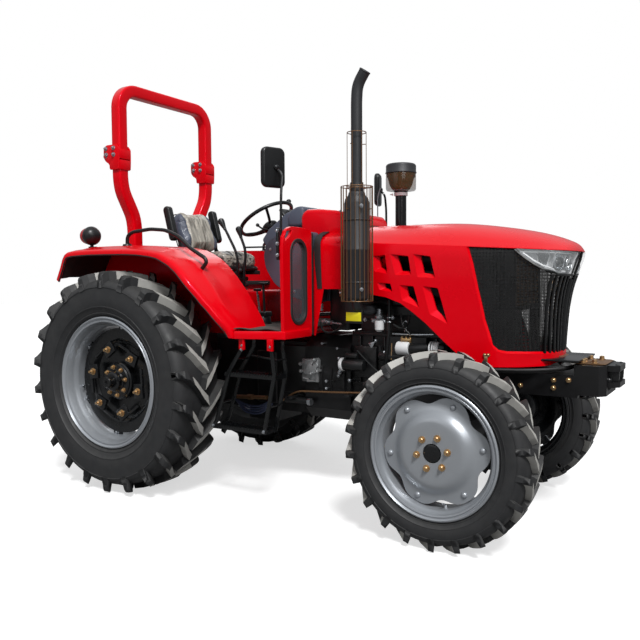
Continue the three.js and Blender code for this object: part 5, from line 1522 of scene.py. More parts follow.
@dataclass
class Seat:
    """The driver's seat: stuffed cushion and back in streaked vinyl, arm pads, bellows and slides."""

    voxel: float = 0.006
    pressure: float = 4.0
    frames: int = 20
    most: float = 0.024
    seam_depth: float = 0.007
    seam_width: float = 0.006
    rear: float = -0.985
    front: float = -0.660
    half: float = 0.190
    corner: float = 0.085
    low: float = 1.400
    high: float = 1.468
    still_below: float = 1.406
    soft_above: float = 1.435
    cushion_seam: float = 0.095
    roll_height: float = 0.014
    side_height: float = 0.012
    piping_out: float = 0.002
    back_foot: Point = (-1.050, 0, 1.505)
    lean: float = 0.36
    back_half: float = 0.168
    back_height: float = 0.305
    back_corner: float = 0.080
    taper: float = 0.16
    border: float = 0.122
    middle_seam: float = 0.030
    bolster: float = 0.030

    def cushion_form(self) -> Form:
        """The cushion before it is stuffed: rounded in plan, thick at the front roll."""
        form = Form()
        outline = rounded_box(self.rear, self.front, -self.half, self.half, self.corner, 8)
        form.plate(outline, Plane.TOP, self.low, self.high, 0.026, 4, 40.0)
        for v in form.bm.verts:
            if v.co.z > self.soft_above:
                roll = self.roll_height * max(0.0, math.cos((v.co.x + 0.72) * 9))
                v.co.z += roll + self.side_height * min(1.0, abs(v.co.y) / 0.2) ** 2
        return form

    def back_form(self) -> Form:
        """The back before it is stuffed: a leaning panel, narrower at the top."""
        form = Form()
        form.plate(self.back_outline(0.0, 8), Plane.FRONT, -0.038, 0.034, 0.024, 4, 40.0)
        bmesh.ops.subdivide_edges(form.bm, edges=[e for e in form.bm.edges if e.calc_length() > 0.06],
                                  cuts=9, use_grid_fill=True)
        for v in form.bm.verts:
            if v.co.x > 0.0:
                v.co.x += self.bolster * (abs(v.co.y) / self.back_half) ** 3
        bmesh.ops.transform(form.bm, matrix=self.back_place, verts=form.bm.verts[:])
        return form

    def back_outline(self, out: float, steps: int) -> list[tuple[float, float]]:
        """The back's outline in its own plane, grown by a margin and narrower at the top."""
        loop = rounded_box(-self.back_half - out, self.back_half + out, -out, self.back_height + out,
                           self.back_corner + out, steps)
        return [(u * (1.0 - self.taper * max(0.0, v)), v) for u, v in loop]

    @property
    def back_place(self) -> Matrix:
        """Stands the back on the cushion's rear edge, leaning."""
        return Matrix.Translation(self.back_foot) @ Matrix.Rotation(-self.lean, 4, "Y")

    def stuff(self, piece: bpy.types.Object, rests: Callable[[Vector], bool],
              channel: Callable[[Vector], float]) -> None:
        """Blows a closed form up like a stuffed cover, and sews its channels.

        Args:
            piece: the object whose mesh is stuffed.
            rests: whether a point stays where it is.
            channel: how deep the sewing pulls a point in, from 0 to 1.
        """
        self.remesh(piece)
        start = [v.co.copy() for v in piece.data.vertices]
        held = piece.vertex_groups.new(name="rests")
        held.add([v.index for v in piece.data.vertices if rests(v.co)], 1.0, "REPLACE")
        cloth = piece.modifiers.new("stuffing", "CLOTH")
        cloth.settings.use_pressure = True
        cloth.settings.uniform_pressure_force = self.pressure
        cloth.settings.effector_weights.gravity = 0.0
        cloth.settings.vertex_group_mass = held.name
        cloth.settings.quality = 4
        scene = bpy.context.scene
        for frame in range(1, self.frames + 1):
            scene.frame_set(frame)
        moved = piece.evaluated_get(bpy.context.evaluated_depsgraph_get()).data
        ends = [v.co.copy() for v in moved.vertices]
        piece.modifiers.remove(cloth)
        piece.vertex_groups.clear()
        scene.frame_set(1)
        for v, a, b in zip(piece.data.vertices, start, ends):
            step = b - a
            if step.length > self.most:
                step *= self.most / step.length
            v.co = a + step
        piece.data.update()
        pulls = [(v.co - v.normal * self.seam_depth * channel(v.co)) for v in piece.data.vertices]
        for v, spot in zip(piece.data.vertices, pulls):
            v.co = spot
        piece.data.shade_smooth()
        surface = piece.modifiers.new("surface", "SUBSURF")
        surface.levels = surface.render_levels = 1

    def remesh(self, piece: bpy.types.Object) -> None:
        """Gives a piece an even grid of small faces."""
        even = piece.modifiers.new("even", "REMESH")
        even.mode, even.voxel_size = "VOXEL", self.voxel
        made = bpy.data.meshes.new_from_object(piece.evaluated_get(bpy.context.evaluated_depsgraph_get()))
        piece.modifiers.clear()
        old, made.name = piece.data, piece.data.name + "_even"
        if not made.materials:
            for slot in old.materials:
                made.materials.append(slot)
        piece.data = made
        bpy.data.meshes.remove(old)

    def piping(self) -> Form:
        """Corded seams round the cushion and the back."""
        form = Form()
        out = self.piping_out
        loop = rounded_box(self.rear - out, self.front + out, -self.half - out, self.half + out,
                           self.corner + out, 10)
        form.tube([(u, v, self.low + 0.004) for u, v in loop + loop[:2]], 0.0045, 8)
        loop = self.back_outline(0.001, 10)
        form.tube([tuple(self.back_place @ Vector((-0.037, u, v))) for u, v in loop + loop[:2]], 0.004, 8)
        return form

    def arm_pads(self) -> Form:
        """The raised arm pads beside the back and their hinge bosses."""
        form = Form()
        for side in (-1, 1):
            outline = rounded_box(-0.028, 0.028, -0.022, 0.222, 0.026, 6)
            form.plate(outline, Plane.SIDE, side * 0.232 - 0.024, side * 0.232 + 0.024, 0.012, 4, 40.0)
        place = Matrix.Translation((-1.082, 0, 1.606)) @ Matrix.Rotation(-0.26, 4, "Y")
        bmesh.ops.transform(form.bm, matrix=place, verts=form.bm.verts[:])
        form.rod((-1.080, -0.24, 1.606), (-1.080, 0.24, 1.606), 0.014, sides=16)
        return form

    def shell(self) -> Form:
        """The seat's black pan and the plate behind its back."""
        form = Form()
        form.block((-0.980, -0.178, 1.376), (-0.668, 0.178, 1.402), 0.010, 3)
        turn = self.back_place
        form.block((-0.064, -0.130, -0.02), (-0.044, 0.130, 0.26), 0.008, 3)
        bmesh.ops.transform(form.bm, matrix=turn, verts=[v for v in form.bm.verts if v.co.z < 1.0])
        for side in (-1, 1):
            form.plate([(-1.065, 1.466), (-0.980, 1.380), (-0.895, 1.380), (-0.895, 1.400), (-0.985, 1.446),
                        (-1.050, 1.540), (-1.056, 1.606), (-1.088, 1.600)],
                       Plane.SIDE, side * 0.186 - 0.006, side * 0.186 + 0.006, 0.003)
        return form

    def stand(self) -> Form:
        """The bellows, slides and side brackets under the cushion."""
        form = Form()
        for k in range(6):
            z = 1.096 + k * 0.042
            form.block((-0.935, -0.135, z), (-0.720, 0.135, z + 0.030), 0.012, 3)
            form.block((-0.920, -0.118, z + 0.026), (-0.735, 0.118, z + 0.046), 0.004)
        form.block((-0.95, -0.15, 1.030), (-0.705, 0.15, 1.100), 0.006)
        for side in (-1, 1):
            form.block((-0.950, side * 0.150 - 0.012, 1.350), (-0.640, side * 0.150 + 0.012, 1.378), 0.004)
        form.hose([(-0.65, -0.150, 1.364), (-0.60, -0.165, 1.360), (-0.565, -0.165, 1.374)], 0.006, 0.03)
        form.ball((-0.562, -0.165, 1.376), 0.014, sides=14)
        form.block((-0.600, -0.250, 1.210), (-0.560, -0.225, 1.345), 0.006)
        form.hose([(-0.585, -0.240, 1.330), (-0.570, -0.245, 1.352)], 0.012, 0.02)
        form.rod((-0.590, -0.262, 1.250), (-0.590, -0.222, 1.250), 0.020)
        form.block((-1.085, 0.425, 1.275), (-0.765, 0.4495, 1.305), 0.004)
        return form

    def build(self, shop: Workshop) -> None:
        """Makes the seat."""
        cushion = shop.piece("seat_cushion_cover", self.cushion_form(), Finishes.marbled, "chassis",
                             "seat_vinyl", 60.0, ["seat_cushion"])
        self.stuff(cushion, lambda p: p.z < self.still_below, self.cushion_channel)
        sides = [(Finishes.slate, lambda face: abs(face.normal.y) > 0.75 or face.normal.x < -0.5)]
        back = shop.piece("seat_back_cover", self.back_form(), Finishes.vinyl, "chassis", "seat_vinyl",
                          60.0, ["seat_backrest"], accents=sides)
        turned = self.back_place.inverted()
        shift = Vector((shop.middle, 0, 0))
        self.stuff(back, lambda p: (turned @ (p - shift)).x < -0.036,
                   lambda p: self.back_channel(turned @ (p - shift)))
        for face in back.data.polygons:
            face.material_index = int(abs((turned @ (face.center - shift)).y) > self.border)
        shop.piece("seat_piping", self.piping(), Finishes.rubber, "chassis", "seat_vinyl", 40.0)
        shop.piece("arm_pads", self.arm_pads(), Finishes.plastic, "chassis", "seat_vinyl", 40.0)
        shop.piece("seat_shell", self.shell(), Finishes.plastic, "chassis", "black_plastic", 40.0)
        shop.piece("seat_stand", self.stand(), Finishes.rubber, "chassis", "rubber", 40.0, ["seat_base"])

    def seam(self, across: float, line: float) -> float:
        """How deep a seam on a line pulls in at a place across it."""
        return math.exp(-((abs(across) - line) / self.seam_width) ** 2)

    def cushion_channel(self, spot: Vector) -> float:
        """How deep the cushion's two seams pull in at a spot."""
        return self.seam(spot.y, self.cushion_seam) if spot.z > self.soft_above else 0.0

    def back_channel(self, spot: Vector) -> float:
        """How deep the back's upright seams pull in at a spot of its own plane."""
        if spot.x < 0.0:
            return 0.0
        return max(self.seam(spot.y, line) for line in (self.middle_seam, self.border))


# ------------------------------------------------------------------ fenders and roll-over hoop


@dataclass
class Fenders:
    """Rear mudguards: a pressed shell over each wheel, its inner wall, edging, rail and lamp."""

    axle_x: float = -1.05
    inner: float = 0.450
    ridge: float = 0.752
    wall: float = 0.005
    floor: float = 0.986
    crest: tuple = ((-0.500, 1.340), (-0.472, 1.386), (-0.444, 1.432), (-0.416, 1.474), (-0.390, 1.503),
                    (-0.355, 1.520), (-0.300, 1.528), (-0.200, 1.532), (-0.075, 1.533), (0.050, 1.532),
                    (0.176, 1.530), (0.290, 1.524), (0.384, 1.513), (0.450, 1.500), (0.503, 1.478),
                    (0.560, 1.450), (0.618, 1.408), (0.692, 1.335), (0.766, 1.248), (0.823, 1.168),
                    (0.880, 1.082), (0.906, 1.030), (0.921, 0.987))
    lip: tuple = ((-1.65, 0.850), (-1.50, 0.868), (-1.47, 0.876), (-1.42, 0.880), (-0.35, 0.880),
                  (-0.27, 0.852), (-0.19, 0.800), (-0.12, 0.735))
    rail: tuple = ((-1.019, 1.535), (-1.017, 1.592), (-0.973, 1.615), (-0.817, 1.628), (-0.693, 1.617),
                   (-0.589, 1.577), (-0.496, 1.504), (-0.381, 1.443), (-0.372, 1.418), (-0.413, 1.378))
    rail_y: float = -0.715
    lamp: Point = (-1.363, -0.700, 1.606)
    lamp_radius: float = 0.062

    def crest_at(self, share: float) -> tuple[Vector, Vector]:
        """A point of the crest line in side view, and the way out of it."""
        spot = share * (len(self.crest) - 1)
        index = min(int(spot), len(self.crest) - 2)
        a, b = Vector(self.crest[index]), Vector(self.crest[index + 1])
        here = a.lerp(b, spot - index)
        before = Vector(self.crest[max(0, round(spot) - 1)])
        after = Vector(self.crest[min(len(self.crest) - 1, round(spot) + 1)])
        run = (after - before).normalized()
        return here + Vector((self.axle_x, 0)), Vector((-run.y, run.x))

    def section(self, lip: float) -> list[Point]:
        """The shell's section: how far out from the middle, and how far under the crest."""
        ridge = min(self.ridge, lip - 0.075)
        return [(self.inner, 0.0), (0.50, 0.0), (0.535, 0.0), (0.57, 0.0), (0.62, 0.0), (0.66, 0.0),
                (ridge - 0.03, 0.0), (ridge - 0.012, 0.001), (ridge, 0.004), (ridge + 0.012, 0.009),
                (lip - 0.040, 0.019), (lip - 0.016, 0.025), (lip - 0.005, 0.031), (lip, 0.040),
                (lip, 0.056), (lip - 0.003, 0.059)]

    def shell(self) -> Form:
        """The shell from the inner wall out to the lip, with the pressed hollow in its front face."""
        form = Form()
        along = (len(self.crest) - 1) * 3
        count = len(self.section(1.0))

        def spot(u: float, v: float) -> Point:
            """A point of the surface for its share along and its share across."""
            (x, z), way = self.crest_at(v)
            index = round(u * 2 * count) % (2 * count)
            under = index >= count
            y, drop = self.section(table(self.lip, x))[2 * count - 1 - index if under else index]
            hollow = max(0.0, 1 - ((v - 0.80) / 0.07) ** 2) * max(0.0, 1 - ((y - 0.63) / 0.07) ** 2)
            hollow += max(0.0, 1 - ((v - 0.64) / 0.06) ** 2) * max(0.0, 1 - ((y - 0.70) / 0.07) ** 2)
            drop += 0.010 * min(1.0, hollow * 1.8) + (self.wall if under else 0.0)
            y -= self.wall if under and drop > 0.035 else 0.0
            return (x - way.x * drop, -y, max(self.floor, z - way.y * drop))

        form.sheet(2 * count, along, spot)
        bmesh.ops.remove_doubles(form.bm, verts=form.bm.verts[:], dist=1e-6)
        bmesh.ops.holes_fill(form.bm, edges=[e for e in form.bm.edges if e.is_boundary], sides=0)
        return form

    def side_wall(self) -> Form:
        """The upright wall between the wheel and the driver."""
        form = Form()
        line = [self.crest_at(i / 40)[0] for i in range(41)]
        outline = [(p.x, p.y - 0.002) for p in line] + [
            (-0.760, self.floor), (-0.920, 0.900), (-1.300, 0.900), (-1.500, 1.150)]
        form.plate(outline, Plane.SIDE, -self.inner - self.wall, -self.inner)
        return form

    def edging(self) -> Form:
        """The black edging strip along the lip."""
        form = Form()
        points = []
        for i in range(61):
            (x, z), way = self.crest_at(i / 60)
            lip = table(self.lip, x)
            spot = (x - way.x * 0.059, -lip + 0.002, z - way.y * 0.059)
            if spot[2] > self.floor + 0.004:
                points.append(spot)
        form.tube(points, 0.0045, 8)
        return form

    def hand_rail(self) -> Form:
        """The bent grab rail, with its feet and their screws."""
        form = Form()
        form.hose([(x, self.rail_y, z) for x, z in self.rail], 0.0115, 0.03, 16)
        for (x, z), way in (((-1.019, 1.534), (0, 0, 1)), ((-0.418, 1.374), (0.62, 0, 0.78))):
            at = Vector((x, self.rail_y, z))
            form.rod(at - Vector(way) * 0.004, at + Vector(way) * 0.008, 0.030, 0.026, 20)
            form.bolt(at + Vector((0.018, 0.0, 0.006)), way, 0.010)
        return form

    def lamp_stalk(self) -> Form:
        """The round rear lamp's black housing on its stalk."""
        form = Form()
        x, y, z = self.lamp
        form.ball(self.lamp, self.lamp_radius, (0.92, 1, 1), 28)
        form.hose([(x, y, z - 0.03), (x, y, z - 0.085), (x + 0.01, y, 1.527)], 0.011, 0.02)
        form.rod((x + 0.01, y, 1.524), (x + 0.01, y, 1.536), 0.028, sides=18)
        return form

    def lamp_lens(self) -> Form:
        """The lens on the lamp's rear face."""
        form = Form()
        x, y, z = self.lamp
        form.lathe([(0.050, 0.028), (0.052, 0.045), (0.046, 0.060), (0.030, 0.070), (0, 0.074)],
                   (x, y, z), (-1, 0, 0), 28)
        return form

    def build(self, shop: Workshop) -> None:
        """Makes both fenders; the round lamp is on the right one only."""
        # Faces toward the wheel get the near-black red as painted shade, with dust laid over it.
        under = [(Finishes.red_painted_shade_and_dust, lambda face: self.gets_painted_shade(face))]
        for side in SIDES:
            for name, form, finish, slot, stands, accents in (
                    ("fender_shell", self.shell(), Finishes.red, "red_paint", [f"rear_fender_{side}"], under),
                    ("fender_wall", self.side_wall(), Finishes.red, "red_paint", [], ()),
                    ("fender_edging", self.edging(), Finishes.rubber, "rubber", [], ()),
                    ("fender_rail", self.hand_rail(), Finishes.plastic, "black_paint", [], ()),
                    ("rear_lamp", self.lamp_stalk(), Finishes.plastic, "black_plastic", [], ()),
                    ("rear_lamp_lens", self.lamp_lens(), Finishes.ruby, "amber_lens", [], ())):
                if side == "left":
                    if name.startswith("rear_lamp"):
                        form.bm.free()
                        continue
                    form.mirrored()
                shop.piece(f"{name}_{side}", form, finish, "chassis", slot, 40.0, stands, accents=accents)

    def gets_painted_shade(self, face: bmesh.types.BMFace) -> bool:
        """Whether a face of the shell looks toward the wheel, where it gets the near-black painted shade."""
        spot = face.calc_center_median()
        return face.normal.dot(Vector((self.axle_x - spot.x, 0, 0.688 - spot.z)).normalized()) > 0.3


@dataclass
class Hoop:
    """The folding roll-over hoop: rounded square tube, hinged on bolted brackets."""

    x: float = -1.370
    tube: float = 0.080
    high_y: float = 0.435
    split: float = 2.133
    top: float = 2.650
    corner: float = 0.130
    plate_y: float = 0.046
    plate: float = 0.008
    pivot: Point = (-1.442, 2.165)
    post: tuple = ((0.315, 0.80), (0.315, 1.68), (0.330, 1.76), (0.420, 1.92), (0.435, 2.00), (0.435, 2.131))
    bracket: tuple = ((-1.414, 2.062), (-1.326, 2.062), (-1.322, 2.130), (-1.322, 2.200), (-1.345, 2.228),
                      (-1.440, 2.230), (-1.470, 2.214), (-1.472, 2.150), (-1.455, 2.122), (-1.418, 2.100))

    def square_tube(self, form: Form, path: Sequence[Point]) -> None:
        """Sweeps the rounded square section along a path in front view.

        Args:
            form: where it goes.
            path: points of (y, z) along the tube's middle.
        """
        half = self.tube / 2
        section = rounded_box(-half, half, -half, half, 0.014, 4)
        points = [Vector(p) for p in path]

        def spot(u: float, v: float) -> Point:
            """A point of the surface for its share along and its share across."""
            i = round(v * (len(points) - 1))
            across, along = section[round(u * len(section)) % len(section)]
            before = (points[i] - points[max(0, i - 1)]).normalized()
            after = (points[min(len(points) - 1, i + 1)] - points[i]).normalized()
            run = (before + after).normalized()
            width = across / max(0.6, run.dot(after) if after.length else run.dot(before))
            return (self.x + along, points[i].x - run.y * width, points[i].y + run.x * width)

        form.sheet(len(section), len(points) - 1, spot)

    def upper(self) -> Form:
        """The part that folds."""
        form = Form()
        r, y, z = self.corner, self.high_y, self.top - self.tube / 2
        path = ([(y, self.split + 0.001), (y, z - r - 0.1)] + arc(y - r, z - r, r, 0, 90, 10)
                + arc(-y + r, z - r, r, 90, 180, 10) + [(-y, z - r - 0.1), (-y, self.split + 0.001)])
        self.square_tube(form, path)
        for side in (-1, 1):
            x, pz = self.pivot
            outline = [(self.x - 0.03, pz - 0.020), (x, pz - 0.020)] + arc(x, pz, 0.020, 270, 90, 10) + [
                (self.x - 0.03, pz + 0.020)]
            form.plate(outline, Plane.SIDE, side * y - 0.026, side * y + 0.026, 0.003)
        return form

    def posts(self) -> Form:
        """The fixed posts with their bracket plates and the sleeve that joins them."""
        form = Form()
        for low, high in ((2.062, 2.126), (2.134, 2.196)):
            form.block((self.x + 0.036, self.high_y - 0.047, low),
                       (self.x + 0.048, self.high_y + 0.047, high), 0.003)
        path = eased([(0.0, *p) for p in self.post], 0.05, 5)
        self.square_tube(form, [(p.y, p.z) for p in path])
        for way in (-1, 1):
            near = self.high_y + way * self.plate_y
            far = near + way * self.plate
            loop = eased([(u, 0, v) for u, v in (self.bracket[-1], *self.bracket, self.bracket[0])], 0.012, 3)
            form.plate([(p.x, p.z) for p in loop[1:-1]], Plane.SIDE, min(near, far), max(near, far), 0.002)
        return form.both_sides()

    def bolts(self) -> Form:
        """The bracket's bolts, the pivot pins and the locking pins with their clips."""
        form = Form()
        for way in (-1, 1):
            y = self.high_y + way * (self.plate_y + self.plate)
            for x, z in ((-1.372, 2.206), (-1.372, 2.162), (-1.446, 2.206), self.pivot):
                form.bolt((x, y, z), (0, way, 0), 0.019, length=0.004)
            form.ring((self.pivot[0], y + way * 0.014, self.pivot[1] - 0.016), (1, 0, 0.2), 0.012, 0.0018,
                      20, 6)
        return form.both_sides()

    def build(self, shop: Workshop) -> None:
        """Makes the hoop and its hardware."""
        shop.piece("hoop_upper", self.upper(), Finishes.red, "roll_hoop", "red_paint", 35.0, ["roll_hoop"])
        shop.piece("hoop_posts", self.posts(), Finishes.red, "chassis", "red_paint", 35.0,
                   ["hoop_post_right", "hoop_post_left"])
        shop.piece("hoop_bolts", self.bolts(), Finishes.steel, "chassis", "zinc_steel", 30.0)


# ------------------------------------------------------------------ driver's station


@dataclass
class LegShields:
    """The upright red panels beside the cowl, with oblong windows in rubber."""

    x: float = 0.112
    thick: float = 0.022
    outline: tuple = ((-0.376, 0.987), (-0.376, 1.600), (-0.480, 1.612), (-0.585, 1.612), (-0.630, 1.596),
                      (-0.660, 1.558), (-0.670, 1.500), (-0.668, 1.350), (-0.662, 0.987))
    window: tuple = (-0.588, -0.440, 1.070, 1.536)
    notch: tuple = ((-0.575, 1.592), (-0.628, 1.584), (-0.645, 1.552), (-0.642, 1.530), (-0.598, 1.556))
    radius: float = 0.070

    def loop(self, grow: float = 0.0) -> list[tuple]:
        """The window's outline, grown or shrunk."""
        y0, y1, z0, z1 = self.window
        return rounded_box(y0 - grow, y1 + grow, z0 - grow, z1 + grow, self.radius + grow, 8)

    def panel(self) -> Form:
        """The pressed panel with its two openings and its folded inner edge."""
        form = Form()
        outer = eased([(0, *p) for p in (self.outline[-1], *self.outline, self.outline[0])], 0.02, 3)
        rim = [(p.y, p.z) for p in outer[1:-1]]
        edges = []
        for loop in (rim, self.loop(), self.notch):
            verts = [form.bm.verts.new((self.x + self.thick, u, v)) for u, v in loop]
            edges += [form.bm.edges.new(pair) for pair in zip(verts, verts[1:] + verts[:1])]
        bmesh.ops.triangle_fill(form.bm, use_beauty=True, use_dissolve=False, edges=edges, normal=(1, 0, 0))
        made = bmesh.ops.extrude_face_region(form.bm, geom=form.bm.faces[:])
        bmesh.ops.translate(form.bm, verts=[g for g in made["geom"] if isinstance(g, bmesh.types.BMVert)],
                            vec=(-self.thick, 0, 0))
        return form

    def seal(self, depth: float = 0.004) -> Form:
        """The rubber round the window."""
        form = Form()
        loops = [(self.loop(0.012), self.x + self.thick + 0.001),
                 (self.loop(0.008), self.x + self.thick + depth + 0.002),
                 (self.loop(-0.006), self.x + self.thick + depth),
                 (self.loop(-0.010), self.x + self.thick - 0.004),
                 (self.loop(-0.010), self.x + 0.004), (self.loop(-0.006), self.x - depth),
                 (self.loop(0.008), self.x - depth - 0.001), (self.loop(0.012), self.x - 0.001)]
        rows = [[form.bm.verts.new((x, u, v)) for u, v in loop] for loop, x in loops]
        for one, two in zip(rows, rows[1:]):
            for i in range(len(one)):
                j = (i + 1) % len(one)
                form.bm.faces.new((one[i], one[j], two[j], two[i]))
        return form

    def pane(self) -> Form:
        """The smoky pane."""
        form = Form()
        form.plate(self.loop(-0.005), Plane.FRONT, self.x + 0.009, self.x + 0.013)
        return form

    def build(self, shop: Workshop) -> None:
        """Makes both shields."""
        for side in SIDES:
            for name, form, finish, slot, stands, width in (
                    ("leg_shield_panel", self.panel(), Finishes.red, "red_paint", [f"leg_shield_{side}"],
                     0.004),
                    ("leg_shield_seal", self.seal(), Finishes.rubber, "rubber", [], 0.0),
                    ("leg_shield_pane", self.pane(), Finishes.glass, "clear_glass", [], 0.0)):
                if side == "left":
                    form.mirrored()
                shop.piece(f"{name}_{side}", form, finish, "chassis", slot, 35.0, stands, round_by=width)


@dataclass
class Cowl:
    """The fixed cowl behind the hood and the slate dash shroud on it."""

    rear: float = 0.128
    front: float = 0.325
    half: float = 0.352
    hump_half: float = 0.250

    def cover(self) -> Form:
        """The red cover: two side walls and a rounded top."""
        form = Form()
        section = [(self.half, 0.987), (self.half, 1.20), (self.half, 1.42), (self.half - 0.002, 1.505),
                   (self.half - 0.010, 1.536), (self.half - 0.030, 1.558), (0.28, 1.580), (0.20, 1.606),
                   (0.11, 1.624), (0.0, 1.630)]
        whole = section + [(-y, z) for y, z in reversed(section[:-1])]
        stations = [(self.rear, 0.985), (self.rear + 0.004, 0.995), (self.rear + 0.014, 1.0), (0.20, 1.0),
                    (0.27, 1.0), (self.front, 1.0)]

        def spot(u: float, v: float) -> Point:
            """A point of the surface for its share along and its share across."""
            x, scale = stations[round(u * (len(stations) - 1))]
            y, z = whole[round(v * (len(whole) - 1))]
            if x > 0.187 and z < 1.26:
                z = 1.26 + (z - 0.987) * 0.02
            return (x, y * scale, z if z < 1.3 else 1.3 + (z - 1.3) * scale)

        form.sheet(len(stations) - 1, len(whole) - 1, spot)
        form.thicken(0.004)
        return form

    def hump(self) -> Form:
        """The rounded red fairing ahead of the dials."""
        form = Form()
        form.plate([(-0.024, 1.560), (-0.028, 1.690), (-0.014, 1.724), (0.020, 1.739), (0.120, 1.735),
                    (0.210, 1.724), (0.285, 1.708), (0.312, 1.685), (0.322, 1.640), (0.322, 1.560)],
                   Plane.SIDE, -self.hump_half, self.hump_half, 0.024, 5, 30.0)
        return form

    def dash(self) -> Form:
        """The slate shroud between the driver's knees and the dials."""
        form = Form()
        form.plate([(-0.362, 1.520), (-0.250, 1.440), (-0.150, 1.262), (0.045, 1.181), (0.1275, 1.181),
                    (0.1275, 1.590), (-0.031, 1.594), (-0.031, 1.742), (-0.060, 1.757), (-0.100, 1.758),
                    (-0.200, 1.738), (-0.340, 1.640), (-0.396, 1.572)],
                   Plane.SIDE, -0.150, 0.150, 0.030, 5, 20.0)
        return form

    def dash_sides(self) -> Form:
        """The shroud's two bulged cheeks, which close the gap to the leg shields."""
        form = Form()
        outline = [(0.105, 1.170), (-0.040, 1.215), (-0.160, 1.290), (-0.225, 1.385), (-0.240, 1.470),
                   (-0.215, 1.540), (-0.150, 1.582), (-0.060, 1.598), (0.105, 1.598)]
        loop = eased([(u, 0, v) for u, v in (outline[-1], *outline, outline[0])], 0.03, 4)
        form.plate([(p.x, p.z) for p in loop[1:-1]], Plane.SIDE, 0.150, 0.342, 0.045, 6, 25.0)
        form.plate([(-0.033, 1.640), (-0.150, 1.640), (-0.165, 1.700), (-0.130, 1.748), (-0.080, 1.768),
                    (-0.033, 1.762)], Plane.SIDE, 0.0, 0.205, 0.022, 4, 25.0)
        return form.both_sides()

    def seal(self) -> Form:
        """The bowed rubber band between the leg shields and the engine's side panels."""
        form = Form()
        rows = [(self.half + 0.003, z) for z in (1.262, 1.30, 1.34, 1.38, 1.42, 1.46, 1.50, 1.525)]
        rows += [(0.345, 1.548), (0.325, 1.572), (0.28, 1.589), (0.20, 1.614), (0.10, 1.634), (0.0, 1.638)]
        rows += [(-y, z) for y, z in reversed(rows[:-1])]

        def spot(u: float, v: float) -> Point:
            """A point of the surface for its share along and its share across."""
            y, z = rows[round(v * (len(rows) - 1))]
            bow = 0.024 * min(1.0, max(0.0, (1.60 - z) / 0.33)) ** 2
            return (0.134 + u * 0.046 + bow * (1 - u * 0.6),
                    y + math.copysign(0.002 * math.sin(math.pi * u), y), z)

        form.sheet(6, len(rows) - 1, spot)
        form.thicken(0.003)
        for side in (-1, 1):
            form.block((0.116, side * 0.364 - 0.010, 0.990), (0.132, side * 0.364 + 0.010, 1.585), 0.002)
        return form

    def screws(self) -> Form:
        """Bright screws in the shroud's cheeks."""
        form = Form()
        for x, z in ((-0.185, 1.50), (-0.010, 1.245), (0.070, 1.600)):
            form.bolt((x, 0.342, z), (0, 1, 0), 0.012)
        return form.both_sides()

    def dials(self) -> Form:
        """The dial cluster's dark window and its rim, facing the driver."""
        form = Form()
        turn = Matrix.Rotation(math.radians(-38), 4, "Y")
        form.block((-0.262, -0.115, 1.690), (-0.242, 0.115, 1.775), 0.008, 3, turn)
        for y in (-0.06, 0.0, 0.06):
            form.ring(Vector((-0.262, y, 1.735)), (-0.78, 0, 0.62), 0.026, 0.003, 28, 6)
        return form

    def build(self, shop: Workshop) -> None:
        """Makes the cowl and the shroud."""
        shop.piece("cowl_cover", self.cover(), Finishes.red, "chassis", "red_paint", 40.0, ["cowl"])
        shop.piece("cowl_hump", self.hump(), Finishes.red, "chassis", "red_paint", 50.0)
        shop.piece("dash_shroud", self.dash(), Finishes.slate, "chassis", "grey_plastic", 50.0,
                   ["dash_console"])
        shop.piece("dash_cheeks", self.dash_sides(), Finishes.slate, "chassis", "grey_plastic", 50.0)
        shop.piece("cowl_seal", self.seal(), Finishes.rubber, "chassis", "rubber", 40.0)
        shop.piece("dash_screws", self.screws(), Finishes.steel, "chassis", "zinc_steel", 30.0)
        shop.piece("dial_cluster", self.dials(), Finishes.plastic, "chassis", "black_plastic", 40.0)


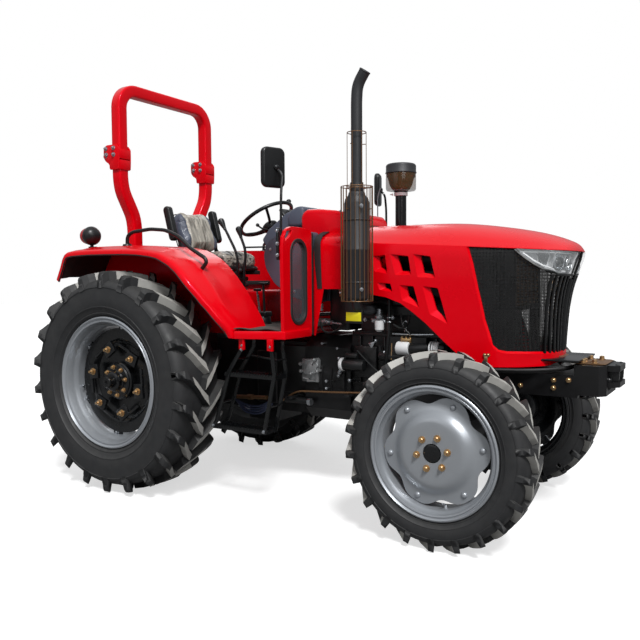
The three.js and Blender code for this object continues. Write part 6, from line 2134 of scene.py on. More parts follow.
@dataclass
class SteeringWheel:
    """A three-spoke wheel with a domed hub and a spinner knob, and its column."""

    x: float = -0.464
    z: float = 1.718
    tilt: float = 0.563
    radius: float = 0.186
    grip: float = 0.0125
    dish: float = 0.055

    @property
    def place(self) -> Matrix:
        """Puts the wheel's own plane where the column holds it."""
        return Matrix.Translation((self.x, 0, self.z)) @ Matrix.Rotation(-self.tilt, 4, "Y")

    def wheel(self) -> Form:
        """Rim, dished hub and spokes, made flat and then put in place."""
        form = Form()
        form.ring((0, 0, 0), (0, 0, 1), self.radius, self.grip, 72, 14)
        form.lathe([(0, -0.036), (0.034, -0.036), (0.048, -0.026), (0.052, -0.010), (0.052, 0.004),
                    (0.048, 0.012), (0.036, 0.020), (0.016, 0.024), (0, 0.0245)], (0, 0, -self.dish),
                    (0, 0, 1), 40)
        for k in range(3):
            form.ring((0, 0, -self.dish - 0.022 + 0.009 * k), (0, 0, 1), 0.051, 0.002, 40, 6)
        for angle in (70, 190, 310):
            u, v = math.cos(math.radians(angle)), math.sin(math.radians(angle))
            form.tube(eased([(u * 0.03, v * 0.03, -self.dish), (u * 0.10, v * 0.10, -self.dish + 0.008),
                             (u * self.radius, v * self.radius, 0.0)], 0.05, 6), 0.0095, 12)
        knob = (self.radius * math.cos(math.radians(25)), self.radius * math.sin(math.radians(25)))
        form.rod((*knob, 0.0), (*knob, 0.022), 0.007, sides=12)
        form.ball((*knob, 0.030), 0.018, (1, 1, 0.85), 20)
        bmesh.ops.transform(form.bm, matrix=self.place, verts=form.bm.verts[:])
        return form

    def column(self) -> Form:
        """The column's ribbed sleeve, below the wheel."""
        form = Form()
        form.lathe([(0.012, -0.085), (0.026, -0.088), (0.036, -0.096), (0.038, -0.11), (0.036, -0.13),
                    (0.030, -0.15), (0.030, -0.20)], (0, 0, 0), (0, 0, 1), 28)
        for k in range(5):
            form.ring((0, 0, -0.140 - 0.012 * k), (0, 0, 1), 0.031, 0.004, 28, 6)
        form.hose([(0.0, -0.03, -0.09), (0.0, -0.11, -0.085), (0.01, -0.155, -0.07)], 0.006, 0.03)
        form.ball((0.012, -0.160, -0.068), 0.012, sides=14)
        bmesh.ops.transform(form.bm, matrix=self.place, verts=form.bm.verts[:])
        return form

    def build(self, shop: Workshop) -> None:
        """Makes the wheel and its column."""
        shop.piece("wheel_rim_and_hub", self.wheel(), Finishes.plastic, "steering_wheel", "black_plastic",
                   40.0, ["steering_wheel"])
        shop.piece("column_sleeve", self.column(), Finishes.rubber, "chassis", "black_plastic", 40.0,
                   ["steering_column"])


@dataclass
class Controls:
    """Levers, boots, pedals, the floor mat and the small levers beside the seat."""

    lever_y: float = -0.380
    floor: float = 1.031
    cluster: tuple = (-0.300, -0.270)
    long: tuple = ((-0.395, 1.05), (-0.412, 1.283), (-0.409, 1.469), (-0.512, 1.643))
    short: tuple = ((-0.362, 1.05), (-0.366, 1.345), (-0.346, 1.490), (-0.388, 1.585))

    def levers(self) -> Form:
        """The two bent range levers."""
        form = Form()
        for points, shift in ((self.long, 0.0), (self.short, 0.004)):
            form.hose([(x, self.lever_y + shift, z) for x, z in points], 0.0085, 0.06, 12)
        form.hose([(-0.455, self.lever_y + 0.01, 1.00), (-0.46, self.lever_y + 0.01, 1.19),
                   (-0.475, self.lever_y + 0.01, 1.33)], 0.007, 0.04)
        form.tube([(-0.36, self.lever_y + 0.004, 1.515), (-0.30, -0.25, 1.52), (-0.24, -0.16, 1.525)],
                  0.006, 8)
        return form

    def knobs(self) -> Form:
        """Tapered knobs on top of the levers."""
        form = Form()
        for at, way, size in (((-0.507, -0.380, 1.632), (-0.52, 0, 0.85), 1.0),
                              ((-0.384, -0.376, 1.575), (-0.3, 0, 0.95), 0.95),
                              ((-0.474, -0.370, 1.322), (-0.1, 0, 1.0), 0.8)):
            outline = [(0, -0.002), (0.010, -0.002), (0.011, 0.012), (0.017, 0.036), (0.021, 0.056),
                       (0.020, 0.068), (0.012, 0.076), (0, 0.078)]
            form.lathe([(r * size, h * size) for r, h in outline], at, way, 22)
        return form

    def boots(self) -> Form:
        """Ribbed rubber boots at the levers' feet."""
        form = Form()
        for x, y in ((-0.398, self.lever_y), (-0.363, self.lever_y + 0.004)):
            outline = [(0.034, 0.0)]
            for k in range(9):
                r = 0.030 - 0.0018 * k
                outline += [(r, 0.012 + 0.018 * k), (r - 0.007, 0.021 + 0.018 * k)]
            outline += [(0.010, 0.185)]
            form.lathe(outline, (x, y, self.floor + 0.012), (-0.03, 0, 1), 20)
        form.block((-0.445, self.lever_y - 0.045, self.floor),
                   (-0.325, self.lever_y + 0.045, self.floor + 0.014), 0.004)
        return form

    def pedals(self) -> Form:
        """Ribbed pads on bent arms, on a cross shaft."""
        form = Form()
        form.rod((-0.020, -0.250, self.floor + 0.060), (-0.020, 0.250, self.floor + 0.060), 0.012)
        for y in (-0.235, 0.235):
            form.block((-0.045, y - 0.006, self.floor), (0.005, y + 0.006, self.floor + 0.075), 0.002)
        for y in (-0.170, -0.095, 0.190):
            form.hose([(-0.020, y, self.floor + 0.060), (-0.030, y, self.floor + 0.12),
                       (-0.064, y, self.floor + 0.180)], 0.009, 0.03)
            turn = Matrix.Rotation(math.radians(-30), 4, "Y")
            spot = Vector((-0.069, y, self.floor + 0.186))
            size = Vector((0.035, 0.032, 0.006))
            form.block(spot - size, spot + size, 0.004, 2, turn)
            for k in range(5):
                rib = spot + turn @ Vector((-0.026 + 0.013 * k, 0, 0.007))
                form.block(rib - Vector((0.003, 0.028, 0.002)), rib + Vector((0.003, 0.028, 0.002)), 0, 1,
                           turn)
        return form

    def deck(self) -> Form:
        """The red deck with its folded-down edge and the two step-rail brackets under it."""
        form = Form()
        right = [(0.060, -0.397), (0.144, -0.397), (0.144, -0.668), (-0.139, -0.764), (-0.139, -0.440),
                 (-0.490, -0.440)]
        outline = right + [(x, -y) for x, y in reversed(right)]
        verts = [form.bm.verts.new((x, y, self.floor - 0.001)) for x, y in outline]
        face = form.bm.faces.new(verts)
        made = bmesh.ops.extrude_face_region(form.bm, geom=[face])
        low = [g for g in made["geom"] if isinstance(g, bmesh.types.BMVert)]
        bmesh.ops.translate(form.bm, verts=low, vec=(0, 0, -0.0445))
        form.chamfer(form.crisp(verts + low, 30), 0.004, 3)
        for side in (-1, 1):
            for x in (-0.112, 0.084):
                form.block((x - 0.022, side * 0.724 - 0.004, 0.925),
                           (x + 0.022, side * 0.724 + 0.004, 0.990), 0.002)
                form.block((x + 0.014, side * 0.724 - 0.018, 0.925),
                           (x + 0.022, side * 0.724 + 0.004, 0.990), 0.002)
        return form

    def tunnel(self) -> Form:
        """The red cover over the gearbox, between the seat and the pedals."""
        form = Form()
        form.block((-0.700, -0.165, self.floor - 0.002), (-0.360, 0.165, 1.247), 0.022, 4)
        return form

    def mat(self) -> Form:
        """The ribbed rubber mat, wavy and lapped over the platform's edge."""
        form = Form()

        def spot(u: float, v: float) -> Point:
            """A point of the surface for its share along and its share across."""
            x = -0.44 + u * 0.545
            y = (v * 2 - 1) * (0.440 if x < -0.160 else min(0.752, 0.655 + (0.110 - x) * 0.33))
            edge = max(0.0, (abs(y) - 0.60) / 0.12)
            wave = 0.005 * noise.noise(Vector((x * 14, y * 9, 0.3))) + 0.004 * math.sin(x * 40) * edge
            return (x, y, self.floor + 0.006 + wave + 0.006 * edge)

        form.sheet(60, 90, spot)
        form.thicken(0.005)
        return form

    def block(self) -> Form:
        """The dark control block on the floor, with its tall lever and foot plate."""
        form = Form()
        x, y = self.cluster
        form.rod((x, y, self.floor), (x, y, self.floor + 0.055), 0.055, 0.048, 28, 0.004)
        form.block((x - 0.045, y - 0.04, self.floor + 0.05), (x + 0.045, y + 0.04, self.floor + 0.085),
                   0.008, 3)
        form.rod((x - 0.125, y + 0.02, self.floor + 0.02), (x - 0.025, y, self.floor + 0.05), 0.014, 0.010,
                 12)
        form.hose([(x + 0.012, y, self.floor + 0.08), (x + 0.004, y, self.floor + 0.255)], 0.008)
        form.block((x - 0.020, y - 0.022, self.floor + 0.252), (x + 0.030, y + 0.022, self.floor + 0.266),
                   0.003)
        form.block((x - 0.062, y - 0.018, self.floor + 0.212), (x - 0.022, y + 0.018, self.floor + 0.228),
                   0.003)
        return form

    def bright_levers(self) -> Form:
        """Plated levers and linkage on the control block."""
        form = Form()
        x, y = self.cluster
        form.hose([(x - 0.020, y, self.floor + 0.06), (x - 0.038, y, self.floor + 0.16),
                   (x - 0.045, y, self.floor + 0.215)], 0.006, 0.04)
        form.hose([(x - 0.010, y, self.floor + 0.06), (x - 0.085, y, self.floor + 0.115)], 0.006, 0.04)
        form.block((x - 0.135, y - 0.012, self.floor + 0.080), (x - 0.075, y + 0.012, self.floor + 0.092),
                   0.003)
        for dx, dy, z in ((-0.035, -0.045, 0.03), (0.02, -0.042, 0.035), (-0.035, -0.04, 0.070)):
            form.bolt((x + dx, y + dy, self.floor + z), (0, -1, 0.2), 0.014)
        form.hose([(x - 0.045, y + 0.02, self.floor + 0.05), (x - 0.050, y + 0.02, self.floor + 0.19)],
                  0.005, 0.04)
        return form

    def build(self, shop: Workshop) -> None:
        """Makes all the controls."""
        for name, form, finish, slot, stands in (
                ("range_levers", self.levers(), Finishes.black, "black_paint", ["gear_levers"]),
                ("lever_knobs", self.knobs(), Finishes.plastic, "black_plastic", []),
                ("lever_boots", self.boots(), Finishes.rubber, "rubber", []),
                ("pedal_pads_and_arms", self.pedals(), Finishes.black, "black_paint", ["foot_pedals"]),
                ("platform_deck", self.deck(), Finishes.red, "red_paint", ["platform"]),
                ("tunnel_cover", self.tunnel(), Finishes.red, "red_paint", []),
                ("floor_mat", self.mat(), Finishes.mat, "rubber", []),
                ("control_block", self.block(), Finishes.plastic, "black_plastic", []),
                ("control_levers", self.bright_levers(), Finishes.steel, "zinc_steel", [])):
            shop.piece(name, form, finish, "chassis", slot, 38.0, stands)


# ------------------------------------------------------------------ stack, air intake, mirrors


@dataclass
class Stack:
    """The exhaust: silencer, curved pipe, wire guard and the pipe down to the engine."""

    x: float = 0.465
    y: float = -0.430
    body: float = 0.0700
    low: float = 1.200
    high: float = 1.790
    pipe: float = 0.0312
    clamps: tuple = (1.300, 1.640)
    guard_half: float = 0.0875
    guard_low: float = 1.196
    guard_high: float = 1.822
    neck_half: float = 0.052
    neck_low: float = 1.815
    neck_high: float = 2.115
    mouth: Point = (0.052, 0, 2.437)

    def silencer(self) -> Form:
        """The silencer's drum with its rolled ends, clamps and pipes."""
        form = Form()
        r = self.body
        form.lathe([(0, self.low), (r - 0.016, self.low + 0.001), (r - 0.004, self.low + 0.008),
                    (r, self.low + 0.016), (r, 1.470), (r + 0.002, 1.474), (r + 0.002, 1.482), (r, 1.486),
                    (r, self.high - 0.060), (r - 0.006, self.high - 0.034),
                    (r - 0.022, self.high - 0.014), (0.045, self.high),
                    (0.038, self.high + 0.006), (0.036, self.high + 0.055), (0.0312, self.high + 0.056)],
                   (self.x, self.y, 0), (0, 0, 1), 56)
        form.hose([(self.x, self.y, self.high), (self.x, self.y, 2.290), (self.x + 0.006, self.y, 2.370),
                   (self.x + self.mouth[0], self.y, self.mouth[2])], self.pipe, 0.11, 24)
        form.ring((self.x + self.mouth[0], self.y, self.mouth[2]), (0.56, 0, 0.82),
                  self.pipe - 0.003, 0.005, 32, 8)
        for z in self.clamps:
            form.ring((self.x, self.y, z), (0, 0, 1), r + 0.002, 0.0035, 56, 6)
            form.block((self.x - 0.012, self.y + r - 0.008, z - 0.016),
                       (self.x + 0.012, self.y + r + 0.030, z + 0.016), 0.002)
        form.hose([(self.x, self.y, 1.205), (self.x, self.y, 1.165), (self.x, -0.335, 1.140),
                   (self.x, -0.20, 1.140)], 0.030, 0.06, 20)
        return form

    def guard(self) -> Form:
        """Thin brownish wires that keep hands off the hot pipe."""
        form = Form()
        for half, low, high, count in ((self.guard_half, self.guard_low, self.guard_high, 22),
                                       (self.neck_half, self.neck_low, self.neck_high, 6)):
            for k in range(count):
                angle = math.tau * k / count + 0.55
                u, v = half * math.cos(angle), half * math.sin(angle)
                form.tube([(self.x + u, self.y + v, low), (self.x + u, self.y + v, high)], 0.0021, 6)
            for z in (low, high):
                form.ring((self.x, self.y, z), (0, 0, 1), half, 0.0026, 40, 6)
        wide, neck = self.guard_half, self.neck_half
        for angle in (0.3, 2.4, 4.5):
            for z in (1.30, 1.70):
                form.tube([self.around(angle, 0.088, z), self.around(angle, 0.068, z)], 0.003, 6)
            form.tube([self.around(angle, neck, 1.818), self.around(angle, wide, 1.820)], 0.0024, 6)
            form.tube([self.around(angle, neck, 2.05), self.around(angle, 0.030, 2.05)], 0.0024, 6)
        return form

    def around(self, angle: float, radius: float, z: float) -> Point:
        """A point round the stack's middle line."""
        return (self.x + radius * math.cos(angle), self.y + radius * math.sin(angle), z)

    def bolts(self) -> Form:
        """Bright clamp bolts on the drum and its flange."""
        form = Form()
        for z in self.clamps:
            form.bolt((self.x + 0.012, self.y + self.body + 0.018, z), (1, 0, 0), 0.014, length=0.006)
        for angle in (0.6, 2.7, 4.8):
            form.bolt(self.around(angle, 0.05, 1.2035), (0, 0, -1), 0.014)
        for z in (1.262, 1.712):
            form.bolt((self.x + 0.062, self.y - self.body * 0.90, z), (0.6, -1, 0), 0.014, length=0.006)
            form.bolt((self.x - 0.075, self.y - self.body * 0.50, z - 0.02), (-1, -0.5, 0), 0.013,
                      length=0.006)
        return form

    def label(self) -> Form:
        """A small blank yellow plate under the silencer."""
        form = Form()
        form.block((0.394, -0.4300, 1.084), (0.489, -0.4265, 1.133), 0.001)
        return form

    def build(self, shop: Workshop) -> None:
        """Makes the stack."""
        shop.piece("silencer_and_pipe", self.silencer(), Finishes.heat, "chassis", "muffler_grey", 38.0,
                   ["exhaust_stack"])
        shop.piece("silencer_guard", self.guard(), Finishes.bronze, "chassis", "muffler_grey", 40.0)
        shop.piece("silencer_bolts", self.bolts(), Finishes.steel, "chassis", "zinc_steel", 30.0)
        shop.piece("blank_label", self.label(), Finishes.label, "chassis", "amber_lens", 30.0)


@dataclass
class Intake:
    """The air intake: pipe, dust bowl and lid."""

    x: float = 0.322
    y: float = 0.425

    def spun(self, outline: Sequence[Point]) -> Form:
        """A form spun round the intake's axis."""
        form = Form()
        form.lathe(outline, (self.x, self.y, 0), (0, 0, 1), 56)
        return form

    def build(self, shop: Workshop) -> None:
        """Makes the intake's parts."""
        lid = self.spun([(0, 2.070), (0.070, 2.069), (0.088, 2.066), (0.096, 2.060), (0.099, 2.052),
                         (0.099, 2.016),
                         (0.102, 2.012), (0.102, 2.006), (0.095, 2.004), (0.0, 2.004)])
        bowl = self.spun([(0, 2.003), (0.090, 2.003), (0.088, 1.985), (0.074, 1.930), (0.060, 1.905),
                          (0.046, 1.892),
                          (0.044, 1.884), (0, 1.884)])
        skirt = self.spun([(0.0985, 2.003), (0.0995, 1.96), (0.0990, 1.905), (0.094, 1.894), (0.060, 1.888),
                           (0.046, 1.886)])
        pipe = self.spun([(0, 1.882), (0.036, 1.882), (0.036, 1.400), (0.0, 1.400)])
        clamp = self.spun([(0.0365, 1.858), (0.0445, 1.860), (0.0445, 1.880), (0.0365, 1.882)])
        clamp.bolt((self.x - 0.040, self.y - 0.034, 1.868), (-0.8, -0.5, 0), 0.012, length=0.012)
        for k in range(18):
            angle = math.tau * k / 18
            out = Vector((math.cos(angle), math.sin(angle), 0))
            spot = Vector((self.x, self.y, 1.990)) + out * 0.0915
            bowl.rod(spot - Vector((0, 0, 0.010)), spot + Vector((0, 0, 0.012)), 0.003, sides=6)
        stick = Form()
        stick.hose([(0.215, 0.30, 1.640), (0.215, 0.30, 1.850), (0.235, 0.30, 1.905)], 0.004, 0.03)
        for name, form, finish, slot, stands in (
                ("intake_lid", lid, Finishes.heat, "black_plastic", ["air_intake"]),
                ("intake_bowl", bowl, Finishes.plastic, "black_plastic", []),
                ("intake_skirt", skirt, Finishes.smoke, "black_plastic", []),
                ("intake_pipe", pipe, Finishes.black, "black_plastic", []),
                ("intake_clamp", clamp, Finishes.pale, "zinc_steel", []),
                ("thin_stick", stick, Finishes.steel, "zinc_steel", [])):
            shop.piece(name, form, finish, "chassis", slot, 38.0, stands)


@dataclass
class Mirrors:
    """Rear-view mirrors on bent rods clamped to the leg shields."""

    head: Point = (0.046, -0.632, 1.937)
    size: Point = (0.036, 0.150, 0.222)
    turned: float = -20.0
    arm: tuple = ((0.104, -0.645, 1.44), (0.106, -0.640, 1.80), (0.104, -0.622, 1.90), (0.060, -0.628, 1.937))

    @property
    def place(self) -> Matrix:
        """Where a mirror's head stands, turned on its rod."""
        return Matrix.Translation(self.head) @ Matrix.Rotation(math.radians(self.turned), 4, "Z")

    def backs(self) -> Form:
        """The rounded black housings, seen from the front."""
        form = Form()
        width, height = self.size[1], self.size[2]
        outline = rounded_box(-width / 2, width / 2, -height / 2, height / 2, 0.035, 8)
        form.plate(outline, Plane.FRONT, -0.018, 0.018, 0.013, 4, 40.0)
        bmesh.ops.transform(form.bm, matrix=self.place, verts=form.bm.verts[:])
        return form.both_sides()

    def panes(self) -> Form:
        """The mirror glass, on the rear face."""
        form = Form()
        width, height = self.size[1] - 0.020, self.size[2] - 0.020
        outline = rounded_box(-width / 2, width / 2, -height / 2, height / 2, 0.028, 8)
        form.plate(outline, Plane.FRONT, -0.0195, -0.0170)
        bmesh.ops.transform(form.bm, matrix=self.place, verts=form.bm.verts[:])
        return form.both_sides()

    def rods(self) -> Form:
        """The bent rods, their ball joints and their clamp plates."""
        form = Form()
        form.hose(self.arm, 0.0075, 0.05, 14)
        form.ball((0.066, -0.628, 1.937), 0.018, sides=18)
        form.block((0.096, -0.680, 1.425), (0.1115, -0.644, 1.600), 0.004)
        form.rod((0.104, -0.650, 1.44), (0.104, -0.650, 1.59), 0.013, sides=16)
        return form.both_sides()

    def bolts(self) -> Form:
        """Bright bolts through the clamp plates."""
        form = Form()
        for z in (1.452, 1.515, 1.585):
            form.bolt((0.106, -0.680, z), (0, -1, 0), 0.014, length=0.004)
        return form.both_sides()

    def build(self, shop: Workshop) -> None:
        """Makes both mirrors."""
        shop.piece("mirror_backs", self.backs(), Finishes.plastic, "chassis", "black_plastic", 40.0,
                   ["mirror_right", "mirror_left"])
        shop.piece("mirror_panes", self.panes(), Finishes.mirror, "chassis", "clear_glass", 40.0)
        shop.piece("mirror_rods", self.rods(), Finishes.black, "chassis", "black_paint", 40.0)
        shop.piece("mirror_bolts", self.bolts(), Finishes.steel, "chassis", "zinc_steel", 30.0)


# ------------------------------------------------------------------ wheels


@dataclass
class LuggedTyre:
    """A traction tyre: a carcass with a ringed wall, and two staggered rows of curved lugs."""

    end: str
    axle_x: float
    hub_z: float
    track: float
    half: float
    flange: float
    seat: float
    bead: float
    lugs: int
    lug_height: float
    lug_width: float
    lead: float
    # Each station of a lug, from its foot on the wall to the middle: where it lies across the tread,
    # how deep its top and its root are under the tyre's radius, both in lug heights, its share of
    # the lead round the tyre, and its share of the width.
    stations: tuple = (
        (1.000, 2.25, 2.45, 0.00, 0.62), (1.004, 1.55, 2.40, 0.00, 0.66), (0.965, 1.34, 2.20, 0.00, 0.68),
        (0.955, 0.62, 2.10, 0.00, 0.80), (0.900, 0.25, 1.90, 0.01, 0.84), (0.790, 0.07, 1.55, 0.07, 0.88),
        (0.620, 0.02, 1.30, 0.24, 0.92), (0.430, 0.00, 1.15, 0.48, 0.98), (0.220, 0.00, 1.10, 0.78, 1.06),
        (-0.060, 0.00, 1.10, 1.08, 1.18),
    )
    # The carcass from the middle of the tread to the bead: its share of the half width, and how deep
    # it lies in lug heights.
    crown: tuple = ((0.0, 1.0), (0.40, 1.03), (0.66, 1.16), (0.82, 1.42), (0.92, 1.80), (0.965, 2.12),
                    (0.972, 2.22), (0.985, 2.24), (0.990, 2.30), (0.985, 2.37), (0.972, 2.40))
    # The wall under the ring: its share of the wall's depth, and of the half width.
    wall: tuple = ((0.50, 0.985), (0.60, 0.998), (0.70, 0.992), (0.76, 0.972), (0.765, 0.982),
                   (0.785, 0.980), (0.795, 0.958), (0.86, 0.915), (0.90, 0.885), (0.91, 0.895),
                   (0.93, 0.888), (0.94, 0.865), (0.97, 0.82))

    def carcass(self) -> Form:
        """Spins the carcass, with the ring at the lugs' feet and the ribs near the bead."""
        depth = self.hub_z - self.flange
        outer = [(self.hub_z - d * self.lug_height, y * self.half) for y, d in self.crown]
        outer += [(self.hub_z - share * depth, y * self.half) for share, y in self.wall
                  if self.hub_z - share * depth < outer[-1][0] - 0.006]
        outer += [(self.flange + 0.002, self.bead), (self.seat + 0.001, self.bead)]
        other = [(r, -y) for r, y in reversed(outer[1:])]
        form = Form()
        form.lathe(outer + other, (self.axle_x, -self.track, self.hub_z), (0, -1, 0), 96, closed=True)
        return form

    def corners(self, station: tuple, row: int) -> list[Point]:
        """The four corners of a lug's section.

        Args:
            station: the station's shares.
            row: -1 for the outer row, 1 for the inner one, half a pitch behind.
        """
        across, top, root, lead, share = station
        half_width = self.lug_width * share / 2
        base = lead * self.lead + (math.pi / self.lugs if row > 0 else 0.0)
        out = []
        for depth, side, spread in ((top, -1, 1.0), (top, 1, 1.0), (root, 1, 1.45), (root, -1, 1.45)):
            radius = self.hub_z - depth * self.lug_height
            slew = 0.3 * half_width * side * (1.0 if lead > 0.05 else 0.0)
            angle = base + side * half_width * spread / self.hub_z
            out.append((self.axle_x + radius * math.sin(angle),
                        -self.track + row * (across * self.half - slew),
                        self.hub_z + radius * math.cos(angle)))
        return out

    def one_lug(self, form: Form, row: int) -> None:
        """Draws one lug out from its foot, station by station."""
        face = form.bm.faces.new([form.bm.verts.new(c) for c in self.corners(self.stations[0], row)])
        for station in self.stations[1:]:
            made = bmesh.ops.extrude_face_region(form.bm, geom=[face])
            face = next(g for g in made["geom"] if isinstance(g, bmesh.types.BMFace))
            for vert, corner in zip(face.verts, self.corners(station, row)):
                vert.co = corner

    def tread(self) -> Form:
        """Lays both rows of lugs round the carcass."""
        form = Form()
        for row in (-1, 1):
            self.one_lug(form, row)
        form.turned_copies(self.lugs, (self.axle_x, -self.track, self.hub_z), (0, 1, 0))
        return form

    def is_painted_light(self, face: bmesh.types.BMFace) -> bool:
        """Whether a face is a lug's crown or its outer flank, which get the pale painted light."""
        spot = face.calc_center_median()
        out = Vector((spot.x - self.axle_x, 0, spot.z - self.hub_z))
        ahead = Vector((-out.z, 0, out.x)).normalized()
        near_middle = abs(abs(spot.y) - self.track) < self.half * 0.66
        return out.length > self.hub_z - self.lug_height * 0.05 or (
            near_middle and face.normal.dot(ahead) < -0.45)

    def build(self, shop: Workshop) -> None:
        """Makes both sides' tyres."""
        for side in SIDES:
            for part, form, angle in (("carcass", self.carcass(), 35.0), ("lugs", self.tread(), 24.0)):
                if side == "left":
                    form.mirrored()
                lugs = part == "lugs"
                # Lug crowns and outer flanks get the pale lug-face finish as painted light.
                shop.piece(f"{self.end}_tyre_{part}_{side}", form, Finishes.tyre,
                           f"{self.end}_wheel_{side}", "tyre", angle,
                           [] if lugs else [f"{self.end}_tyre_{side}"],
                           accents=[(Finishes.tread, self.is_painted_light)] if lugs else [])


@dataclass
class RolledRim:
    """A rolled wheel rim: curled flanges, seats, and a drop centre, from one sheet."""

    end: str
    axle_x: float
    hub_z: float
    track: float
    half: float
    flange: float
    seat: float
    well: float
    wall: float = 0.007

    def outline(self) -> list[tuple[float, float]]:
        """The closed section, from the outer flange over the well and back along the inside."""
        h, f, s, w, t = self.half, self.flange, self.seat, self.well, self.wall
        half = [(f - 0.002, h), (f + 0.002, h - 0.004), (f - 0.001, h - 0.010), (f - 0.008, h - 0.013),
                (s + 0.006, h - 0.015), (s, h - 0.022), (s - 0.003, h * 0.62), (s - 0.006, h * 0.55),
                (w + 0.003, h * 0.45), (w, h * 0.40)]
        inner = [(w - t, h * 0.42), (w - t + 0.003, h * 0.50), (s - t - 0.017, h * 0.60),
                 (s - t - 0.012, h * 0.68), (s - t - 0.006, h - 0.024), (s - 0.009, h - 0.016),
                 (s - 0.006, h - 0.007), (s + 0.001, h - 0.005), (s + 0.005, h - 0.009),
                 (s + 0.008, h - 0.009), (f - 0.011, h - 0.003), (f - 0.007, h + 0.0015)]
        other = [(r, -y) for r, y in reversed(half)]
        other_inner = [(r, -y) for r, y in reversed(inner)]
        return half + other + other_inner + inner

    def form(self) -> Form:
        """Spins the section into the rim."""
        form = Form()
        form.lathe(self.outline(), (self.axle_x, -self.track, self.hub_z), (0, -1, 0), 96, closed=True)
        return form

    def valve(self, form: Form, angle: float) -> None:
        """Adds the tyre valve, standing out of the well."""
        r = self.well - self.wall
        x, z = self.axle_x + r * math.cos(angle), self.hub_z + r * math.sin(angle)
        inward = Vector((-math.cos(angle), 0, -math.sin(angle)))
        foot = Vector((x, -self.track - self.half * 0.3, z))
        form.hose([foot, foot + inward * 0.018, foot + inward * 0.03 + Vector((0, -0.03, 0))], 0.004, 0.012,
                  8)
        form.rod(foot, foot + inward * 0.012, 0.009, 0.006, 12)


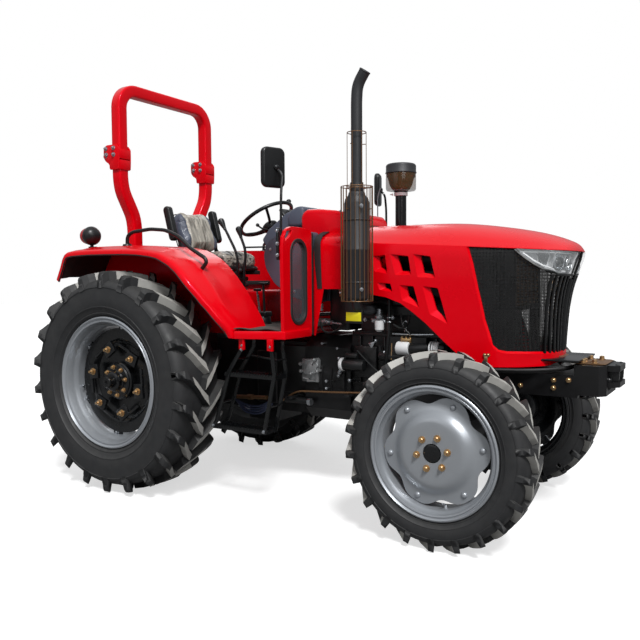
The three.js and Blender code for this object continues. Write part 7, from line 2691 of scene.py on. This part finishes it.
@dataclass
class RearWheels:
    """Rear wheels: deep silver rims on black centres that bolt on through pads."""

    axle_x: float = -1.05
    hub_z: float = 0.688
    track: float = 0.73
    face: float = 0.765
    disc_radius: float = 0.328
    pad_ring: float = 0.203
    pads: int = 6
    first_pad: float = 46.0
    hub_radius: float = 0.118
    shaft_radius: float = 0.035
    shaft_end: float = 0.884

    def spot(self, radius: float, angle: float, y: float) -> Vector:
        """A point of the wheel's face at an angle in degrees."""
        a = math.radians(angle)
        return Vector((self.axle_x + radius * math.cos(a), -y, self.hub_z + radius * math.sin(a)))

    def disc(self) -> Form:
        """Presses the centre: a dished plate with raised pads, and ears that reach the rim."""
        form = Form()
        f = self.face
        form.lathe([(0.05, f - 0.728), (0.222, f - 0.728), (0.238, f - 0.733), (0.262, f - 0.757),
                    (0.274, f - 0.762), (self.disc_radius, f - 0.762), (self.disc_radius + 0.002, f - 0.768),
                    (self.disc_radius, f - 0.774), (0.270, f - 0.774), (0.255, f - 0.770),
                    (0.230, f - 0.744), (0.05, f - 0.742)],
                   (self.axle_x, -self.face, self.hub_z), (0, 1, 0), 72, closed=True)
        for i in range(self.pads):
            self.pad(form, self.first_pad + 360 * i / self.pads)
            self.ear(form, self.first_pad - 22 + 360 * i / self.pads)
        return form

    def pad(self, form: Form, angle: float) -> None:
        """Adds one rectangular pad and the rib beside it."""
        turn = Matrix.Rotation(-math.radians(angle + 20), 4, "Y")
        middle = self.spot(self.pad_ring, angle, self.face + 0.036)
        size = Vector((0.038, 0.011, 0.046))
        form.block(middle - size, middle + size, 0.006, 2, turn)
        rib = self.spot(self.pad_ring + 0.02, angle + 24, self.face + 0.034)
        size = Vector((0.009, 0.007, 0.052))
        form.block(rib - size, rib + size, 0.004, 2, turn)

    def ear(self, form: Form, angle: float) -> None:
        """Adds one ear between the plate and the rim's welded lug."""
        turn = Matrix.Rotation(-math.radians(angle), 4, "Y")
        middle = self.spot(self.disc_radius + 0.004, angle, self.face - 0.002)
        size = Vector((0.026, 0.006, 0.038))
        form.block(middle - size, middle + size, 0.004, 2, turn)

    def hub(self) -> Form:
        """Turns the hub, its cap and the axle shaft that stands out of it."""
        form = Form()
        base = (self.axle_x, 0, self.hub_z)
        form.lathe([(0, 0.608), (self.hub_radius, 0.608), (self.hub_radius, 0.785), (0.110, 0.792),
                    (0.110, 0.800), (0.104, 0.806), (0.070, 0.808), (0.064, 0.814), (0.060, 0.834),
                    (0.052, 0.840), (0.040, 0.842), (0, 0.842)], base, (0, -1, 0), 56)
        form.lathe([(0, 0.54), (self.shaft_radius, 0.54), (self.shaft_radius, self.shaft_end - 0.004),
                    (self.shaft_radius - 0.004, self.shaft_end), (0.014, self.shaft_end),
                    (0.010, self.shaft_end - 0.01), (0, self.shaft_end - 0.012)], base, (0, -1, 0), 40)
        for angle in (20, 200):
            spot = self.spot(0.052, angle, 0.812)
            size = Vector((0.022, 0.028, 0.016))
            form.block(spot - size, spot + size, 0.004, 2, Matrix.Rotation(-math.radians(angle), 4, "Y"))
        return form

    def bolts(self) -> Form:
        """Sets the wheel bolts and the hub bolts."""
        form = Form()
        for i in range(self.pads):
            form.bolt(self.spot(self.pad_ring, self.first_pad + 60 * i, self.face + 0.047), (0, -1, 0),
                      0.028, length=0.014)
        for i in range(8):
            form.bolt(self.spot(0.088, 10 + 45 * i, 0.807), (0, -1, 0), 0.019, length=0.006)
        return form

    def rim_fittings(self, rim: RolledRim) -> Form:
        """Adds the rim's clamp bolts and the valve inside the rim."""
        form = Form()
        rim.valve(form, math.radians(190))
        for i in range(self.pads):
            form.bolt(self.spot(self.disc_radius + 0.008, self.first_pad - 22 + 60 * i, self.face + 0.004),
                      (0, -1, 0), 0.02)
        return form

    def build(self, shop: Workshop) -> None:
        """Makes both rear wheels."""
        rim = RolledRim("rear", self.axle_x, self.hub_z, self.track, 0.162, 0.406, 0.381, 0.352)
        for side in SIDES:
            body = f"rear_wheel_{side}"
            for name, form, finish, slot, stands in (
                    ("rim", rim.form(), Finishes.silver, "silver_paint", [f"rear_wheel_rim_{side}"]),
                    ("disc", self.disc(), Finishes.black, "black_paint", [f"rear_wheel_disc_{side}"]),
                    ("hub", self.hub(), Finishes.black, "black_paint", []),
                    ("bolts", self.bolts(), Finishes.zinc, "zinc_steel", []),
                    ("rim_bolts", self.rim_fittings(rim), Finishes.steel, "zinc_steel", [])):
                if side == "left":
                    form.mirrored()
                shop.piece(f"rear_{name}_{side}", form, finish, body, slot, 32.0, stands)


@dataclass
class FrontWheels:
    """Front wheels: silver rims with a dished, scalloped disc held by six domed bolts."""

    axle_x: float = 1.05
    hub_z: float = 0.485
    track: float = 0.664
    face: float = 0.752
    bore: float = 0.047
    lobes: int = 6
    first_lobe: float = 8.0
    lobe_radius: float = 0.274
    scallop_radius: float = 0.234
    lobe_bolts: float = 0.241
    hub_bolts: float = 0.080
    plate: float = 0.008
    # The dish in section: (radius, how far back of the face).
    dish: tuple = ((0.0, 0.0), (0.148, 0.0), (0.160, 0.002), (0.176, 0.010), (0.196, 0.026),
                   (0.208, 0.034), (0.222, 0.038), (0.300, 0.046))

    def back(self, radius: float) -> float:
        """How far the dish lies behind its face at a radius."""
        for (r0, b0), (r1, b1) in zip(self.dish, self.dish[1:]):
            if radius <= r1:
                return b0 + (b1 - b0) * (radius - r0) / (r1 - r0)
        return self.dish[-1][1]

    def edge(self, angle: float) -> float:
        """The disc's radius at an angle: nearly round, with a bite between each two lobes."""
        wave = 0.5 - 0.5 * math.cos(self.lobes * (angle - math.radians(self.first_lobe)))
        return self.lobe_radius - (self.lobe_radius - self.scallop_radius) * wave ** 1.8

    def disc(self) -> Form:
        """Presses the scalloped disc from one sheet."""
        form = Form()
        radii = [self.bore, 0.07, 0.10, 0.13, 0.148, 0.154, 0.162, 0.170, 0.178, 0.188, 0.198, 0.208, 0.216]

        def spot(u: float, v: float) -> Point:
            """A point of the surface for its share along and its share across."""
            angle, step = u * math.tau, v * (len(radii) + 3)
            if step < len(radii) - 0.5:
                radius = radii[round(step)]
            else:
                share = (round(step) - len(radii) + 1) / 4
                radius = radii[-1] + (self.edge(angle) - radii[-1]) * share
            y = -self.face + self.back(radius)
            return (self.axle_x + radius * math.cos(angle), y, self.hub_z + radius * math.sin(angle))

        form.sheet(96, len(radii) + 3, spot)
        form.thicken(self.plate)
        return form

    def spot(self, radius: float, angle: float, back: float = 0.0) -> Vector:
        """A point on the disc at an angle in degrees."""
        a = math.radians(angle)
        return Vector((self.axle_x + radius * math.cos(a), -self.face + back,
                       self.hub_z + radius * math.sin(a)))

    def domes(self) -> Form:
        """Adds the domed bolt heads on the lobes, and lugs that reach the rim behind them."""
        form = Form()
        for i in range(self.lobes):
            angle = self.first_lobe + 360 * i / self.lobes
            at = self.spot(self.lobe_bolts, angle, self.back(self.lobe_bolts))
            form.lathe([(0, -0.002), (0.015, -0.002), (0.015, 0.003), (0.012, 0.008), (0.006, 0.0115),
                        (0, 0.0125)],
                       at, (0, -1, 0), 20)
            size = Vector((0.030, 0.009, 0.026))
            lug = self.spot(self.lobe_radius - 0.008, angle, self.back(0.26) + 0.02)
            form.block(lug - size, lug + size, 0.004, 2, Matrix.Rotation(-math.radians(angle), 4, "Y"))
        return form

    def bolts(self) -> Form:
        """Sets the six wheel bolts round the bore."""
        form = Form()
        for i in range(6):
            form.bolt(self.spot(self.hub_bolts, 10 + 60 * i), (0, -1, 0), 0.023, length=0.012)
        return form

    def hub(self) -> Form:
        """Turns the black reduction hub that shows in the bore and behind the disc."""
        form = Form()
        form.lathe([(0, 0.646), (0.072, 0.646), (0.105, 0.66), (0.105, 0.735), (0.092, 0.743),
                    (self.bore + 0.004, 0.743), (self.bore - 0.002, 0.746), (self.bore - 0.004, 0.754),
                    (0.034, 0.757), (0.012, 0.757), (0, 0.757)],
                   (self.axle_x, 0, self.hub_z), (0, -1, 0), 48)
        return form

    def build(self, shop: Workshop) -> None:
        """Makes both front wheels."""
        rim = RolledRim("front", self.axle_x, self.hub_z, self.track, 0.098, 0.328, 0.305, 0.284, 0.006)
        # The inboard faces of the rim, disc and domes get black as painted shade.
        painted_shade_parts = ("rim", "disc", "disc_domes")
        for side in SIDES:
            rolled = rim.form()
            rim.valve(rolled, math.radians(280))
            for name, form, finish, slot, stands in (
                    ("rim", rolled, Finishes.silver, "silver_paint", [f"front_wheel_rim_{side}"]),
                    ("disc", self.disc(), Finishes.silver, "silver_paint", []),
                    ("disc_domes", self.domes(), Finishes.silver, "silver_paint", []),
                    ("hub", self.hub(), Finishes.black, "black_paint", []),
                    ("bolts", self.bolts(), Finishes.zinc, "zinc_steel", [])):
                if side == "left":
                    form.mirrored()
                shop.piece(f"front_{name}_{side}", form, finish, f"front_wheel_{side}", slot, 32.0, stands,
                           accents=[(Finishes.black, self.gets_painted_shade)] if name in painted_shade_parts else [])

    def gets_painted_shade(self, face: bmesh.types.BMFace) -> bool:
        """Whether a face is on the side toward the engine, which gets black as painted shade."""
        spot = face.calc_center_median()
        inward = -face.normal.y * (1 if spot.y > 0 else -1)
        return inward > 0.35 or (abs(spot.y) < self.track - 0.01 and inward > -0.35)


@dataclass
class Tyres:
    """All four tyres."""

    rear: LuggedTyre = field(default_factory=lambda: LuggedTyre(
        "rear", -1.05, 0.688, 0.73, 0.188, 0.406, 0.381, 0.148, 22, 0.043, 0.052, 0.235))
    front: LuggedTyre = field(default_factory=lambda: LuggedTyre(
        "front", 1.05, 0.485, 0.664, 0.104, 0.328, 0.305, 0.086, 22, 0.030, 0.036, 0.19))

    def build(self, shop: Workshop) -> None:
        """Makes the rear pair and the front pair."""
        self.rear.build(shop)
        self.front.build(shop)


ASSEMBLIES: tuple = (Seat, Tyres, RearWheels, FrontWheels, Hood, Headlamps, Fenders, Hoop, LegShields, Cowl,
                     SteeringWheel, Controls, Stack, Intake, Mirrors, Steps, Engine, FrontHitch)


# ------------------------------------------------------------------ studio


@dataclass
class Studio:
    """Plain pale studio: floor, world, lamps, and the camera."""

    camera_spot: Point = (2.4849, -3.9020, 1.3329)
    yaw: float = 32.03
    pitch: float = 3.47
    roll: float = -0.34
    lens: float = 40.35
    floor_size: float = 60.0
    floor_glow: float = 0.62
    sky_level: float = 0.30
    sun_level: float = 3.0
    gloss_low: float = 0.06
    gloss_high: float = 0.85
    lamps: tuple = (
        # name, spot, aimed at, width, watts
        ("front_softbox", (5.2, -4.2, 4.4), (0.4, 0.0, 0.9), 3.0, 90.0),
        ("side_softbox", (-1.5, -6.5, 3.2), (-0.3, 0.0, 0.8), 4.0, 30.0),
        ("back_softbox", (-3.5, 5.0, 4.5), (0.0, 0.0, 1.0), 3.5, 60.0),
    )

    def build(self) -> None:
        """Makes everything around the object."""
        self.place_camera()
        self.light_world()
        self.place_lamps()
        self.lay_floor()

    def place_camera(self) -> None:
        """Puts the camera at the viewing angle and sets the plain view transform."""
        data = bpy.data.cameras.new("camera")
        data.lens, data.sensor_width = self.lens, 36.0
        data.clip_start, data.clip_end = 0.1, 200.0
        camera = bpy.data.objects.new("camera", data)
        bpy.context.scene.collection.objects.link(camera)
        turn = (Matrix.Rotation(math.radians(self.yaw), 4, "Z")
                @ Matrix.Rotation(math.radians(90 - self.pitch), 4, "X")
                @ Matrix.Rotation(math.radians(self.roll), 4, "Z"))
        camera.matrix_world = Matrix.Translation(Vector(self.camera_spot)) @ turn
        bpy.context.scene.camera = camera
        bpy.context.scene.view_settings.view_transform = "Standard"

    def light_world(self) -> None:
        """Lights from all round: white where the camera sees it, and a sky gradient in gloss."""
        world = bpy.data.worlds.new("studio")
        bpy.context.scene.world = world
        world.use_nodes = True
        tree = world.node_tree
        tree.nodes.clear()
        rays = add_node(tree, "LightPath")
        shown = add_node(tree, "Math", {
            0: rays.outputs["Is Camera Ray"], 1: rays.outputs["Is Transmission Ray"]}, operation="MAXIMUM")
        soft = add_node(tree, "Background", {"Color": linear("f4f6f8"), "Strength": self.sky_level})
        white = add_node(tree, "Background", {"Color": (1, 1, 1, 1), "Strength": 1.0})
        way = add_node(tree, "SeparateXYZ", {0: add_node(tree, "TexCoord").outputs["Generated"]})
        height = add_node(tree, "MapRange", {
            "Value": way.outputs["Z"], "From Min": -0.1, "From Max": 0.75,
            "To Min": self.gloss_low, "To Max": self.gloss_high})
        gloss = add_node(tree, "Background", {"Color": linear("f2f5f9"), "Strength": height.outputs[0]})
        lit = add_node(tree, "MixShader", {
            0: rays.outputs["Is Glossy Ray"], 1: soft.outputs[0], 2: gloss.outputs[0]})
        mixed = add_node(tree, "MixShader", {0: shown.outputs[0], 1: lit.outputs[0], 2: white.outputs[0]})
        add_node(tree, "OutputWorld", {"Surface": mixed.outputs[0]})

    def place_lamps(self) -> None:
        """Adds the sun and the softboxes."""
        sun = bpy.data.lights.new("sun", "SUN")
        sun.energy, sun.angle = self.sun_level, math.radians(12)
        holder = bpy.data.objects.new("sun", sun)
        holder.matrix_world = place_between((0, 0, 0), (0.55, -0.62, 0.95))
        bpy.context.scene.collection.objects.link(holder)
        for name, spot, aim, width, watts in self.lamps:
            lamp = bpy.data.lights.new(name, "AREA")
            lamp.energy, lamp.size = watts, width
            lamp_object = bpy.data.objects.new(name, lamp)
            lamp_object.matrix_world = place_between(spot, Vector(spot) * 2 - Vector(aim))
            bpy.context.scene.collection.objects.link(lamp_object)

    def lay_floor(self) -> None:
        """Lays the pale floor: white to the camera, and it keeps the object's shadow."""
        form = Form()
        half = self.floor_size / 2
        form.sheet(1, 1, lambda u, v: ((u - 0.5) * 2 * half, (v - 0.5) * 2 * half, -0.001))
        mesh = bpy.data.meshes.new("floor")
        form.bm.to_mesh(mesh)
        form.bm.free()
        floor = bpy.data.objects.new("floor", mesh)
        bpy.context.scene.collection.objects.link(floor)
        painted = bpy.data.materials.new("pale_studio_floor")
        painted.use_nodes = True
        tree = painted.node_tree
        tree.nodes.clear()
        dim = add_node(tree, "BsdfDiffuse", {"Color": linear("8f8f8f")})
        pale = add_node(tree, "BsdfDiffuse", {"Color": linear("c8c8c8")})
        glow = add_node(tree, "Emission", {"Color": (1, 1, 1, 1), "Strength": self.floor_glow})
        shown = add_node(tree, "AddShader", {0: pale.outputs[0], 1: glow.outputs[0]})
        rays = add_node(tree, "LightPath")
        both = add_node(tree, "MixShader", {
            0: rays.outputs["Is Camera Ray"], 1: dim.outputs[0], 2: shown.outputs[0]})
        add_node(tree, "OutputMaterial", {"Surface": both.outputs[0]})
        mesh.materials.append(painted)


# ------------------------------------------------------------------ assembly


def corners(box: tuple[Vector, Vector]) -> list[list[float]]:
    """A box as plain lists of numbers."""
    return [list(corner) for corner in box]


def clear_scene() -> None:
    """Removes whatever the new file starts with."""
    for thing in list(bpy.data.objects):
        bpy.data.objects.remove(thing)


def main() -> None:
    """Builds the tractor's looks around its frame."""
    logging.basicConfig(level=logging.INFO, format="%(message)s")
    clear_scene()
    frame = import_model()
    Studio().build()
    shop = Workshop(frame)
    paint_frame(shop)
    for assembly in ASSEMBLIES:
        assembly().build(shop)
    LOG.info("%d pieces made", shop.count)


if __name__ == "__main__":
    main()
